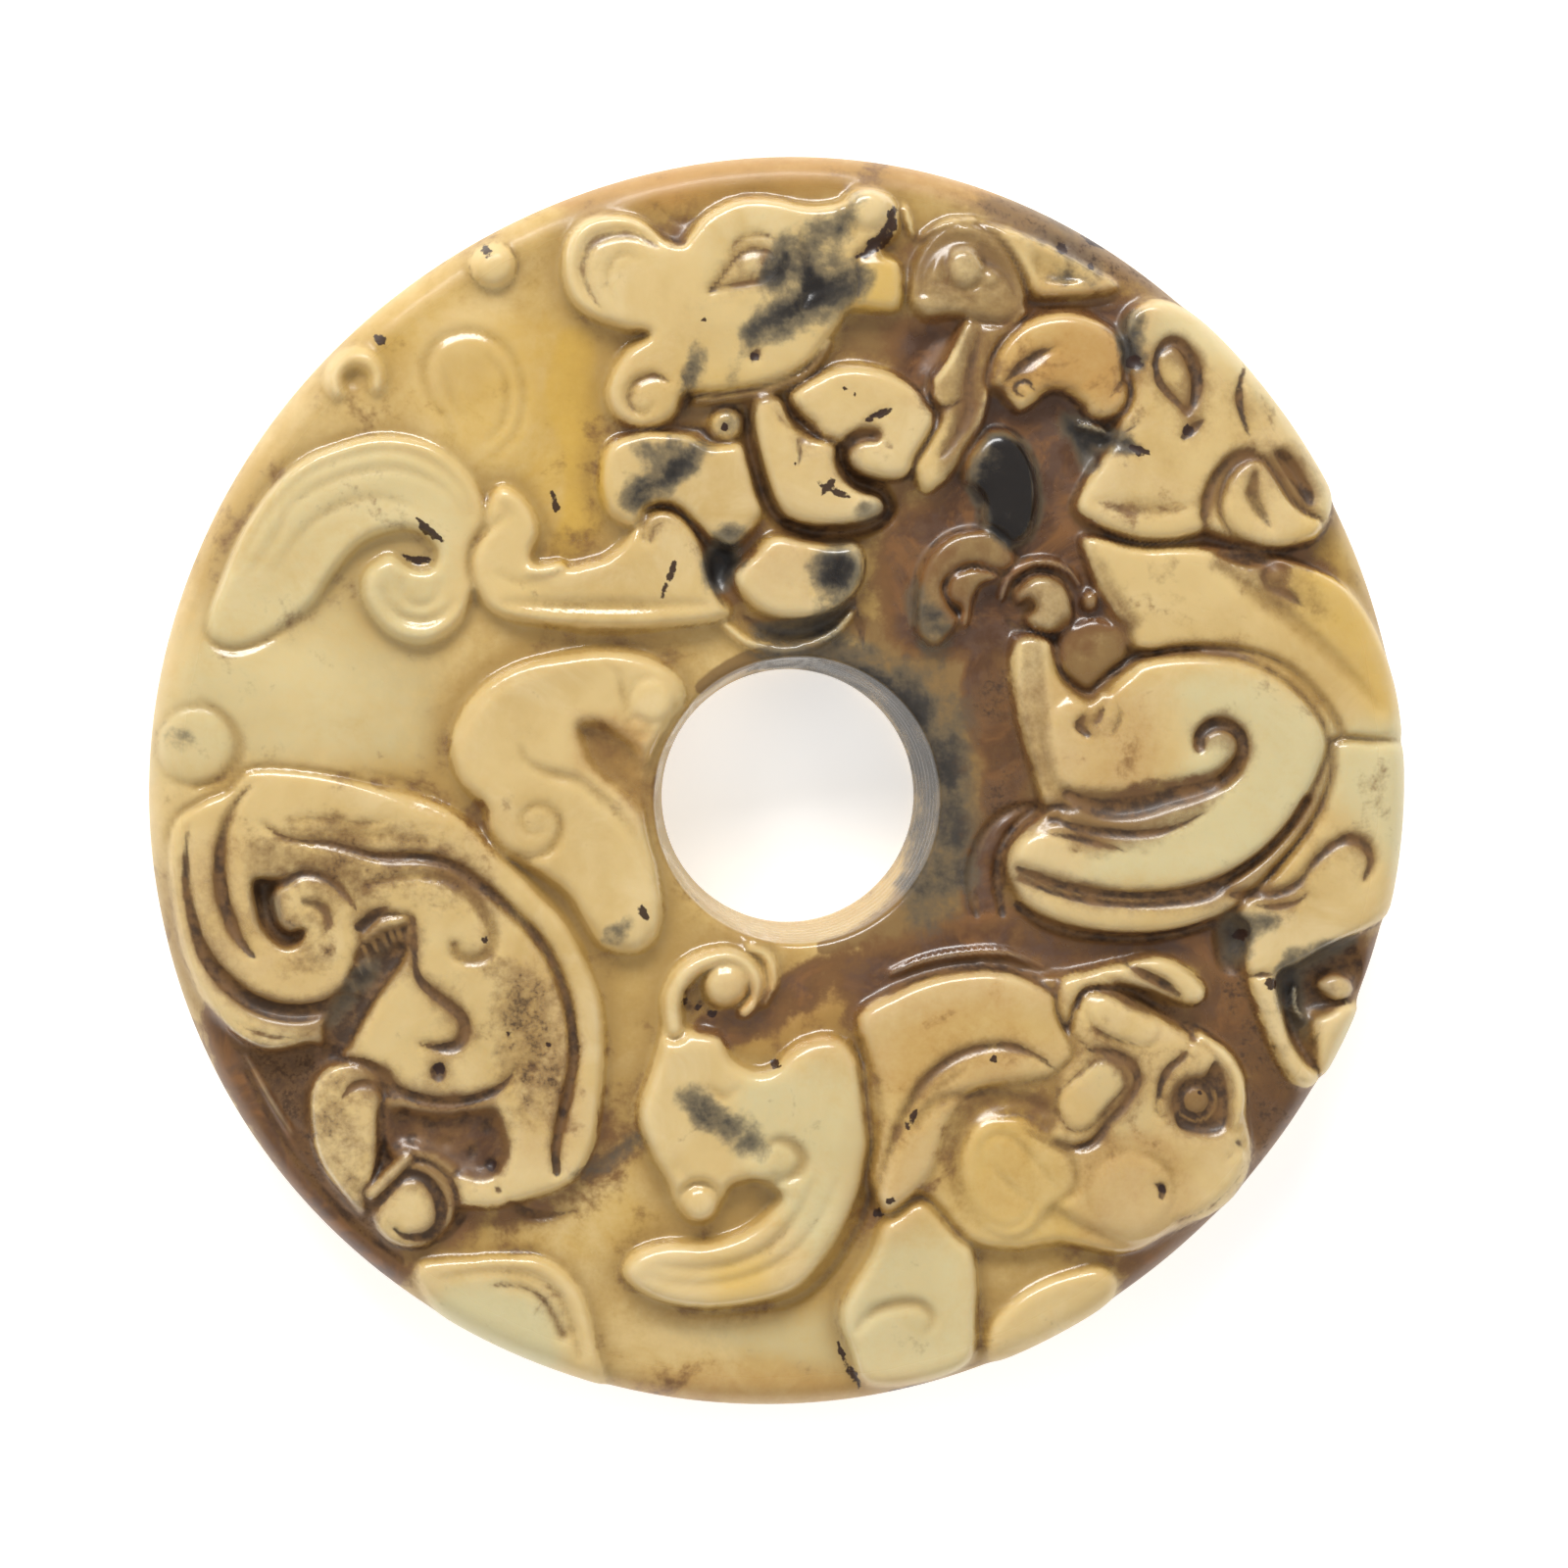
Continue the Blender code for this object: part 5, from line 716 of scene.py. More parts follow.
groove("""-19.4 -11.85, -18.5 -12.1, -17.8 -12.6, -17.3 -13.25, -16.4 -13.65, -15.1 -13.85,
    -13.7 -13.65, -12.6 -13.1, -12 -12.3""", [0.1, 0.22, 0.3, 0.3, 0.25, 0.1], 0.5, 0.95, flat=1.5)
pit(-17.6, -12.5, 0.25, 0.1, 0.6)
pit(-12.3, -10.9, 0.22, 0.2, 0.8, squash=1.6)
pit(-11.5, -9.4, 0.18, 0.1, 0.6, squash=2, turn=20)
pit(-11.3, -12.2, 0.3, 0.15, 0.8, squash=1.8, turn=30)
pit(-10.6, -11.3, 0.25, 0.2, 0.5)

# Left jaw
JAW_PITS = ((-17, -14.4, 0.45), (-15.8, -14.8, 0.5), (-14.4, -14.5, 0.4), (-13.3, -15, 0.4),
            (-16.6, -15.5, 0.35), (-15.1, -15.7, 0.4), (-13.9, -16.1, 0.45), (-13, -16.7, 0.35),
            (-14.6, -17, 0.4), (-12.8, -17.7, 0.3), (-17.3, -15.9, 0.3))
sink("""-18 -13.9, -17 -13.8, -15 -14, -13 -13.8, -12.3 -14.6, -12 -16, -12.6 -17.2, -13.6 -17.6,
    -14.8 -17.2, -15.8 -16.6, -16.9 -16.2, -18 -17, -18.2 -15.6""", level=0.25, edge=0.9, dirt=0.5)
for x, y, radius in JAW_PITS:
    pit(x, y, radius, 0.28, 0.9, squash=0.7, turn=60 * x)
plate("""-21.15 -14.2, -21 -13, -20.4 -12.3, -19.5 -12.05, -18.6 -12.3, -17.9 -13.1, -18 -14.4,
    -17.95 -16, -18.3 -17.3, -18.3 -18.9, -18.9 -18.8, -19.8 -17.8, -20.8 -16.2""", top=1.15,
      drop=0.85, edge=0.45, moat=0.35, dirt=0.8)
groove("-18 -14.3, -18 -15.8, -18.25 -17.3", [0.2, 0.3, 0.15], 0.4, 0.9)
groove("-19.7 -13.7, -19.3 -13.2, -18.6 -13, -17.9 -13.3, -17.3 -13.7", [0.12, 0.26, 0.26, 0.12],
       0.4, 1)
groove("-20.2 -13.2, -19.6 -12.6, -18.8 -12.5", [0.06, 0.13, 0.06], 0.2, 0.5)
ball(-16.6, -18.4, 1.95, top=1, drop=0.7, moat=0.35, dirt=0.9, edge=0.7)
groove("""-18.5 -18.8, -17.8 -17.9, -17.1 -17.2, -16.3 -17.1, -15.6 -17.7, -15.3 -18.5, -15.4 -19.3,
    -16 -19.8, -16.9 -19.8, -17.4 -19.4""", [0.25, 0.3, 0.32, 0.35, 0.3, 0.15], 0.5, 0.95, flat=2)
band("-18.4 -17.9, -17.6 -17.1, -16.8 -16.3", [0.3, 0.35, 0.25], top=1.2, drop=0.8, moat=0.3,
     dirt=0.7)
groove("-14.4 -19, -15 -19.7, -15.8 -20.1", [0.3, 0.3, 0.1], 0.35, 0.8)
pit(-13.1, -16.7, 0.35, 0.3, 0.85)
pit(-17.9, -15.8, 0.3, 0.3, 0.4)
groove("-23.9 -12.6, -22.7 -15, -21.2 -17.2, -19.6 -18.9, -18.3 -20.1, -17 -21",
       [0.3, 0.35, 0.35, 0.3, 0.2], 0.35, 0.8)
report("left mane, left head, left jaw")

# %% [markdown]
# ## The bottom: a fan at the rim, a curled body and a small spiral paw
# These forms are pale and smooth again, with shallow grooves.

# %% Fan, body and paw at the bottom
# Fan
plate("""-16.4 -21.2, -14 -20.8, -12.2 -20.7, -10.6 -20.9, -9.2 -22.2, -8.5 -24.4, -8.3 -27.4,
    -12.4 -26.2, -15.2 -23.8""", top=0.75, drop=0.45, edge=0.4, moat=0.4, dirt=0.3)
groove("-15.4 -21.7, -13.4 -21.4, -11.6 -21.5, -10.3 -22.3, -9.6 -23.6, -9.2 -25.2",
       [0.08, 0.2, 0.24, 0.2], 0.3, 0.35, lean=0.3)
groove("-13 -21.95, -11.6 -22.1, -10.8 -22.6, -10.3 -23.4, -9.9 -24.3", [0.1, 0.18, 0.2, 0.26],
       0.35, 0.85)
groove("-9.9 -24.15, -9.3 -23.95", [0.2, 0.1], 0.2, 0.8)
groove("-12.6 -20.5, -11.2 -20.6, -9.9 -21.2", [0.06, 0.14, 0.06], 0.2, 0.6)

# Bottom body
plate("""-5.4 -9.6, -4.4 -10.6, -3 -10.9, -2.4 -12, -1 -12.5, 0.2 -11.5, 1.3 -11, 2.5 -11.1,
    3.3 -12.1, 3.7 -13.4, 3.85 -14.8, 3.5 -16.3, 3.2 -17.8, 2.4 -19.6, 1.5 -21, 0.3 -22.2,
    -1.6 -22.8, -3.8 -23, -5.8 -22.6, -7.2 -21.6, -6.8 -20.6, -5.4 -20.1, -3.6 -20.1, -2 -19.6,
    -0.9 -18.8, -0.3 -18, -1.2 -17.4, -2.4 -17.5, -3 -18.4, -3.9 -19.1, -4.8 -18.6, -5.3 -17.4,
    -6 -16.2, -6.6 -14.4, -6 -12.4, -5.6 -11""", top=1.3, drop=0.8, edge=1, moat=0.4, dirt=0.45)
groove("-6.4 -21.5, -4.4 -21.9, -2 -21.6, 0 -20.6, 1.4 -19, 2.2 -17.2", [0.08, 0.2, 0.2, 0.08],
       0.25, 0.35)
groove("-5.8 -21, -4 -21.2, -2.2 -20.9, -0.6 -20, 0.5 -18.6, 1.1 -17.2", [0.08, 0.22, 0.22, 0.08],
       0.3, 0.45)
groove("-1 -15.8, -0.4 -15.5, 0.3 -15.8, 0.65 -16.4, 0.3 -17, -0.5 -17.3, -1.6 -17.4",
       [0.15, 0.35, 0.4, 0.35, 0.3], 0.4, 0.3)
ball(-3.9, -18.3, 0.85, top=1.3, drop=0.8, moat=0.35, dirt=0.3)
ball(-1.2, -16.6, 0.85, top=1.45, drop=0.3, moat=0.2, dirt=0.15, squash=0.7)
pit(-0.5, -12.2, 0.4, 0.3, 0.9, squash=0.45, turn=55)
groove("-5 -16, -4.8 -16.8, -4.2 -17.3", [0.1, 0.25, 0.1], 0.2, 0.25)
groove("-3.7 -13, -2.8 -13.6, -2.2 -13.2", [0.1, 0.25, 0.1], 0.25, 0.3)
groove("2.3 -10.9, 3.1 -11.8, 3.65 -13.1, 3.85 -14.4, 3.75 -15.6", [0.12, 0.25, 0.25, 0.12], 0.35,
       0.75)

# Spiral limb
PAW_PITS = ((-4.5, -9), (-4.3, -9.7), (-3.8, -9.5), (-3.4, -9.9), (-3.7, -10.4))
band("-5 -10.6, -5.1 -9.4, -4.6 -8.3, -3.6 -7.6, -2.4 -7.5, -1.5 -8.2, -1.3 -9.2, -1.9 -9.9",
     [0.4, 0.45, 0.45, 0.4, 0.4, 0.35, 0.25], top=1.2, drop=0.9, moat=0.35, dirt=0.45)
ball(-2.7, -8.7, 0.95, top=1.25, drop=0.7, moat=0.3, dirt=0.4)
band("-1.7 -7, -0.8 -7.5, -0.6 -8.6, -1 -9.6", [0.12, 0.25, 0.12], top=0.8, drop=0.6, moat=0.3,
     dirt=0.5)
groove("-2.9 -7.9, -2.5 -8.1", [0.15, 0.1], 0.15, 0.6)
groove("-2.5 -9.5, -2.2 -9.2", [0.15, 0.1], 0.2, 0.6)
for x, y in PAW_PITS:
    pit(x, y, 0.26, 0.3, 0.9)

# Haunch bottom
plate("""3.7 -20.6, 4.2 -19.2, 5.2 -18.3, 6.3 -18.1, 7.2 -18.8, 8 -19.9, 8.4 -21.5, 8.4 -23.2,
    8.1 -25.4, 6 -26.4, 3.6 -26.4, 2.8 -24.8, 2.4 -23""", top=1.1, drop=0.6, edge=0.8, moat=0.35,
      dirt=0.4)
groove("3 -24, 3.8 -23.1, 4.9 -22.75, 5.9 -22.8, 6.4 -23.4, 6.1 -24.1",
       [0.15, 0.35, 0.35, 0.3, 0.1], 0.35, 0.22)
groove("5 -18.9, 5.6 -18.2, 6.3 -17.8, 6.8 -17.75", [0.1, 0.2, 0.15], 0.3, 0.5)
groove("8.5 -20.6, 8.55 -22.2, 8.45 -24", [0.15, 0.25, 0.15], 0.35, 0.5)
pit(4.5, -18.1, 0.3, 0.2, 0.95, squash=0.7)
pit(4.1, -18.8, 0.22, 0.2, 0.95, squash=1.4)
report("fan, bottom body, spiral limb, haunch bottom")

# %% [markdown]
# ## The lower right: the best preserved head
# A thick neck comes up from the bottom and ends in a head with pricked ears, a round ringed eye,
# a broad nose and a looped beard. Its parts overlap, so they are laid in order: skull, ears, brow,
# cheek, eye, nose, beard.

# %% Neck and head on the lower right
# Neck
plate("""3.4 -10.2, 5.2 -8.9, 8 -8, 11 -8.2, 12.4 -8.2, 14.4 -8.8, 16.9 -10.2, 18.4 -10.8,
    19.8 -12.2, 20.3 -14, 20.6 -16.4, 19.8 -18.4, 17.2 -19.6, 15 -20.6, 12 -20.2, 10 -20.4, 8 -20,
    6 -18, 4.2 -18.8, 3.8 -15.6""", top=0.95, drop=0.85, edge=0.6, moat=0.4, dirt=0.6)
plate("""3.1 -10.1, 4.2 -9.2, 5.6 -8.5, 7.4 -8, 9.2 -7.9, 10.8 -8.4, 12.2 -9.4, 13 -11.4, 12 -12.5,
    10.4 -12.9, 8.6 -13.2, 7.4 -14.2, 6.8 -15.6, 6.3 -17, 5.2 -18.2, 4.3 -18.6, 3.7 -17.4,
    4 -15.6, 4.1 -13.6, 3.6 -11.8""", top=1.4, drop=0.6, edge=0.8, moat=0.25, dirt=0.5)
band("4.6 -8.2, 6.2 -7.6, 8 -7.3, 9.8 -7.3, 11.4 -7.9", [0.12, 0.2, 0.2, 0.1], top=0.6, drop=0.5,
     moat=0.3, dirt=0.6)
groove("4.4 -9.2, 5.8 -8.5, 7.6 -8.05, 9.4 -8, 11 -8.5, 12 -9.3", [0.15, 0.25, 0.2], 0.4, 0.8)
groove("5.6 -14.8, 6.4 -13.9, 7.6 -13.5, 9.2 -13.4, 10.6 -13.7, 11.8 -14.3", [0.3, 0.4, 0.3, 0.1],
       0.3, 0.5, flat=1.2)
groove("""3.3 -19.3, 3.9 -17.6, 4.4 -16.1, 5 -14.6, 5.7 -13.3, 6.6 -12.3, 7.8 -11.6, 9.2 -11.3,
    10.4 -11.5, 11.3 -12, 11.8 -12.4""", [0.25, 0.3, 0.3, 0.3, 0.28, 0.25, 0.12], 0.4, 0.7,
       flat=1.5)
groove("6.4 -13.5, 7.1 -12.8, 7.9 -12.3", [0.08, 0.15, 0.08], 0.2, 0.5)
groove("-5.7 -22.9, -4 -23.25, -2 -23.15, 0 -22.85, 1.2 -22.2, 2.2 -21.1, 3.1 -19.6",
       [0.12, 0.25, 0.3, 0.3, 0.28], 0.4, 0.35, flat=1.3)
sink("""8.3 -13.5, 9.6 -13.2, 11 -13.3, 11.8 -14, 11.4 -14.8, 10.2 -14.4, 9 -14.5, 8.2 -15.2,
    7.8 -16.8, 7.9 -18.6, 8.4 -20, 7.6 -19, 7 -17.6, 6.9 -15.8, 7.5 -14.4""", level=0.6, edge=0.6,
     dirt=0.25)

# Skull and ears
plate("""13 -8.6, 14.4 -8.8, 15.8 -9.6, 16.9 -10.4, 17.9 -11, 19.2 -11.5, 20.1 -12.6, 20.3 -14,
    20.1 -15.3, 20.3 -16.4, 20.2 -17.3, 19.6 -18.1, 18.6 -18.9, 17.2 -19.3, 16.2 -19.9, 15 -20.1,
    13.8 -19.6, 12.6 -19, 11.6 -18.2, 10.8 -16.8, 10.4 -15.9, 11.4 -15.2, 11.9 -14, 11.9 -12.6,
    12.6 -11.7, 12.1 -10.4, 12.1 -9.3""", top=1.4, drop=0.6, edge=0.8, moat=0.25, dirt=0.45)
plate("""12.1 -8.4, 13.4 -8, 14.8 -7.7, 16.4 -7.4, 17.7 -8, 18.5 -8.9, 18.2 -9.5, 17.2 -9.4,
    15.9 -8.9, 14.4 -8.7, 13.2 -8.9, 12.6 -9.6, 12.3 -10.6, 11.9 -9.6""", top=1.3, drop=0.8,
      edge=0.4, moat=0.3, dirt=0.75)
groove("14.9 -7.75, 15.8 -8.2, 16.7 -8.7, 17.4 -9.2", [0.12, 0.3, 0.35, 0.15], 0.6, 1, flat=1.5)
groove("13 -8.35, 14.2 -8.3, 15.4 -9, 16.8 -9.9, 17.9 -10.8", [0.1, 0.16, 0.12], 0.35, 0.9)
plate("""13.2 -9.6, 13.8 -9.1, 14.7 -9.4, 15.6 -10, 16.4 -10.5, 16 -11.3, 14.9 -11.2, 13.8 -10.8,
    13.3 -10.3""", top=1.55, drop=0.45, edge=0.4, moat=0.2, dirt=0.4)
groove("12.8 -9.7, 12.9 -9, 13.5 -8.75, 14.4 -9, 15.3 -9.5, 16.1 -10", [0.12, 0.18, 0.28, 0.1],
       0.5, 1)
groove("13.2 -9.9, 13.6 -10.6, 14.4 -11, 15.2 -11.2", [0.1, 0.18, 0.1], 0.3, 0.5)
groove("12.1 -10, 12.5 -10.8, 13.1 -11.3", [0.1, 0.22, 0.15], 0.3, 0.6)

# Cheek and eye
plate("""12 -13.4, 12.8 -12.6, 13.7 -11.95, 14.5 -12.2, 14.85 -13, 14.4 -13.6, 13.8 -14.3,
    13.2 -14.95, 12.4 -14.95, 11.95 -14.2""", top=1.55, drop=0.5, edge=0.4, moat=0.3, dirt=0.7)
groove("""13.2 -11.5, 14.3 -11.6, 15.1 -12.1, 15.4 -12.9, 14.9 -13.8, 14.2 -14.6, 13.6 -15.5,
    12.7 -15.75, 11.8 -15.4""", [0.15, 0.28, 0.25, 0.25, 0.25, 0.1], 0.4, 0.7, flat=1.4)
sink("""17 -14.9, 17 -13.8, 17.5 -13, 18.3 -12.5, 18.7 -11.8, 19.3 -12.4, 19.6 -13.6, 19.5 -14.8,
    19 -15.3, 18 -15.3""", level=0.85, edge=0.35, dirt=0.95)
ball(18, -13.8, 0.98, top=1.2, drop=0.3, moat=0.2, dirt=1)
groove(arc(18, -13.75, 0.68, 0, 345), [0.2], 0.35, 1)
band("18.2 -10.9, 19.2 -11.7, 19.85 -12.7, 19.95 -13.8, 19.7 -14.9", [0.15, 0.3, 0.3, 0.15],
     top=1.45, drop=0.6, moat=0.3, dirt=0.5)
groove("17.9 -10.9, 17.5 -11.7, 16.8 -12.3, 16.4 -13.1, 16.2 -14.2", [0.15, 0.25, 0.25, 0.15],
       0.4, 0.8)
ball(16.5, -14, 0.25, top=1.4, drop=0.25, moat=0.15, dirt=0.7, squash=1.6)
ball(17.85, -11.45, 0.22, top=1.5, drop=0.25, moat=0.15, dirt=0.7, squash=1.6, turn=-25)

# Nose and beard
ball(15.1, -17.8, 1.9, top=1.6, drop=0.3, moat=0.3, dirt=0.3, edge=1.4)
groove("16.1 -17.35, 16.45 -17.55, 16.4 -17.95", [0.1, 0.28, 0.2], 0.4, 1)
groove("15.2 -16.1, 16.1 -16.3, 17 -16.9", [0.1, 0.2, 0.1], 0.15, 0.2)
pit(19.85, -15.6, 0.35, 0.3, 0.9, squash=0.6, turn=-35)
groove("19.3 -16.3, 19.9 -15.9, 20.4 -16.2", [0.12, 0.2, 0.1], 0.2, 0.5)
plate("""7.7 -16.6, 7.9 -15.4, 8.8 -14.6, 10.2 -14.5, 11.3 -15.2, 12.4 -16.2, 12.6 -17.6,
    11.4 -18.6, 10.8 -19.4, 9.8 -19.8, 8.7 -19.3, 8 -18""", top=1.3, drop=0.3, edge=0.5, moat=0.25,
      dirt=0.5)
groove("10.4 -15, 11.4 -15.6, 12.4 -15.9, 13.3 -15.6, 13.8 -14.9, 14 -14.2",
       [0.12, 0.22, 0.22, 0.12], 0.3, 0.5)
groove("9.2 -14.5, 10.4 -14.4, 11.4 -14.9", [0.1, 0.18, 0.1], 0.25, 0.4)
groove("17 -19.1, 18.4 -18.6, 19.6 -17.6, 20.1 -16.6", [0.15, 0.2, 0.15], 0.3, 0.7)
groove("8.6 -16.8, 8.5 -15.9, 9 -15.3, 9.9 -15.4, 10.8 -16.3, 11.9 -17.6",
       [0.1, 0.16, 0.16, 0.08], 0.22, 0.4)
groove("8.9 -16.6, 9.7 -17.4, 10.6 -18.2", [0.08, 0.15, 0.08], 0.2, 0.35)
groove("8.2 -17.4, 8.5 -18.7, 9.5 -19.4, 10.5 -19, 10.9 -18.1", [0.08, 0.16, 0.16, 0.08], 0.22,
       0.4)

# Rim lobes
plate("""8.9 -23.9, 10 -22.7, 11.2 -21.9, 12.6 -21.4, 13.9 -21.2, 14.6 -21.9, 14.3 -23.2,
    12.6 -24.6, 10.4 -25.6, 9 -25.4""", top=0.8, drop=0.6, edge=0.8, moat=0.3, dirt=0.4)
groove("10.8 -20.2, 11.8 -20, 13.2 -20.4, 14.6 -20.9", [0.1, 0.3, 0.3, 0.1], 0.2, 0.3)
report("neck, skull and ears, cheek and eye, nose and beard, rim lobes")

# %% [markdown]
# ## Polish and wear
# Jade is so hard that it is never cut with a knife: it is ground with sand and then polished, and
# every edge ends slightly round. A small blur of the height grid does the same, and a share of a
# wider blur rounds the shoulders of the forms. The upper left and the bottom are far more worn than
# the rest, so there most of the middle-sized swell is taken out, while the lines stay.

# %% Polish the relief and wear it down
POLISH = 0.09
SHOULDER_POLISH = 0.5
SHOULDER_SHARE = 0.35
WORN_POLISH = 0.15
WORN_HEIGHT = 0.3
WORN_EVERYWHERE = 0.2
LEVEL_BLUR = 3.0
MIDDLE_BLUR = 0.8
WORN_PLACES = ((-17, 13, 12, 0.8), (-10, 6, 7, 0.45), (-4, -17, 9, 0.55), (6, -23, 8, 0.6),
               (-12, -24, 7, 0.6), (-10, -1, 8, 0.4), (11, -21, 6, 0.5))
worn = np.full(carving.x.shape, WORN_EVERYWHERE)
for x, y, radius, strength in WORN_PLACES:
    distance = np.hypot(carving.x - x, carving.y - y)
    worn = np.maximum(worn, strength * blend_in(1.8 * (1 - distance / radius)))
crisp = blur(carving.height, POLISH / GRID_STEP)
crisp += (blur(carving.height, SHOULDER_POLISH / GRID_STEP) - crisp) * SHOULDER_SHARE
soft = blur(carving.height, WORN_POLISH / GRID_STEP)
carving.height = crisp + (soft - crisp) * worn
level = blur(carving.height, LEVEL_BLUR / GRID_STEP)
middle = blur(carving.height, MIDDLE_BLUR / GRID_STEP)
carving.height += (level - middle) * (1 - WORN_HEIGHT) * worn
carving.dirt = blur(carving.dirt, 0.7 * POLISH / GRID_STEP)
print("polished: heights from", round(float(carving.height.min()), 2), "to",
      round(float(carving.height.max()), 2), "mm")

# %% [markdown]
# ## Stains of the ground
# The disc lay buried for a very long time. Clean jade stayed cream to honey coloured, but iron and
# other minerals soaked in and turned the cut-back ground brown and nearly black, most of all on the
# right. These colours follow places, not forms, so they are painted on more grids of the same size,
# one grid for each kind of stain. Three brushes are enough: a wash inside an outline, a blot, and a
# stroke along a line. The material breaks their edges up with fine noise later.

# %% Brushes for the stains
STAINS = ("brown", "honey", "tan", "pale", "dark", "ink", "grime", "speckle", "umber")
stains = {name: np.zeros_like(carving.x) for name in STAINS}


def darken(name, win, amount):
    """Lay paint on a grid without taking any away."""
    stains[name][win] = np.maximum(stains[name][win], amount)


def wash(name, points, strength=1.0, soft=1.4):
    """Paint the inside of an outline, fading out over a width on both sides of it."""
    line = smooth_curve(points, closed=True)
    win = carving.window(line, soft + 0.5)
    distance, _, _, inside = carving.nearest(line, win, closed=True)
    depth = np.where(inside, distance, -distance)
    darken(name, win, strength * blend_in(0.5 + depth / (2 * soft)))


def blot(name, x, y, radius, strength=1.0, squash=1.0, turn=0.0):
    """Paint a round or oval spot that fades to its edge."""
    win, distance = carving.oval(x, y, radius * 1.3, squash, turn)
    darken(name, win, strength * blend_in(2 * (1 - distance / radius) + 0.3))


def stroke(name, points, widths, strength=1.0):
    """Paint along a line, with its half widths from end to end."""
    line = smooth_curve(points)
    win = carving.window(line, max(widths) * 1.6 + 0.2)
    distance, share, _, _ = carving.nearest(line, win)
    width = widths_along(widths, share)
    darken(name, win, strength * blend_in(1.5 - distance / width))


print("brushes ready for", ", ".join(STAINS))

# %% Brown ground, honey and tan stone
wash("brown", """4.8 18.6, 5.4 20.6, 7.6 20.8, 9 20.6, 10.4 21.4, 12 21.6, 15.2 21.4, 15 19,
    15.2 16.4, 14.4 15.2, 12.8 12.4, 14.2 10.2, 14.8 7.4, 13 6.2, 9.6 5.4, 7 5.8, 4.9 6.2, 4.4 9,
    4.6 12, 6.6 13, 6.8 15.8, 5.6 17.6""")
stroke("brown", "8.7 6.4, 8.7 4.6, 9.2 2.8, 9.7 1.2, 9.4 -0.6", [0.6, 1, 1.2, 1, 0.8], 0.9)
stroke("brown", "8.6 -5.4, 8.6 -3.4, 9.6 -1.8, 11 -1", [0.8, 1, 0.8, 0.5], 0.85)
wash("brown", """3.4 -7.4, 5.6 -6.6, 8 -5.6, 10.4 -5.6, 13 -6.8, 19 -6.2, 20 -8.4, 17 -7.4, 12.6 -8,
    9 -7.8, 5 -8.8, 3 -10""", 0.95)
stroke("brown", "2.8 -8.2, 0.6 -9, -1.2 -10.2, -3.4 -10.8", [1.2, 1, 0.7], 0.6)
wash("brown", """18.4 -8, 20.4 -8.6, 21.4 -11.6, 23.4 -13.4, 26 -12, 25.6 -8.6, 22.4 -8.2, 27 -7,
    26.4 -11.6, 23.6 -15.6, 20.4 -15.4, 20.4 -12.4, 18.6 -10.8""", 0.85)
wash("brown", """15 -19.8, 17.6 -19.4, 20 -17.6, 20.4 -15.6, 22.4 -15.6, 19.8 -19.6, 17.4 -22,
    15 -22.8, 14.6 -21.2""", 0.55)
wash("brown", "12.8 6, 14 6.2, 14.4 9, 14 11.8, 12.6 13, 12.6 9.8")
wash("brown", "18.2 9.6, 18.6 11.4, 20 11.4, 22 10.8, 24 9, 24 7.4, 22 8, 20 9.2")
wash("brown", """-25.6 -10, -22 -11.4, -19.4 -11.6, -20.6 -13.4, -21 -16, -19 -19.4, -17 -21.4,
    -18.6 -22, -21.6 -18.4, -24.4 -14""")
wash("brown", """-18.2 -13.8, -15 -14, -12.6 -13.8, -12 -16.8, -13.4 -17.8, -14.2 -19.4,
    -15.8 -16.2, -17.6 -17""", 0.9)
wash("brown", "-7.6 12.2, -4.6 13, -4 15.4, -7.6 16", 0.55)
wash("brown", "-3.6 9.2, -2.4 9, -1.6 10.8, -2 12, -3.6 11.4")
wash("brown", "7 -15, 8.4 -13.2, 12 -13, 12 -15, 8.8 -15.2, 8 -18, 7.6 -19.4, 6.8 -17.6", 0.35)
wash("brown", "-10.6 -13, -8 -13.4, -6.8 -16.2, -9 -18.4, -13 -19.4, -10.2 -17", 0.5)

wash("honey", """-16.2 14.6, -16 18.2, -13.6 21.6, -10.6 22.2, -8.4 20.4, -8 17, -7.6 13.6,
    -8.6 11.4, -11.6 10.6, -13.6 12.4""", 0.6, 3.4)
stroke("honey", "-9.4 19.6, -9.6 17.4, -9 14.8, -9 12.2, -9.8 10.6", [1, 1.5, 1.1, 1.2, 0.8],
       0.85)
wash("honey", "22.8 12.4, 25 10.4, 27.2 4.4, 26 2.8, 24 5.8, 21.6 8.6", 0.8)
wash("honey", "8 -14, 10.4 -13, 12.4 -15.6, 13.6 -19.8, 11 -21.4, 7.8 -20, 6.8 -17", 0.6, 1.8)
wash("honey", "-9.6 25.8, -4 26.6, 4 26.8, 4 27.8, -4 28, -9.8 26.8", 0.6)
wash("honey", "-4 15.4, -7 16.4, -8 19, -4 19.6, -1 18.6, -1.4 16.8", 0.45, 1.6)
wash("honey", "-13 6.6, -8 6.8, -4 7, -3.6 9.6, -8.6 9.8, -13 9.8", 0.35, 1.4)
wash("honey", "2.6 21, 5.2 20.8, 5.4 24.2, 3.6 24", 0.8)
wash("honey", "-3.6 -20.8, -1 -20.4, -0.6 -22.6, -3.4 -23.2", 0.8)
wash("honey", "-20 20, -14 24.4, -9.6 26.6, -10 24.4, -14.6 21, -18 17.6", 0.5, 1.4)
wash("honey", "-9.4 -18.6, -6.6 -17.2, -5.6 -20, -8.2 -21.6, -13.6 -20.6", 0.4, 1.4)
wash("honey", "-8.8 -1.6, -6.2 -1.6, -5.4 -5, -8 -7.4", 0.25, 1.2)

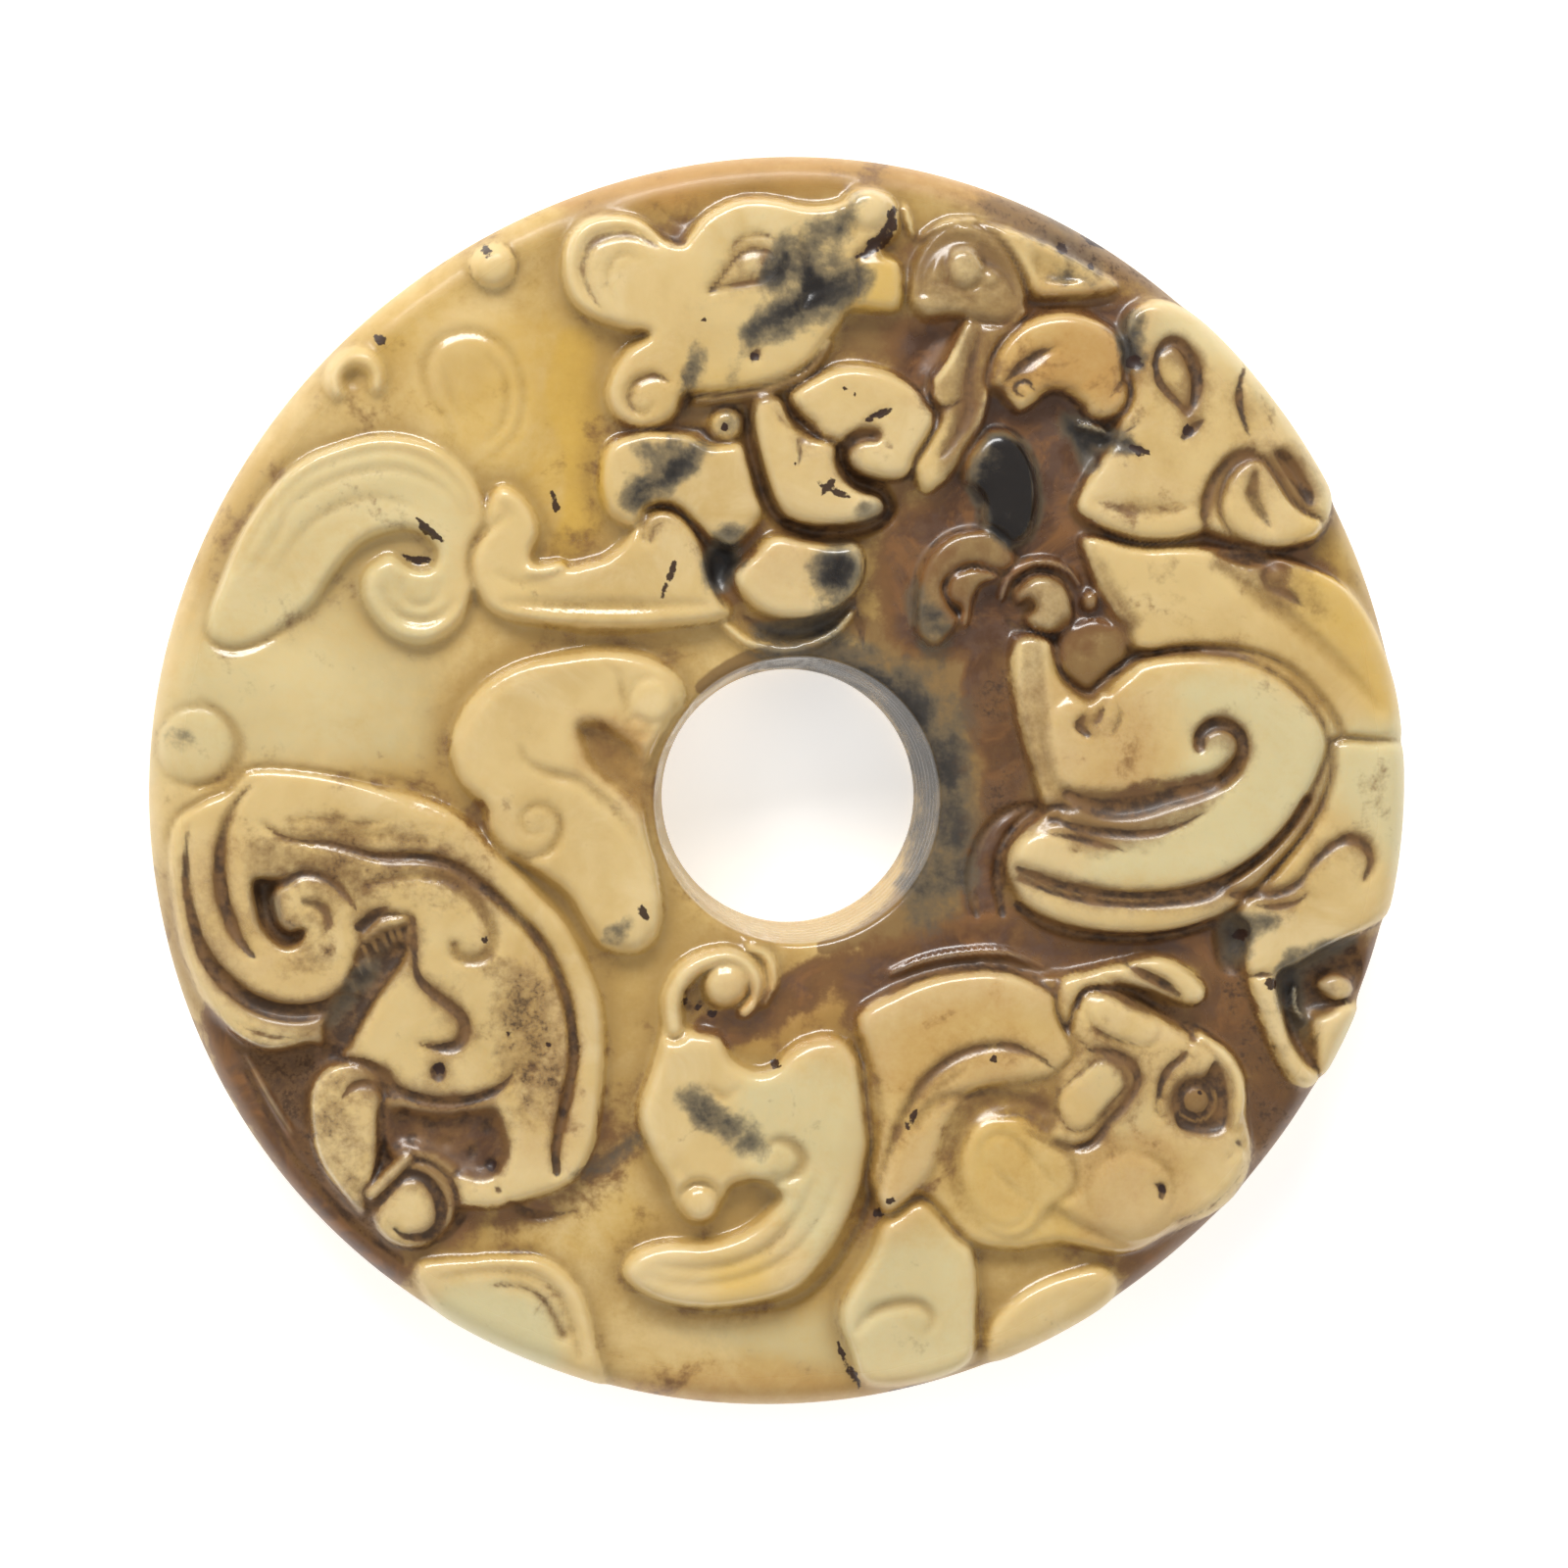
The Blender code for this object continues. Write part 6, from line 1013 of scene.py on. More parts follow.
wash("tan", "9 18.9, 12.2 21.2, 15.2 20, 14.9 16.6, 12.4 16.8, 9.4 17.2", 1)
wash("tan", "-9.6 1, -9.2 3.2, -6.2 3.2, -5.6 1.4, -6 -1.8, -7.6 -0.4", 0.9)
wash("tan", "-9.6 25.4, -6 25.4, 0 26, 5.4 26.3, 9 25.4, 9.2 27.4, 0 28.6, -9.8 27", 0.9, 0.7)
wash("tan", """24.6 -7.4, 27.8 -5.4, 28.6 -8, 26.8 -14, 22.6 -19, 18 -23, 13.4 -26, 12.6 -24.6,
    17.4 -21.4, 22.4 -15.8, 25.6 -10.8""", 0.8)
wash("tan", "-9 -26.4, -2 -25.4, 8 -25.8, 13.4 -24.6, 13.2 -26.6, 0 -29, -9.4 -28.4", 0.7)
wash("tan", "3 -10.4, 7 -7.8, 12.4 -8.6, 12.8 -12.6, 8 -13.6, 5.6 -18.8, 3.6 -18.6, 4.2 -14", 0.5,
     1.2)
wash("tan", """10.4 -13.4, 13 -9.4, 18.4 -10, 20.4 -13.6, 18.8 -18.8, 12.4 -19, 8.4 -19.2,
    8.2 -15.4""", 0.45, 1.4)
wash("tan", "-3 -8, 3.4 -8, 3.2 -11.2, -2.6 -11.8", 0.8)
wash("tan", "-26.6 -2, -23 -1.6, -22.4 -4, -20 -9.8, -25.8 -9, -27.2 -5", 0.45, 1.2)
wash("tan", "-14 -6, -9.4 -8, -8.6 -16, -12 -16.4, -12.4 -9", 0.5, 1.2)
wash("tan", "3.8 6.2, 8.4 5, 8.6 -0.6, 8.2 -5.2, 5.4 -6.6, 7 -2.6, 7.2 2, 5.4 4.6", 0.6, 0.8)
wash("tan", "12.8 12, 14.6 15.4, 15.2 21.2, 19.4 19.8, 22.6 15.8, 18.4 12.6, 17 11", 0.35, 1.2)
wash("umber", """5.6 20.6, 5.3 22.6, 6.2 24.9, 8.4 25.2, 10 24.2, 10.8 21.6, 9.8 20, 8.9 18,
    8.7 15.8, 7.4 13.9, 6.3 13.9, 7.1 16.4, 6.3 17.6, 7.2 19.2""", 0.85, 0.6)
wash("umber", """5.2 6, 5.4 9.4, 6.6 11.6, 7.6 13, 7.6 15, 9 16.4, 11 16, 12.6 14, 13.2 10.6,
    13.8 8.8, 13.4 7.2, 11 6.4""", 1, 0.6)
wash("umber", "10.2 24.6, 13 23.6, 15 22.6, 17.2 21.6, 16.4 23.6, 12 25.8, 8.6 26.2", 0.8, 0.7)
wash("umber", "11.9 7, 12.2 4.8, 13.4 4.2, 15.2 5.8, 14.6 7.6", 0.8, 0.7)
wash("umber", "21 14.8, 22.6 15.6, 24 13.4, 23.2 11.8, 21.8 13.4", 0.8, 0.6)
wash("umber", "18.2 9.6, 20 11.2, 23 10.2, 24.2 7.6, 22.8 7.4, 20.4 9", 0.7, 0.9)
wash("umber", "13 12, 13.2 9.2, 14.4 6.6, 15.8 7.2, 14.6 9.4", 0.75, 0.7)
stroke("umber", "13.2 11.5, 15.6 10.9, 18.2 11", [0.4, 0.3, 0.3], 0.7)
wash("umber", "7.4 -2, 7.8 2, 8 6.4, 9.4 6.4, 9.8 3.4, 11 1.6, 10.8 -1.6", 0.85, 0.8)
wash("umber", """3.2 7.4, 6 6.8, 8.8 5.6, 9.4 2, 9.2 -2, 8.8 -5.6, 5 -7.2, 3.6 -7, 5.6 -5, 6.9 -1.8,
    6.6 1.8, 4.8 4.8""", 1, 0.9)
wash("dark", "4.6 5.6, 7.4 4.6, 8.4 0.4, 8 -4.6, 5.6 -6.2, 6.6 -2.4, 6.6 2", 0.66, 1.3)
wash("umber", "-24 -2.2, -21 -2.6, -18.6 -3.4, -18.4 -5.2, -20 -4.2, -22.4 -4.2, -23.8 -5.4",
     0.75, 0.6)
for x, y, radius, strength, squash, turn in (
        (12.2, 19.2, 3.4, 0.9, 0.8, 20), (4.6, 18.4, 2.4, 0.6, 0.6, 0),
        (-5.8, 17.2, 1.8, 0.5, 1, 0), (0.4, 15.4, 2.2, 0.4, 1.6, 0),
        (20.5, 13.6, 2.4, 0.5, 1.2, 20), (11.2, 8.8, 1.8, 0.5, 1, 0), (12.4, 1.6, 3.2, 0.7, 1, 0),
        (6.4, -10.4, 3.6, 0.8, 0.8, -30), (15.2, -17.8, 2.4, 0.8, 1, 0),
        (4.6, -15.8, 2, 0.5, 2, -15), (-1.8, -9, 2.4, 0.6, 1, 0), (-13.6, -2.4, 3, 0.4, 0.5, -30),
        (-22, -9, 3.6, 0.5, 0.4, -20), (-19.8, -15.2, 2.2, 0.5, 1.8, 20),
        (0.2, 9.6, 1.6, 0.6, 0.7, 0), (-7.2, 9.8, 1.8, 0.35, 0.8, 0),
        (10, -17, 2.6, 0.4, 1.4, 20)):
    blot("tan", x, y, 1.5 * radius, 0.8 * strength, squash, turn)
print("washed brown, honey, tan and umber")

# %% Pale stone, black-green patches and ink flecks
wash("pale", "-28.6 0, -27.6 6, -23 14.4, -18 16, -13.6 13.8, -15 6, -15.4 0.8, -22 0.8", 0.55,
     1.8)
wash("pale", """13.4 -4.4, 20 -4, 23.8 -1, 28.6 -6, 28.6 3, 24 3.4, 20 5.4, 16.8 4.8, 17 1,
    13 -2.6""", 0.7, 1.4)
wash("pale", "14.8 20.6, 18 21.2, 21.2 18.6, 24 14, 26 9, 24.4 8.6, 22 15, 18.4 18.6, 15.4 18.8",
     0.6)
wash("pale", "12.4 -12, 14.8 -10.6, 16.2 -12.8, 16.4 -15.6, 14 -16", 0.5)
wash("pale", "-14.6 -21.8, -10.8 -22.4, -9.8 -25, -11 -27.4, -16.4 -24.4", 0.9)
wash("pale", "-1.8 -12.2, 3.6 -12.4, 3.8 -16.6, 1.6 -21, -1 -18.6, -3 -15", 0.6, 1.4)
wash("pale", "3.6 -19.6, 8.2 -20, 8.2 -26.4, 2.6 -26.4, -6 -24, 1.8 -22.6", 0.6, 1.4)
wash("pale", "-9 7.4, -9 12, -13 14, -13.6 8", 0.25, 1.2)
wash("pale", "-3.6 18, 1.8 19.6, 1.8 25.4, -4 25.6", 0.35, 1.2)
wash("pale", "24.6 -10.2, 26 -9.8, 25.4 -12.2, 23.8 -12.6", 0.6, 0.5)
wash("pale", "-17 -5.6, -13 -6, -12.2 -12.8, -19.4 -12", 0.3, 1.2)

for x, y, radius, strength, squash, turn in (
        (-2.5, 11.2, 1, 0.6, 0.8, 0), (3.7, 12.2, 0.8, 0.6, 0.7, 0), (-2.6, 16.2, 0.6, 0.6, 1, 0),
        (-1.8, -15.4, 1.2, 0.5, 0.6, -30), (-4.2, -13.5, 0.6, 0.4, 1, 0),
        (-7.6, -6.2, 0.9, 0.5, 0.7, 40), (-26.9, 2.2, 0.7, 0.5, 0.8, 0),
        (12.4, 22.6, 0.8, 0.6, 0.4, 0), (12.6, 24.9, 2.4, 0.45, 0.3, -30),
        (20.9, -5.9, 0.8, 0.7, 0.6, 0), (-22.9, -5.2, 0.5, 0.5, 1.8, 10)):
    blot("dark", x, y, radius, strength, squash, turn)
wash("dark", """8.1 13.3, 8.4 14.8, 9.2 15.8, 10.4 15.3, 11.2 13.6, 11.1 11.9, 10.2 10.7, 8.9 11.2,
    8.7 12.4""", 1, 0.25)
wash("dark", "-1.9 19.9, -0.8 22.2, 0.1 24.5, 1.8 25.2, 3 23.4, 3.1 21.4, 1.6 20.3, 0 19.8", 0.5,
     0.7)
wash("dark", "1.4 8.4, 1 9.4, 1.5 10.4, 2.6 10.8, 3.3 10, 2.9 8.9, 2.2 8.2", 0.85, 0.6)
wash("dark", "-3.6 9, -3.4 10.7, -2.6 10.9, -1.9 10.3, -2.5 9.5, -2.8 8.8", 1, 0.25)
for points, widths, strength in (
        ("-1.6 20.2, -0.4 20.9, 0.8 21.6, 2 22.2, 3.1 22.7", (0.3, 0.6, 0.9, 0.6), 0.8),
        ("0.4 21.1, 0.9 21.8, 1 22.6, 0.7 23.8", (0.3, 0.5, 0.35, 0.2), 1),
        ("-1.1 22.3, -0.5 22.8, -0.2 23.5, -0.2 24.3", (0.1, 0.4, 0.35, 0.15), 1),
        ("0.7 23.8, 1.2 24.6, 1.6 25.2", (0.3, 0.4, 0.2), 0.7),
        ("2.2 24.3, 2.6 25.2, 3 26.2", (0.25, 0.4, 0.3), 0.7),
        ("-2.7 17.7, -2.1 19, -1.6 20.4", (0.12, 0.25, 0.4), 0.55),
        ("-3.9 19.9, -4.1 18.8, -4.5 17.5", (0.12, 0.35, 0.2), 0.85),
        ("-7.1 12.6, -6.2 13.3, -5.2 14, -4.2 14.8, -3.5 15", (0.5, 0.7, 0.7, 0.3), 0.8),
        ("-6.8 15.3, -5.8 14.9, -4.9 15.3", (0.3, 0.5, 0.3), 0.7),
        ("-1.6 7, 0.2 6.9, 2 7.4, 3.2 8.2", (0.15, 0.35, 0.35, 0.2), 0.75),
        ("-0.8 5.9, 0.6 6, 2.2 5.9", (0.15, 0.3, 0.2), 0.9)):
    stroke("dark", points, widths, strength)
stroke("umber", "11.6 0.4, 12.8 -0.9, 14.6 -1.3, 16.6 -1.2, 18.4 -0.6", [0.5, 0.9, 0.9, 0.5], 0.8)
stroke("umber", "10.8 6.2, 10.8 4.4, 11 2.6, 11.4 0.8", [0.6, 0.7, 0.8, 0.6], 0.8)
stroke("brown", "14.4 -0.5, 16 0.1, 17.6 0.2, 18.8 0.6", [0.3, 0.45, 0.4, 0.3], 1.4)
wash("honey", "3.8 -11, 6 -9.2, 10 -8.8, 12 -11, 8 -12.4, 6 -15, 4.6 -17.6", 0.55, 1.6)
wash("honey", "7.6 17.6, 9 20.6, 13 21, 15 18.4, 13 16, 9.4 16.4", 0.6)
wash("honey", "-3.4 -12, -1 -12.6, 0.6 -11.2, -1 -10.2, -3 -10.4", 0.5)
for points, widths, strength in (
        ("-4.8 -13.6, -3.4 -14.4, -1.8 -15.4, -0.8 -16.2", (0.3, 0.7, 0.8, 0.3), 0.6),
        ("12.6 16.2, 13.4 15.6, 14.6 15.4, 15.6 15", (0.5, 0.45, 0.3, 0.15), 0.9),
        ("12.9 15.8, 13.2 14.8, 13.5 14", (0.3, 0.4, 0.2), 0.85),
        ("15.4 20.8, 15.1 19.8, 15.4 18.8", (0.3, 0.5, 0.4), 0.75),
        ("10.6 24.8, 12.2 24, 13.9 23.1", (0.2, 0.4, 0.2), 0.8),
        ("11.4 22.5, 12.6 22.6, 13.6 22.3", (0.2, 0.3, 0.15), 0.75),
        ("22.2 -7.6, 22.4 -9.4, 23 -11", (0.5, 0.6, 0.3), 0.7),
        ("21.6 -8, 23.4 -7.4, 25 -6.8", (0.3, 0.5, 0.4), 0.6),
        ("19.6 -5.9, 20 -6.8, 19.8 -7.6", (0.4, 0.5, 0.4), 0.7),
        ("-20 -10.2, -18.8 -8.4, -17.6 -6.8", (0.5, 0.5, 0.4), 0.5)):
    stroke("dark", points, widths, strength)
stroke("ink", "3.1 23.5, 3.8 23.95, 4.5 24.6, 4.7 25.6", [0.2, 0.35, 0.3, 0.2], 0.85)
stroke("umber", "1.9 19.6, 0.8 18.2, -0.5 17.5, -2 17.1, -4.2 16.8", [0.2, 0.35, 0.4, 0.5], 0.85)
stroke("umber", "-1.6 16.9, -1.6 15.6, -1.3 14.2, -0.9 12.9, -0.3 11.9", [0.3, 0.4], 0.7)
wash("umber", "2.4 19.6, 3.2 21, 5.4 21.2, 5.3 18.9, 3.6 19.1", 0.7, 0.7)
wash("umber", "3.6 6.4, 3.6 11, 4.8 13.4, 7 13, 5.6 10, 5.4 6", 0.5, 0.9)
stroke("dark", "-9.5 -17.6, -8.2 -16.6, -6.5 -15.5", [0.3, 0.5, 0.3], 0.5)
stroke("dark", "5.6 9, 6.2 7.4, 6.6 6.4, 6.6 5.4", [0.3, 0.6, 0.8, 0.6], 0.5)
for reach, width, amount in ((6, 0.4, 0.8), (6.7, 0.3, 0.8), (7.4, 0.25, 0.7)):
    stroke("dark", arc(HOLE_X, HOLE_Y, reach, -40, 110, 24),
           [0.3 * width, width, width, 0.3 * width], amount)
stroke("umber", arc(HOLE_X, HOLE_Y, 6.6, -80, 130, 24), [0.3, 0.8, 0.8, 0.3], 1)

INK_FLECKS = (
    "-16.4 12, -15.9 11.4, -15.3 11", "-17 10.3, -16.4 10.1, -15.7 10.1",
    "-10.2 12.4, -10.3 12.8, -10.4 13.1", "-5 10, -5.3 9.2, -5.6 8.4",
    "3.4 16.3, 4 16.5, 4.6 16.8", "1.2 13.5, 1.9 13.2, 2.7 12.9", "1.4 12.9, 2 13.6",
    "15.1 15.1, 15.5 14.9, 15.9 14.8", "2.3 -24.6, 2.7 -25.6, 3.4 -26.7",
    "4.8 -26.9, 6.4 -26.7, 7.8 -26.4", "5.2 -14.9, 5.6 -14.2", "14.2 24, 13.2 24.6",
    "-6.6 -5.2, -6.2 -5.7")
for fleck in INK_FLECKS:
    stroke("ink", fleck, [0.08, 0.2, 0.1], 0.9)
for x, y, radius in (
        (-10.2, 12.4, 0.35), (-1.5, 19.1, 0.4), (-3.7, 20.7, 0.25), (2.5, 17.65, 0.3),
        (2.9, 17.4, 0.22), (0.3, 14.4, 0.25), (17.65, 15.8, 0.5), (15.3, 18.8, 0.6),
        (12.2, 23.9, 0.5), (13.5, 23.1, 0.35), (4.5, 25.4, 0.4), (3.9, 24.2, 0.35),
        (-13.3, 23.8, 0.5), (-18, 19.9, 0.5), (4.1, -18.8, 0.4), (4.5, -18.1, 0.4),
        (-0.5, -12.2, 0.4), (-15.4, -12.35, 0.55), (16.45, -17.6, 0.4), (9, -11.9, 0.3),
        (-13.4, -6.7, 0.35), (-13.1, -16.7, 0.5), (-12.3, -10.8, 0.35), (-10.6, -11.3, 0.3),
        (-4.5, -9.4, 0.35), (-3.9, -9.7, 0.3), (-3.3, -10, 0.35), (-2.8, 16, 0.3),
        (20.1, -6.5, 0.5), (21.3, -8.6, 0.5), (18.15, -13.4, 0.3)):
    blot("ink", x, y, 0.6 * radius, 0.95)
print(len(INK_FLECKS), "ink flecks drawn")

# %% Where the dirt stayed, and where it is speckled
# The black-green patches have soft edges, like smoke.
stains["dark"] = np.clip(1.15 * blur(stains["dark"], 0.3 / GRID_STEP), 0, 1)
# A value of 1 keeps all of the dirt that the tools left, and 0 washes it away.
stains["grime"] += 0.55
for x, y, radius, kept in (
        (-15, 16, 11, 0.4), (-10, 5, 6, 0.5), (-20, 10, 8, 0.4), (-9, 0, 6, 0.5),
        (-3, 21, 7, 0.8), (10, 14, 9, 1), (16, 0, 10, 0.9), (24, -6, 8, 0.9), (16, -14, 9, 0.95),
        (8, -9, 7, 0.85), (-20, -8, 9, 1), (-15, -16, 9, 0.95), (5, 11, 7, 0.9),
        (18, 17, 7, 0.95), (2, -20, 9, 0.5), (22, 12, 6, 0.9)):
    distance = np.hypot(carving.x - x, carving.y - y)
    stains["grime"] += (kept - stains["grime"]) * blend_in(1.6 * (1 - distance / radius))

wash("speckle", "-13.2 -7.4, -10.2 -8.4, -9.6 -13.6, -12.4 -15, -13 -11", 1)
wash("speckle", "14.2 7.2, 17.6 6.8, 18.8 9.6, 15 10.6", 0.45)
wash("speckle", "8 -1.6, 10.8 -1.2, 10.8 6, 8.2 5.6", 0.8)
wash("speckle", "-23.4 -1.4, -14.4 -1.6, -13.8 -5.6, -19.4 -4.8, -19.6 -8.4, -23 -7.8, -23.6 -4",
     0.75)
wash("speckle", "-24.8 -10.8, -19.8 -12, -17.2 -20.8, -22 -16.8", 0.9)
wash("speckle", "8.2 25, 16 21.8, 16.8 23.2, 10 26.8", 0.9)
wash("speckle", "18 -8, 21 -8.4, 23.4 -14, 19 -20, 15 -22.6, 20.2 -16", 0.8)
wash("speckle", "2 8, 5.4 6.4, 6.4 13, 2.6 15.4", 0.5)
wash("speckle", "12 -9, 18.4 -8, 20.4 -13, 17 -15, 12 -13", 0.45)
print("kept dirt between", round(float(stains["grime"].min()), 2), "and",
      round(float(stains["grime"].max()), 2))

# %% [markdown]
# ## From the grid to a mesh
# A square grid would leave a stepped outline at the rim and at the hole. Instead the mesh is made of
# rings that run from the hole to the rim and round the back, like a turned piece. Each ring gets as
# many points as its length asks for, so the triangles stay even, about a sixth of a millimetre wide
# on the front, where all the detail is. Two rings with different numbers of points are stitched
# like a zip: at each step, the side whose next point comes first moves on.
# The camera stands a little to the left of the disc, and near it, so what stands higher looks
# further out. The carving was drawn as it looks from there. So each point of the front reads the
# grid where the camera sees that point, and not straight below it.

# %% Where the camera sees a point of the front
EYE = Vector((-17.93, 8.94, 197.57))
AIM = Vector((0.09, 0.09, 3.5))
BACKWARDS = (EYE - AIM).normalized()
RIGHT = Vector((0, 1, 0)).cross(BACKWARDS).normalized()
UP = BACKWARDS.cross(RIGHT)
DRAWING_X = -0.18
DRAWING_Y = 0.22
DRAWING_REACH = 192.24
RELIEF_MIDDLE = 1.0


def front_dome(x, y):
    """How far the front has come down, from the middle towards the rim."""
    return DOME_DROP * (np.hypot(x, y) / DISC_RADIUS) ** 4


def as_drawn(x, y):
    """Where on the drawing a point of the front lies, as the camera sees it."""
    away = (x - EYE.x, y - EYE.y, GROUND_HEIGHT + RELIEF_MIDDLE - front_dome(x, y) - EYE.z)
    across, upwards, backwards = (sum(a * b for a, b in zip(away, axis))
                                  for axis in (RIGHT, UP, BACKWARDS))
    return (DRAWING_X - DRAWING_REACH * across / backwards,
            DRAWING_Y - DRAWING_REACH * upwards / backwards)


print("the point at 28, 0 is drawn at", [round(float(part), 2) for part in as_drawn(28.0, 0.0)])

# %% Rings of the disc
FRONT_SPACING = 0.171
LIP_SPACING = 0.2
BORE_SPACING = 0.3
SIDE_SPACING = 0.5
BACK_SPACING = 0.62
FRONT_RINGS = 124
LIP_RINGS = 3
ROUND_RINGS = 10
BACK_RINGS = 44
BORE_RINGS = 26


def front_height(x, y):
    """Height of the carved front, before the rim and the hole are rounded off."""
    return GROUND_HEIGHT + carving.read(carving.height, *as_drawn(x, y)) - front_dome(x, y)


def ring_angles(radius, spacing, shift):
    """Directions of the points of one ring, turned by a share of a step."""
    count = max(48, round(2 * math.pi * radius / spacing))
    return (np.arange(count) + shift) * 2 * math.pi / count


def hole_ring(radius, height, spacing, shift=0.0):
    """A ring round the hole at one height, or following the lip where height is a function."""
    angle = ring_angles(radius, spacing, shift)
    x, y = HOLE_X + radius * np.cos(angle), HOLE_Y + radius * np.sin(angle)
    lip = front_height(HOLE_X + (HOLE_RADIUS_FRONT + HOLE_LIP) * np.cos(angle),
                       HOLE_Y + (HOLE_RADIUS_FRONT + HOLE_LIP) * np.sin(angle))
    return angle, x, y, height(lip)


def span_ring(t, inset, spacing, shift=0.0):
    """A ring a share of the way from the lip of the hole to a circle inside the rim."""
    radius = HOLE_RADIUS_FRONT + (DISC_RADIUS - HOLE_RADIUS_FRONT) * t
    angle = ring_angles(radius, spacing, shift)
    start_x = HOLE_X + (HOLE_RADIUS_FRONT + HOLE_LIP) * np.cos(angle)
    start_y = HOLE_Y + (HOLE_RADIUS_FRONT + HOLE_LIP) * np.sin(angle)
    reach = rim_radius(angle) - inset
    x = start_x + (reach * np.cos(angle) - start_x) * t
    y = start_y + (reach * np.sin(angle) - start_y) * t
    return angle, x, y


rings = []
for k in range(BORE_RINGS):
    t = k / (BORE_RINGS - 1)
    rings.append(hole_ring(HOLE_RADIUS_BACK + (HOLE_RADIUS_FRONT - HOLE_RADIUS_BACK) * t,
                           lambda lip, t=t: BACK_CHAMFER + (lip - HOLE_LIP - BACK_CHAMFER) * t,
                           BORE_SPACING, 0.5 * (k % 2)))
bore_end = len(rings)
for turn in np.linspace(0, math.pi / 2, LIP_RINGS + 2)[1:-1]:
    rings.append(hole_ring(HOLE_RADIUS_FRONT + HOLE_LIP * (1 - math.cos(turn)),
                           lambda lip, s=math.sin(turn): lip - HOLE_LIP * (1 - s), LIP_SPACING))
for k in range(FRONT_RINGS):
    angle, x, y = span_ring(k / (FRONT_RINGS - 1), RIM_ROUND, FRONT_SPACING, 0.5 * (k % 2))
    rings.append((angle, x, y, front_height(x, y)))
for turn in np.linspace(0, math.pi / 2, ROUND_RINGS + 1)[1:]:
    angle, x, y = span_ring(1.0, RIM_ROUND * (1 - math.sin(turn)), LIP_SPACING + 0.1 * turn)
    height = front_height(x, y) - RIM_ROUND_DROP * (1 - math.cos(turn))
    rings.append((angle, x, y, height))
front_end = len(rings)
for t in (0.25, 0.5, 0.75, 1.0):
    angle, x, y = span_ring(1.0, 0.0, SIDE_SPACING)
    shoulder = front_height(x, y) - RIM_ROUND_DROP
    rings.append((angle, x, y, shoulder + (BACK_CHAMFER - shoulder) * t))
for k in range(BACK_RINGS):
    t = 1 - k / (BACK_RINGS - 1)
    angle, x, y = span_ring(t, BACK_CHAMFER, BACK_SPACING, 0.5 * (k % 2))
    rings.append((angle, x, y, 0 * x))
print(len(rings), "rings,", sum(len(ring[0]) for ring in rings), "points")


# %% Stitch the rings into one closed surface
def stitch(first, second, start_a, start_b):
    """Triangles between two rings of points."""
    n, m = len(first), len(second)
    i = j = 0
    faces = []
    turn_a = np.append(first, first[0] + 2 * math.pi)
    turn_b = np.append(second, second[0] + 2 * math.pi)
    while i < n or j < m:
        a, b = start_a + i % n, start_b + j % m
        if j == m or (i < n and turn_a[i + 1] <= turn_b[j + 1]):
            faces.append((a, start_a + (i + 1) % n, b))
            i += 1
        else:
            faces.append((a, start_b + (j + 1) % m, b))
            j += 1
    return faces


starts = np.concatenate([[0], np.cumsum([len(ring[0]) for ring in rings])])
triangles = []
for k, ring in enumerate(rings):
    after = (k + 1) % len(rings)
    triangles += stitch(ring[0], rings[after][0], starts[k], starts[after])
points = np.vstack([np.stack(ring[1:], 1) for ring in rings])
disc_mesh = bpy.data.meshes.new("jade_bi_disc")
disc_mesh.from_pydata((points * MM).tolist(), [], triangles)
disc_mesh.shade_smooth()
disc_mesh.validate()
print(len(points), "points and", len(triangles), "triangles")

# %% [markdown]
# ## What each point of the surface knows
# The material has to know where the ground lies, where an edge stands proud and where the stains
# are. Those values are read from the grids and stored on the points as named attributes. A hollow is
# found by comparing the surface with a blurred copy of itself: it lies below the copy in a groove
# and above it on an edge. A narrow blur finds the grooves, and two wider ones find hollows and low
# ground. Only the front has stains of its own; the bore takes some from the ground round it.

# %% Attributes for the material
FINE_BLUR = 0.28
WIDE_BLUR = 1.0
HALO_BLUR = 0.5
BROAD_BLUR = 2.2
HALO_STRENGTH = 1.7
RIM_BAND = 1.7
RIM_FADE = 0.8
BORE_STAINS = ("brown", "tan", "dark", "umber")
on_front = np.zeros(len(points))
on_front[starts[bore_end]:starts[front_end]] = 1.0
on_bore = np.zeros(len(points))
on_bore[:starts[bore_end]] = 1.0
fine = blur(carving.height, FINE_BLUR / GRID_STEP) - carving.height
wide = blur(carving.height, WIDE_BLUR / GRID_STEP) - carving.height
broad = blur(carving.height, BROAD_BLUR / GRID_STEP) - carving.height
kept_dirt = carving.dirt * stains["grime"]
halo = blur(kept_dirt, HALO_BLUR / GRID_STEP) * HALO_STRENGTH
angle = np.arctan2(points[:, 1], points[:, 0])
inset = rim_radius(angle) - np.hypot(points[:, 0], points[:, 1])
rim_share = disc_mesh.attributes.new("rim", "FLOAT", "POINT")
rim_share.data.foreach_set("value", blend_in((RIM_BAND - inset) / RIM_FADE).astype(np.float32))
layers = {"relief": carving.height, "groove": fine, "hollow": wide, "broad": broad,
          "dirt": kept_dirt, "halo": halo, **stains}
for name, grid in layers.items():
    values = carving.read(grid, *as_drawn(points[:, 0], points[:, 1]))
    share = on_front + (on_bore if name in BORE_STAINS else 0)
    values = values * share + (1 - on_front) * (1.0 if name == "relief" else 0.0)
    attribute = disc_mesh.attributes.new(name, "FLOAT", "POINT")
    attribute.data.foreach_set("value", values.astype(np.float32))
    print(name, "from", round(float(values.min()), 2), "to", round(float(values.max()), 2))

# %% [markdown]
# ## Maths in the shader, written as Python
# A material with many layers needs dozens of Math nodes. This small class wraps a socket, so that
# an expression such as 1 - mask * 0.5 adds its own nodes. Colours go through Mix nodes, because a
# Math node would turn them grey.


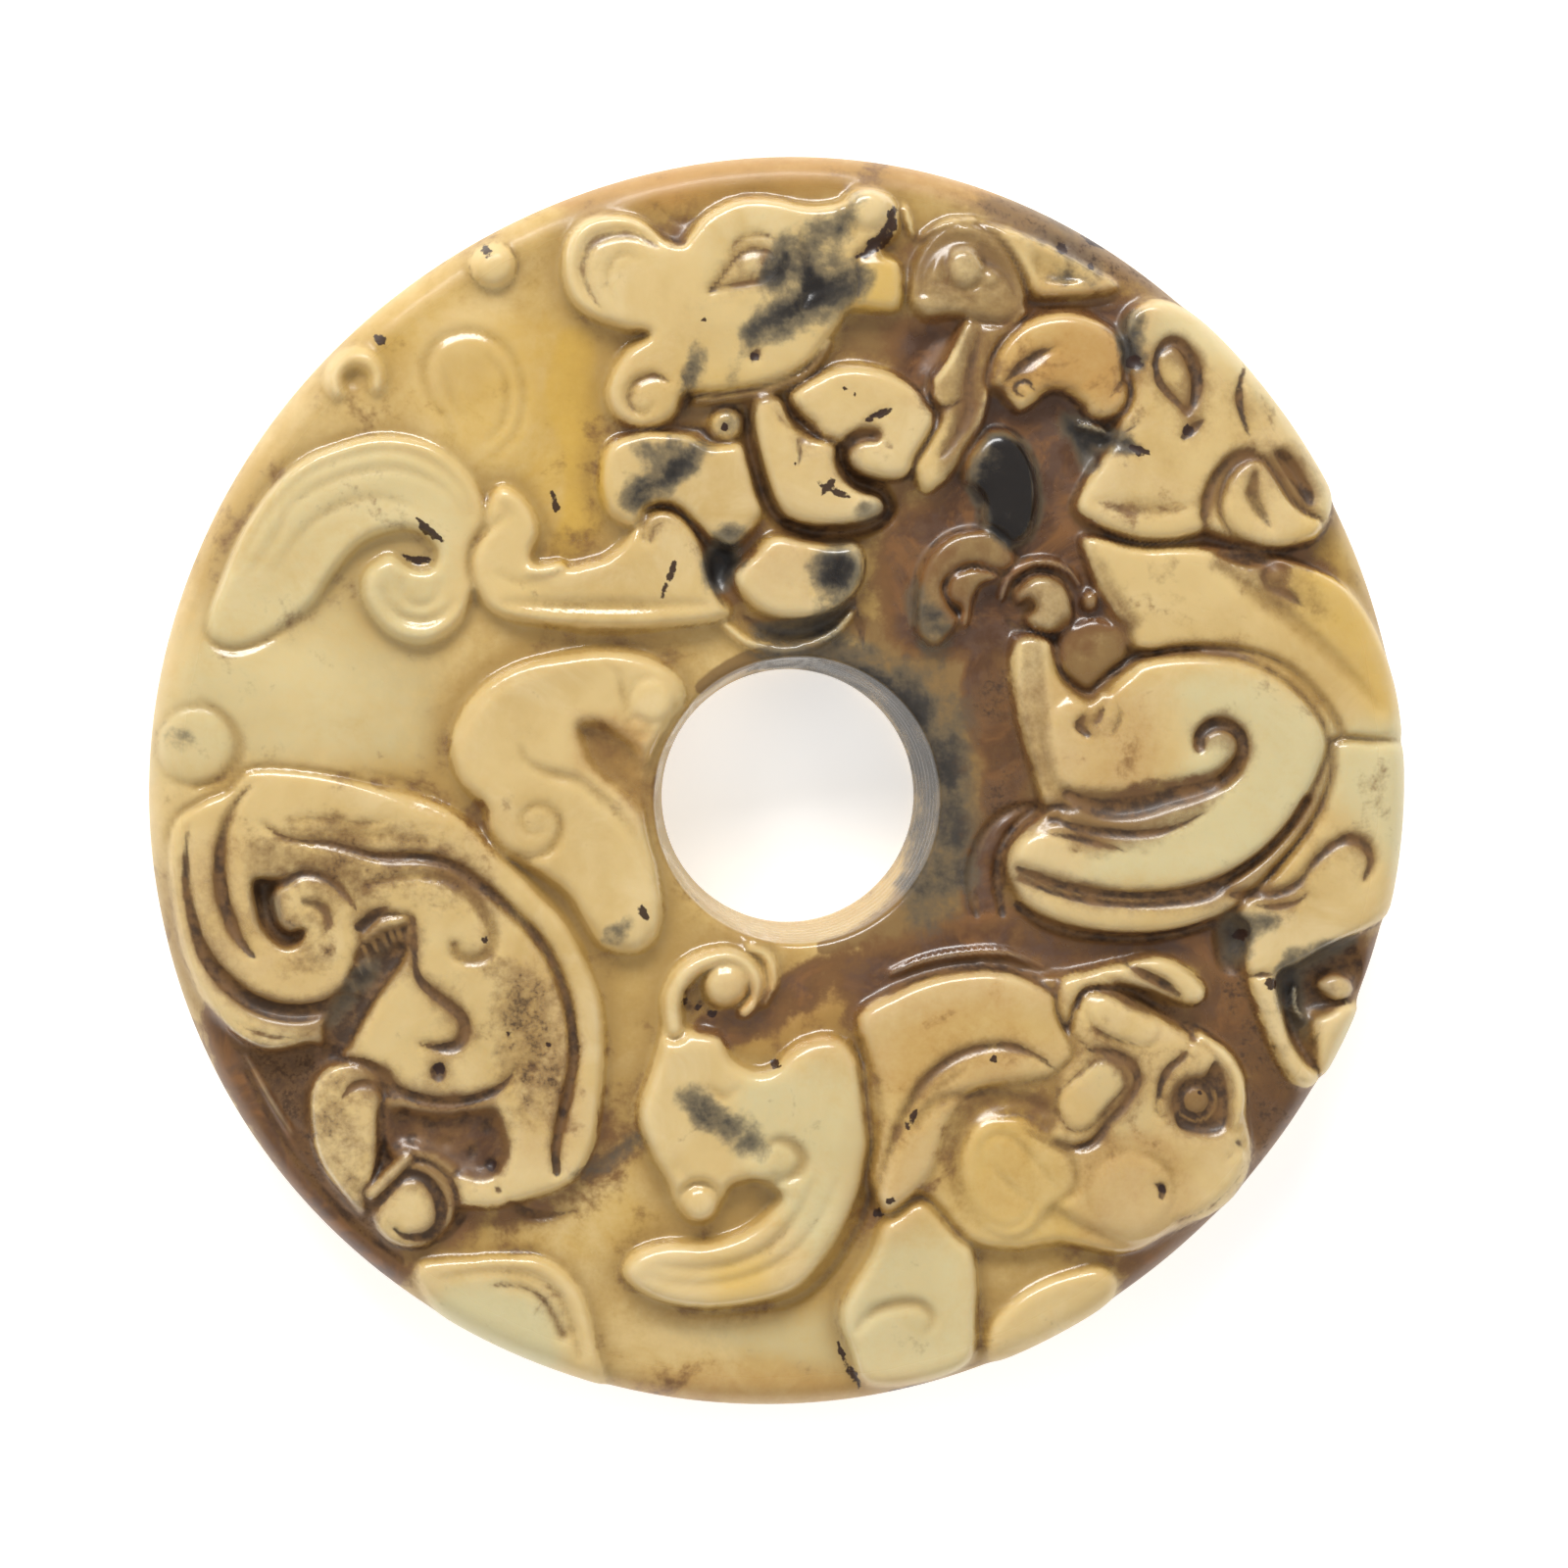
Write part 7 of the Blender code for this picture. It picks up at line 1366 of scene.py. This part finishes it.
# %% A socket that can do sums
class Socket:
    """One output of a node, or a result worked out from it."""

    def __init__(self, tree, out):
        self.tree, self.out = tree, out

    def node(self, kind, settings, inputs, output=0):
        """Add any node: its settings first, then values or links for its sockets."""
        node = self.tree.nodes.new(kind)
        for key, value in settings.items():
            setattr(node, key, value)
        for key, value in inputs.items():
            if isinstance(value, Socket):
                self.tree.links.new(value.out, node.inputs[key])
            else:
                node.inputs[key].default_value = value
        return Socket(self.tree, node.outputs[output])

    def maths(self, operation, *others):
        """A Math node on this value and others."""
        inputs = dict(enumerate((self,) + others))
        return self.node("ShaderNodeMath", {"operation": operation}, inputs)

    def __add__(self, other):
        return self.maths("ADD", other)

    def __mul__(self, other):
        return self.maths("MULTIPLY", other)

    def __sub__(self, other):
        return self.maths("SUBTRACT", other)

    def __rsub__(self, other):
        return self.node("ShaderNodeMath", {"operation": "SUBTRACT"}, {0: other, 1: self})

    __radd__ = __add__
    __rmul__ = __mul__

    def at_least(self, other):
        return self.maths("MAXIMUM", other)

    def step(self, low, high):
        """Rise smoothly from 0 at low to 1 at high, or fall where high is the lower."""
        settings = {"interpolation_type": "SMOOTHSTEP"}
        if low > high:
            return 1 - self.step(high, low)
        return self.node("ShaderNodeMapRange", settings, {"Value": self, 1: low, 2: high})

    def over(self, base, colour):
        """This value mixes a colour over a base colour."""
        return self.node("ShaderNodeMix", {"data_type": "RGBA"},
                         {0: self, 6: base, 7: colour}, output=2)


print("Socket class ready")

# %% [markdown]
# ## The jade
# The stone is one material. Its layers go from the inside out: clouded cream stone with painted
# light and shade that follow the relief (raised forms paler, broad hollows ochre), honey and tan
# stone, olive in grooves and hollows that is painted shade and kept dirt together, the brown ground,
# dirt in the grooves, black-green patches and ink flecks, and last the worn edges, which are palest:
# partly wear and partly a painted highlight. Fine noise moves the threshold of each layer, so its
# edge looks soaked in and not painted. Jade lets light in, so a little constant subsurface
# scattering is set. Most names in this part are masks: 1 where the next colour shows, and 0 where
# not.

# %% Colours of the jade
def colour(red, green, blue):
    """A screen colour from 0 to 255, as the light values that a shader needs."""
    return tuple((c / 255 / 12.92 if c < 11 else ((c / 255 + 0.055) / 1.055) ** 2.4)
                 for c in (red, green, blue)) + (1.0,)


CREAM = colour(214, 186, 128)
CLOUD = colour(198, 166, 104)
PALE_GREEN = colour(210, 199, 154)
# Painted light: the paler cream that raised forms get.
LIT_TOP_CREAM = colour(228, 207, 160)
HONEY = colour(206, 166, 70)
# Olive for grooves and hollows: painted shade, together with the dirt that was kept there.
OLIVE_SHADE_AND_DIRT = colour(158, 124, 64)
TAN = colour(178, 130, 66)
TAN_BROWN = colour(124, 88, 50)
BROWN = colour(84, 54, 32)
MAUVE = colour(98, 72, 56)
UMBER = colour(132, 102, 60)
# Ochre for broad hollows: painted shade, stronger where more dirt was kept.
OCHRE_SHADE_AND_STAIN = colour(192, 156, 84)
RUST = colour(146, 100, 54)
EARTH_BROWN = colour(118, 84, 46)
GROOVE_BROWN = colour(56, 36, 22)
SMOKE = colour(98, 88, 70)
GREY_BLUE = colour(56, 52, 48)
BLACK = colour(24, 18, 15)
INK = colour(48, 24, 14)
# Cream for proud edges: their wear, together with a painted highlight.
EDGE_WEAR_AND_HIGHLIGHT = colour(232, 214, 170)
print("cream in light values:", [round(c, 3) for c in CREAM])

# %% Build the jade material
jade = bpy.data.materials.new("stained_cream_jade")
jade.use_nodes = True
tree = jade.node_tree
tree.nodes.clear()
shader = tree.nodes.new("ShaderNodeBsdfPrincipled")
output = tree.nodes.new("ShaderNodeOutputMaterial")
tree.links.new(shader.outputs[0], output.inputs[0])
place_node = tree.nodes.new("ShaderNodeTexCoord")
place = Socket(tree, place_node.outputs["Object"])


def noise(size, detail=3.0, rough=0.55, twist=0.0):
    """Noise whose grains have a size in millimetres, about 0 to 1."""
    inputs = {"Vector": place, "Scale": 1000 / size, "Detail": detail, "Roughness": rough,
              "Distortion": twist}
    return place.node("ShaderNodeTexNoise", {}, inputs)


def painted(name):
    """A value stored on the points of the mesh."""
    return place.node("ShaderNodeAttribute", {"attribute_name": name}, {}, output=2)


relief, crease, hollow, dirt = (painted(name) for name in ("relief", "groove", "hollow", "dirt"))
clouds = noise(7.0, 4.0, 0.6, 0.4)
mottle = noise(1.6, 4.0, 0.6)
grain = noise(0.5, 3.0, 0.6)
fine_grain = noise(0.17, 2.0, 0.5)
patches = noise(3.2, 4.0, 0.65, 0.9)
ragged = mottle * 0.5 + grain * 0.35 + fine_grain * 0.15 - 0.5

stone = clouds.step(0.35, 0.68).over(CREAM, CLOUD)
broad, grime, halo = painted("broad"), painted("grime"), painted("halo")
# Painted light: forms that stand above their surroundings are made paler, as if lit.
lit_raised_forms = (broad * -0.8 + (patches - 0.5) * 1.5 + (clouds - 0.5) * 0.8).step(0.0, 0.7)
stone = (lit_raised_forms * 0.55).over(stone, LIT_TOP_CREAM)
# Painted shade: broad hollows turn ochre, more so where dirt was kept.
hollow_shade_and_stain = broad * 0.9 + (patches - 0.5) * 1.2 + (clouds - 0.5) * 0.6 + ragged * 0.6
stone = (hollow_shade_and_stain.step(-0.1, 0.5) * (0.35 + 0.5 * grime)).over(stone, OCHRE_SHADE_AND_STAIN)
pale = (painted("pale") + ragged * 0.8).step(0.2, 0.9)
stone = (pale * 0.85).over(stone, PALE_GREEN)
honey = (painted("honey") * (0.9 + broad * 0.25) + (patches - 0.5) * 0.6
         + ragged * 0.5).step(0.1, 0.95)
stone = (honey * 0.85).over(stone, HONEY)
tan = (painted("tan") * (0.9 + broad * 0.25) + (patches - 0.5) * 0.6 + ragged * 0.6).step(0.15, 1.0)
stone = (tan * 0.85).over(stone, TAN)

# Painted shade and dirt: grooves, hollows and the dirt round forms turn olive.
soil_and_shade = hollow * 1.4 + crease * 0.9 + halo * 0.5 + ragged * 0.6
olive_shade_and_dirt = soil_and_shade.step(-0.1, 0.45) * (0.45 + 0.5 * grime)
stone = (olive_shade_and_dirt * 0.85).over(stone, OLIVE_SHADE_AND_DIRT)
earth = (halo * 1.2 + hollow * grime * 0.8 + ragged * 1.0 + (patches - 0.5) * 0.6).step(0.12, 0.85)
stone = (earth * 0.75).over(stone, EARTH_BROWN)

umber = (painted("umber") * (1.45 - relief * 0.5) + hollow * 0.3 + ragged * 0.9).step(0.25, 0.95)
stone = (umber * 0.92).over(stone, UMBER)
low = (relief + ragged * 0.5).step(1.15, 0.2)
stained = (painted("brown") * (0.25 + 0.9 * low) + hollow * 0.35 + ragged * 0.9
           + (patches - 0.5) * 1.2 + (mottle - 0.5) * 0.7)
stone = stained.step(0.15, 0.6).over(stone, TAN_BROWN)
brown_stone = mottle.step(0.4, 0.62).over(BROWN, MAUVE)
brown_stone = (patches.step(0.46, 0.64) * 0.7).over(brown_stone, RUST)
brown = stained.step(0.5, 1.05)
stone = (brown * 0.95).over(stone, brown_stone)

caught = (dirt + crease * 1.5 * grime + ragged * 0.9 + (patches - 0.45) * 0.9).step(0.34, 0.8)
packed = (mottle * 0.6 + grain * 0.4).step(0.4, 0.6)
stone = (caught * 0.9).over(stone, packed.over(GROOVE_BROWN, EARTH_BROWN))

wisps = (patches - 0.5) * 1.1 + (mottle - 0.5) * 1.4 + (grain - 0.5) * 0.5
shade = painted("dark")
smoky = shade * 1.1 + wisps * shade.step(0.0, 0.3)
stone = (smoky.step(0.12, 0.65) * 0.8).over(stone, SMOKE)
stone = (smoky.step(0.5, 1.0) * 0.9).over(stone, GREY_BLUE)
core = (shade + wisps * 0.3).step(0.75, 1.0)
stone = (core * 0.9).over(stone, BLACK)
specks = painted("speckle") + (mottle - 0.5) * 1.4 + (grain - 0.5) * 1.1 + hollow * 0.4
stone = (specks.step(0.35, 1.1) * 0.6).over(stone, EARTH_BROWN)
speckle = (specks + (fine_grain - 0.5) * 0.9).step(0.85, 1.35)
stone = (speckle * 0.75).over(stone, GROOVE_BROWN)
ink = painted("ink").step(0.0, 0.3) * (ragged * 2.2 + (grain - 0.5) * 1.2) + painted("ink")
ink = ink.step(0.4, 0.7)
stone = (ink * 0.95).over(stone, INK)

# Partly wear and partly a painted highlight: edges that stand proud are made paler.
worn_and_highlit_edges = (crease * -1.0 + ragged * 0.12).step(0.06, 0.3) * (1 - ink) * (1 - core)
stone = (worn_and_highlit_edges * 0.3 * (1 - umber * 0.6)).over(stone, EDGE_WEAR_AND_HIGHLIGHT)
tree.links.new(stone.out, shader.inputs["Base Color"])
print(len(tree.nodes), "nodes so far")

# %% [markdown]
# The polish is waxy: glossy on smooth stone, duller where dirt sits or the surface is pitted. Real
# grooves and forms are in the mesh, so the bump carries only what is finer than that: the wavy
# skin that hand polishing leaves, tiny pits, and hair-fine scratches.

# %% Polish of the jade
dull = (0.22 + painted("rim") * 0.3 + caught * 0.25 + speckle * 0.25 + earth * 0.1
        + (mottle - 0.5) * 0.12)
tree.links.new(dull.out, shader.inputs["Roughness"])
scratches = noise(0.12, 1.0, 0.5, 1.5)
pits = noise(0.35, 2.0, 0.5).step(0.66, 0.74)
surface = mottle * 0.8 + grain * 0.25 + scratches * 0.06 - pits * 0.18 - speckle * 0.2
bump = surface.node("ShaderNodeBump", {}, {"Strength": 0.35, "Distance": 0.00006,
                                           "Height": surface})
tree.links.new(bump.out, shader.inputs["Normal"])
for name, value in (("IOR", 1.6), ("Subsurface Weight", 0.25), ("Subsurface Scale", 0.0007),
                    ("Subsurface Radius", (1.0, 0.7, 0.35)), ("Coat Roughness", 0.12)):
    shader.inputs[name].default_value = value
shader.inputs["Coat Weight"].default_value = 0.15
print(len(tree.nodes), "nodes in the jade material")

# %% [markdown]
# ## Marks of the drill and the border lines
# The hole was bored with a tube drill and sand, which leaves fine rings round its wall. The hidden
# back is flat, with two thin border lines, one near the rim and one round the hole, as on other
# discs of the kind. Such marks repeat round one axis, so a small Geometry Nodes tree adds them all:
# it moves each point of the finished mesh by a height worked out from where the point is.

# %% A Geometry Nodes tree for the repeated cuts
cuts = bpy.data.node_groups.new("finish_cuts", "GeometryNodeTree")
face = cuts.interface
face.new_socket("Geometry", in_out="INPUT", socket_type="NodeSocketGeometry")
CUT_SIZES = {"Drill ring pitch": 0.55 * MM, "Drill ring depth": 0.03 * MM,
             "Border line depth": 0.16 * MM, "Border line width": 0.45 * MM,
             "Outer line radius": 25.2 * MM, "Inner line radius": 8.6 * MM,
             "Hole centre X": HOLE_X * MM, "Hole centre Y": HOLE_Y * MM,
             "Wall radius": 6.9 * MM}
for name, value in CUT_SIZES.items():
    face.new_socket(name, in_out="INPUT", socket_type="NodeSocketFloat").default_value = value
face.new_socket("Seed", in_out="INPUT", socket_type="NodeSocketInt").default_value = 7
face.new_socket("Finish", in_out="INPUT", socket_type="NodeSocketMaterial")
face.new_socket("Geometry", in_out="OUTPUT", socket_type="NodeSocketGeometry")
given = cuts.nodes.new("NodeGroupInput")
size = {name: Socket(cuts, given.outputs[name]) for name in CUT_SIZES}
start = Socket(cuts, given.outputs["Geometry"])
spot = start.node("GeometryNodeInputPosition", {}, {})
parts = spot.node("ShaderNodeSeparateXYZ", {}, {0: spot})
x_part, y_part, z_part = (Socket(cuts, parts.out.node.outputs[axis]) for axis in "XYZ")
from_x, from_y = x_part - size["Hole centre X"], y_part - size["Hole centre Y"]
from_hole = (from_x * from_x + from_y * from_y).maths("SQRT")
from_middle = (x_part * x_part + y_part * y_part).maths("SQRT")
wobble = start.node("ShaderNodeTexNoise", {"noise_dimensions": "4D"},
                    {"Vector": spot, "W": Socket(cuts, given.outputs["Seed"]), "Scale": 300.0})
turns = (z_part.maths("DIVIDE", size["Drill ring pitch"]) + wobble * 0.6) * (2 * math.pi)
wall = from_hole.maths("LESS_THAN", size["Wall radius"])
inside_wall = wall * z_part.maths("GREATER_THAN", 0.6 * MM) * z_part.maths("LESS_THAN", 4.9 * MM)
ring_cut = turns.maths("SINE") * size["Drill ring depth"] * inside_wall


def line_cut(radius, from_centre):
    """A round-bottomed line at one radius."""
    away = (from_centre - radius).maths("ABSOLUTE").maths("DIVIDE", size["Border line width"])
    return (1 - away).at_least(0.0).maths("POWER", 1.5) * size["Border line depth"]


under = z_part.maths("LESS_THAN", 0.01 * MM)
line = line_cut(size["Outer line radius"], from_middle).at_least(
    line_cut(size["Inner line radius"], from_hole)) * under
outward = start.node("GeometryNodeInputNormal", {}, {})
along = outward.node("ShaderNodeVectorMath", {"operation": "SCALE"},
                     {0: outward, "Scale": ring_cut})
upward = line.node("ShaderNodeCombineXYZ", {}, {2: line})
offset = along.node("ShaderNodeVectorMath", {"operation": "ADD"}, {0: along, 1: upward})
moved = start.node("GeometryNodeSetPosition", {}, {"Geometry": start, "Offset": offset})
real = moved.node("GeometryNodeRealizeInstances", {}, {0: moved})
finished = real.node("GeometryNodeSetMaterial", {}, {"Geometry": real,
                     "Material": Socket(cuts, given.outputs["Finish"])})
cuts_end = cuts.nodes.new("NodeGroupOutput")
cuts.links.new(finished.out, cuts_end.inputs[0])
print(len(cuts.nodes), "nodes in the tree for the repeated cuts")

# %% Apply the cuts and keep a plain mesh
disc = bpy.data.objects.new("jade_bi_disc", disc_mesh)
bpy.context.scene.collection.objects.link(disc)
modifier = disc.modifiers.new("finish_cuts", "NODES")
modifier.node_group = cuts
for item in cuts.interface.items_tree:
    if item.in_out == "INPUT" and item.name == "Finish":
        modifier[item.identifier] = jade
    elif item.in_out == "INPUT" and item.name in CUT_SIZES:
        modifier[item.identifier] = CUT_SIZES[item.name]
bpy.context.view_layer.update()
graph = bpy.context.evaluated_depsgraph_get()
finished_mesh = bpy.data.meshes.new_from_object(disc.evaluated_get(graph))
disc.modifiers.remove(modifier)
disc.data = finished_mesh
finished_mesh.name = "jade_bi_disc"
print("finished mesh:", len(finished_mesh.polygons), "faces,",
      [material.name for material in finished_mesh.materials])

# %% [markdown]
# ## Floor, lights and camera
# The disc lies on a plain white floor and is seen from almost straight above. Two things show a
# low relief well: light that comes in low from one side, here from the top of the picture, and a
# gloss that has something bright to mirror there. Wide soft lights on the other sides fill in.
# There is no light straight overhead, because the polished stone would mirror it as a grey veil.

# %% Floor and lights
FLOOR_HALF = 3.0
floor_mesh = bpy.data.meshes.new("floor")
floor_mesh.from_pydata([(-FLOOR_HALF, -FLOOR_HALF, 0), (FLOOR_HALF, -FLOOR_HALF, 0),
                        (FLOOR_HALF, FLOOR_HALF, 0), (-FLOOR_HALF, FLOOR_HALF, 0)],
                       [], [(0, 1, 2, 3)])
floor = bpy.data.objects.new("floor", floor_mesh)
bpy.context.scene.collection.objects.link(floor)
white = bpy.data.materials.new("white_floor")
white.use_nodes = True
white_shader = white.node_tree.nodes["Principled BSDF"]
white_shader.inputs["Base Color"].default_value = (0.93, 0.93, 0.93, 1)
white_shader.inputs["Roughness"].default_value = 0.9
white_shader.inputs["Specular IOR Level"].default_value = 0.1
white_shader.inputs["Emission Color"].default_value = (1, 1, 1, 1)
white_shader.inputs["Emission Strength"].default_value = 0.42
floor_mesh.materials.append(white)


def softbox(name, place, width, height, power, tint=(1.0, 1.0, 1.0)):
    """A rectangle of light that faces the disc."""
    light = bpy.data.lights.new(name, "AREA")
    light.shape = "RECTANGLE"
    light.size, light.size_y = width, height
    light.energy, light.color = power, tint
    lamp = bpy.data.objects.new(name, light)
    lamp.location = place
    towards_disc = Vector((0, 0, 0.003)) - Vector(place)
    lamp.rotation_euler = towards_disc.to_track_quat("-Z", "Y").to_euler()
    bpy.context.scene.collection.objects.link(lamp)


softbox("key_from_the_top", (-0.10, 0.52, 0.34), 0.50, 0.16, 3.6)
for name, place, power in (("fill_left", (-0.60, 0.05, 0.42), 1.5),
                           ("fill_right", (0.60, 0.02, 0.42), 1.3),
                           ("fill_bottom", (0.0, -0.60, 0.46), 1.3)):
    softbox(name, place, 0.6, 0.4, power)
    bpy.data.objects[name].visible_glossy = False
world = bpy.data.worlds.new("studio")
world.use_nodes = True
world.node_tree.nodes["Background"].inputs[0].default_value = (1, 1, 1, 1)
world.node_tree.nodes["Background"].inputs[1].default_value = 0.32
bpy.context.scene.world = world
bpy.context.scene.view_settings.view_transform = "Standard"
print("floor, four softboxes and a dim room")

# %% Camera
lens = bpy.data.cameras.new("camera")
lens.lens, lens.sensor_width = 100.0, 36.0
lens.clip_start, lens.clip_end = 0.01, 20.0
camera = bpy.data.objects.new("camera", lens)
camera.matrix_world = Matrix((*zip(RIGHT, UP, BACKWARDS, EYE * MM), (0, 0, 0, 1)))
bpy.context.scene.collection.objects.link(camera)
bpy.context.scene.camera = camera
print("camera", round((EYE - AIM).length), "mm from the disc")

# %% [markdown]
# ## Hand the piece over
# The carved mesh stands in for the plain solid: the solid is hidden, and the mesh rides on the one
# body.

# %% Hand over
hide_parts("jade_disc")
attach(disc, "root")
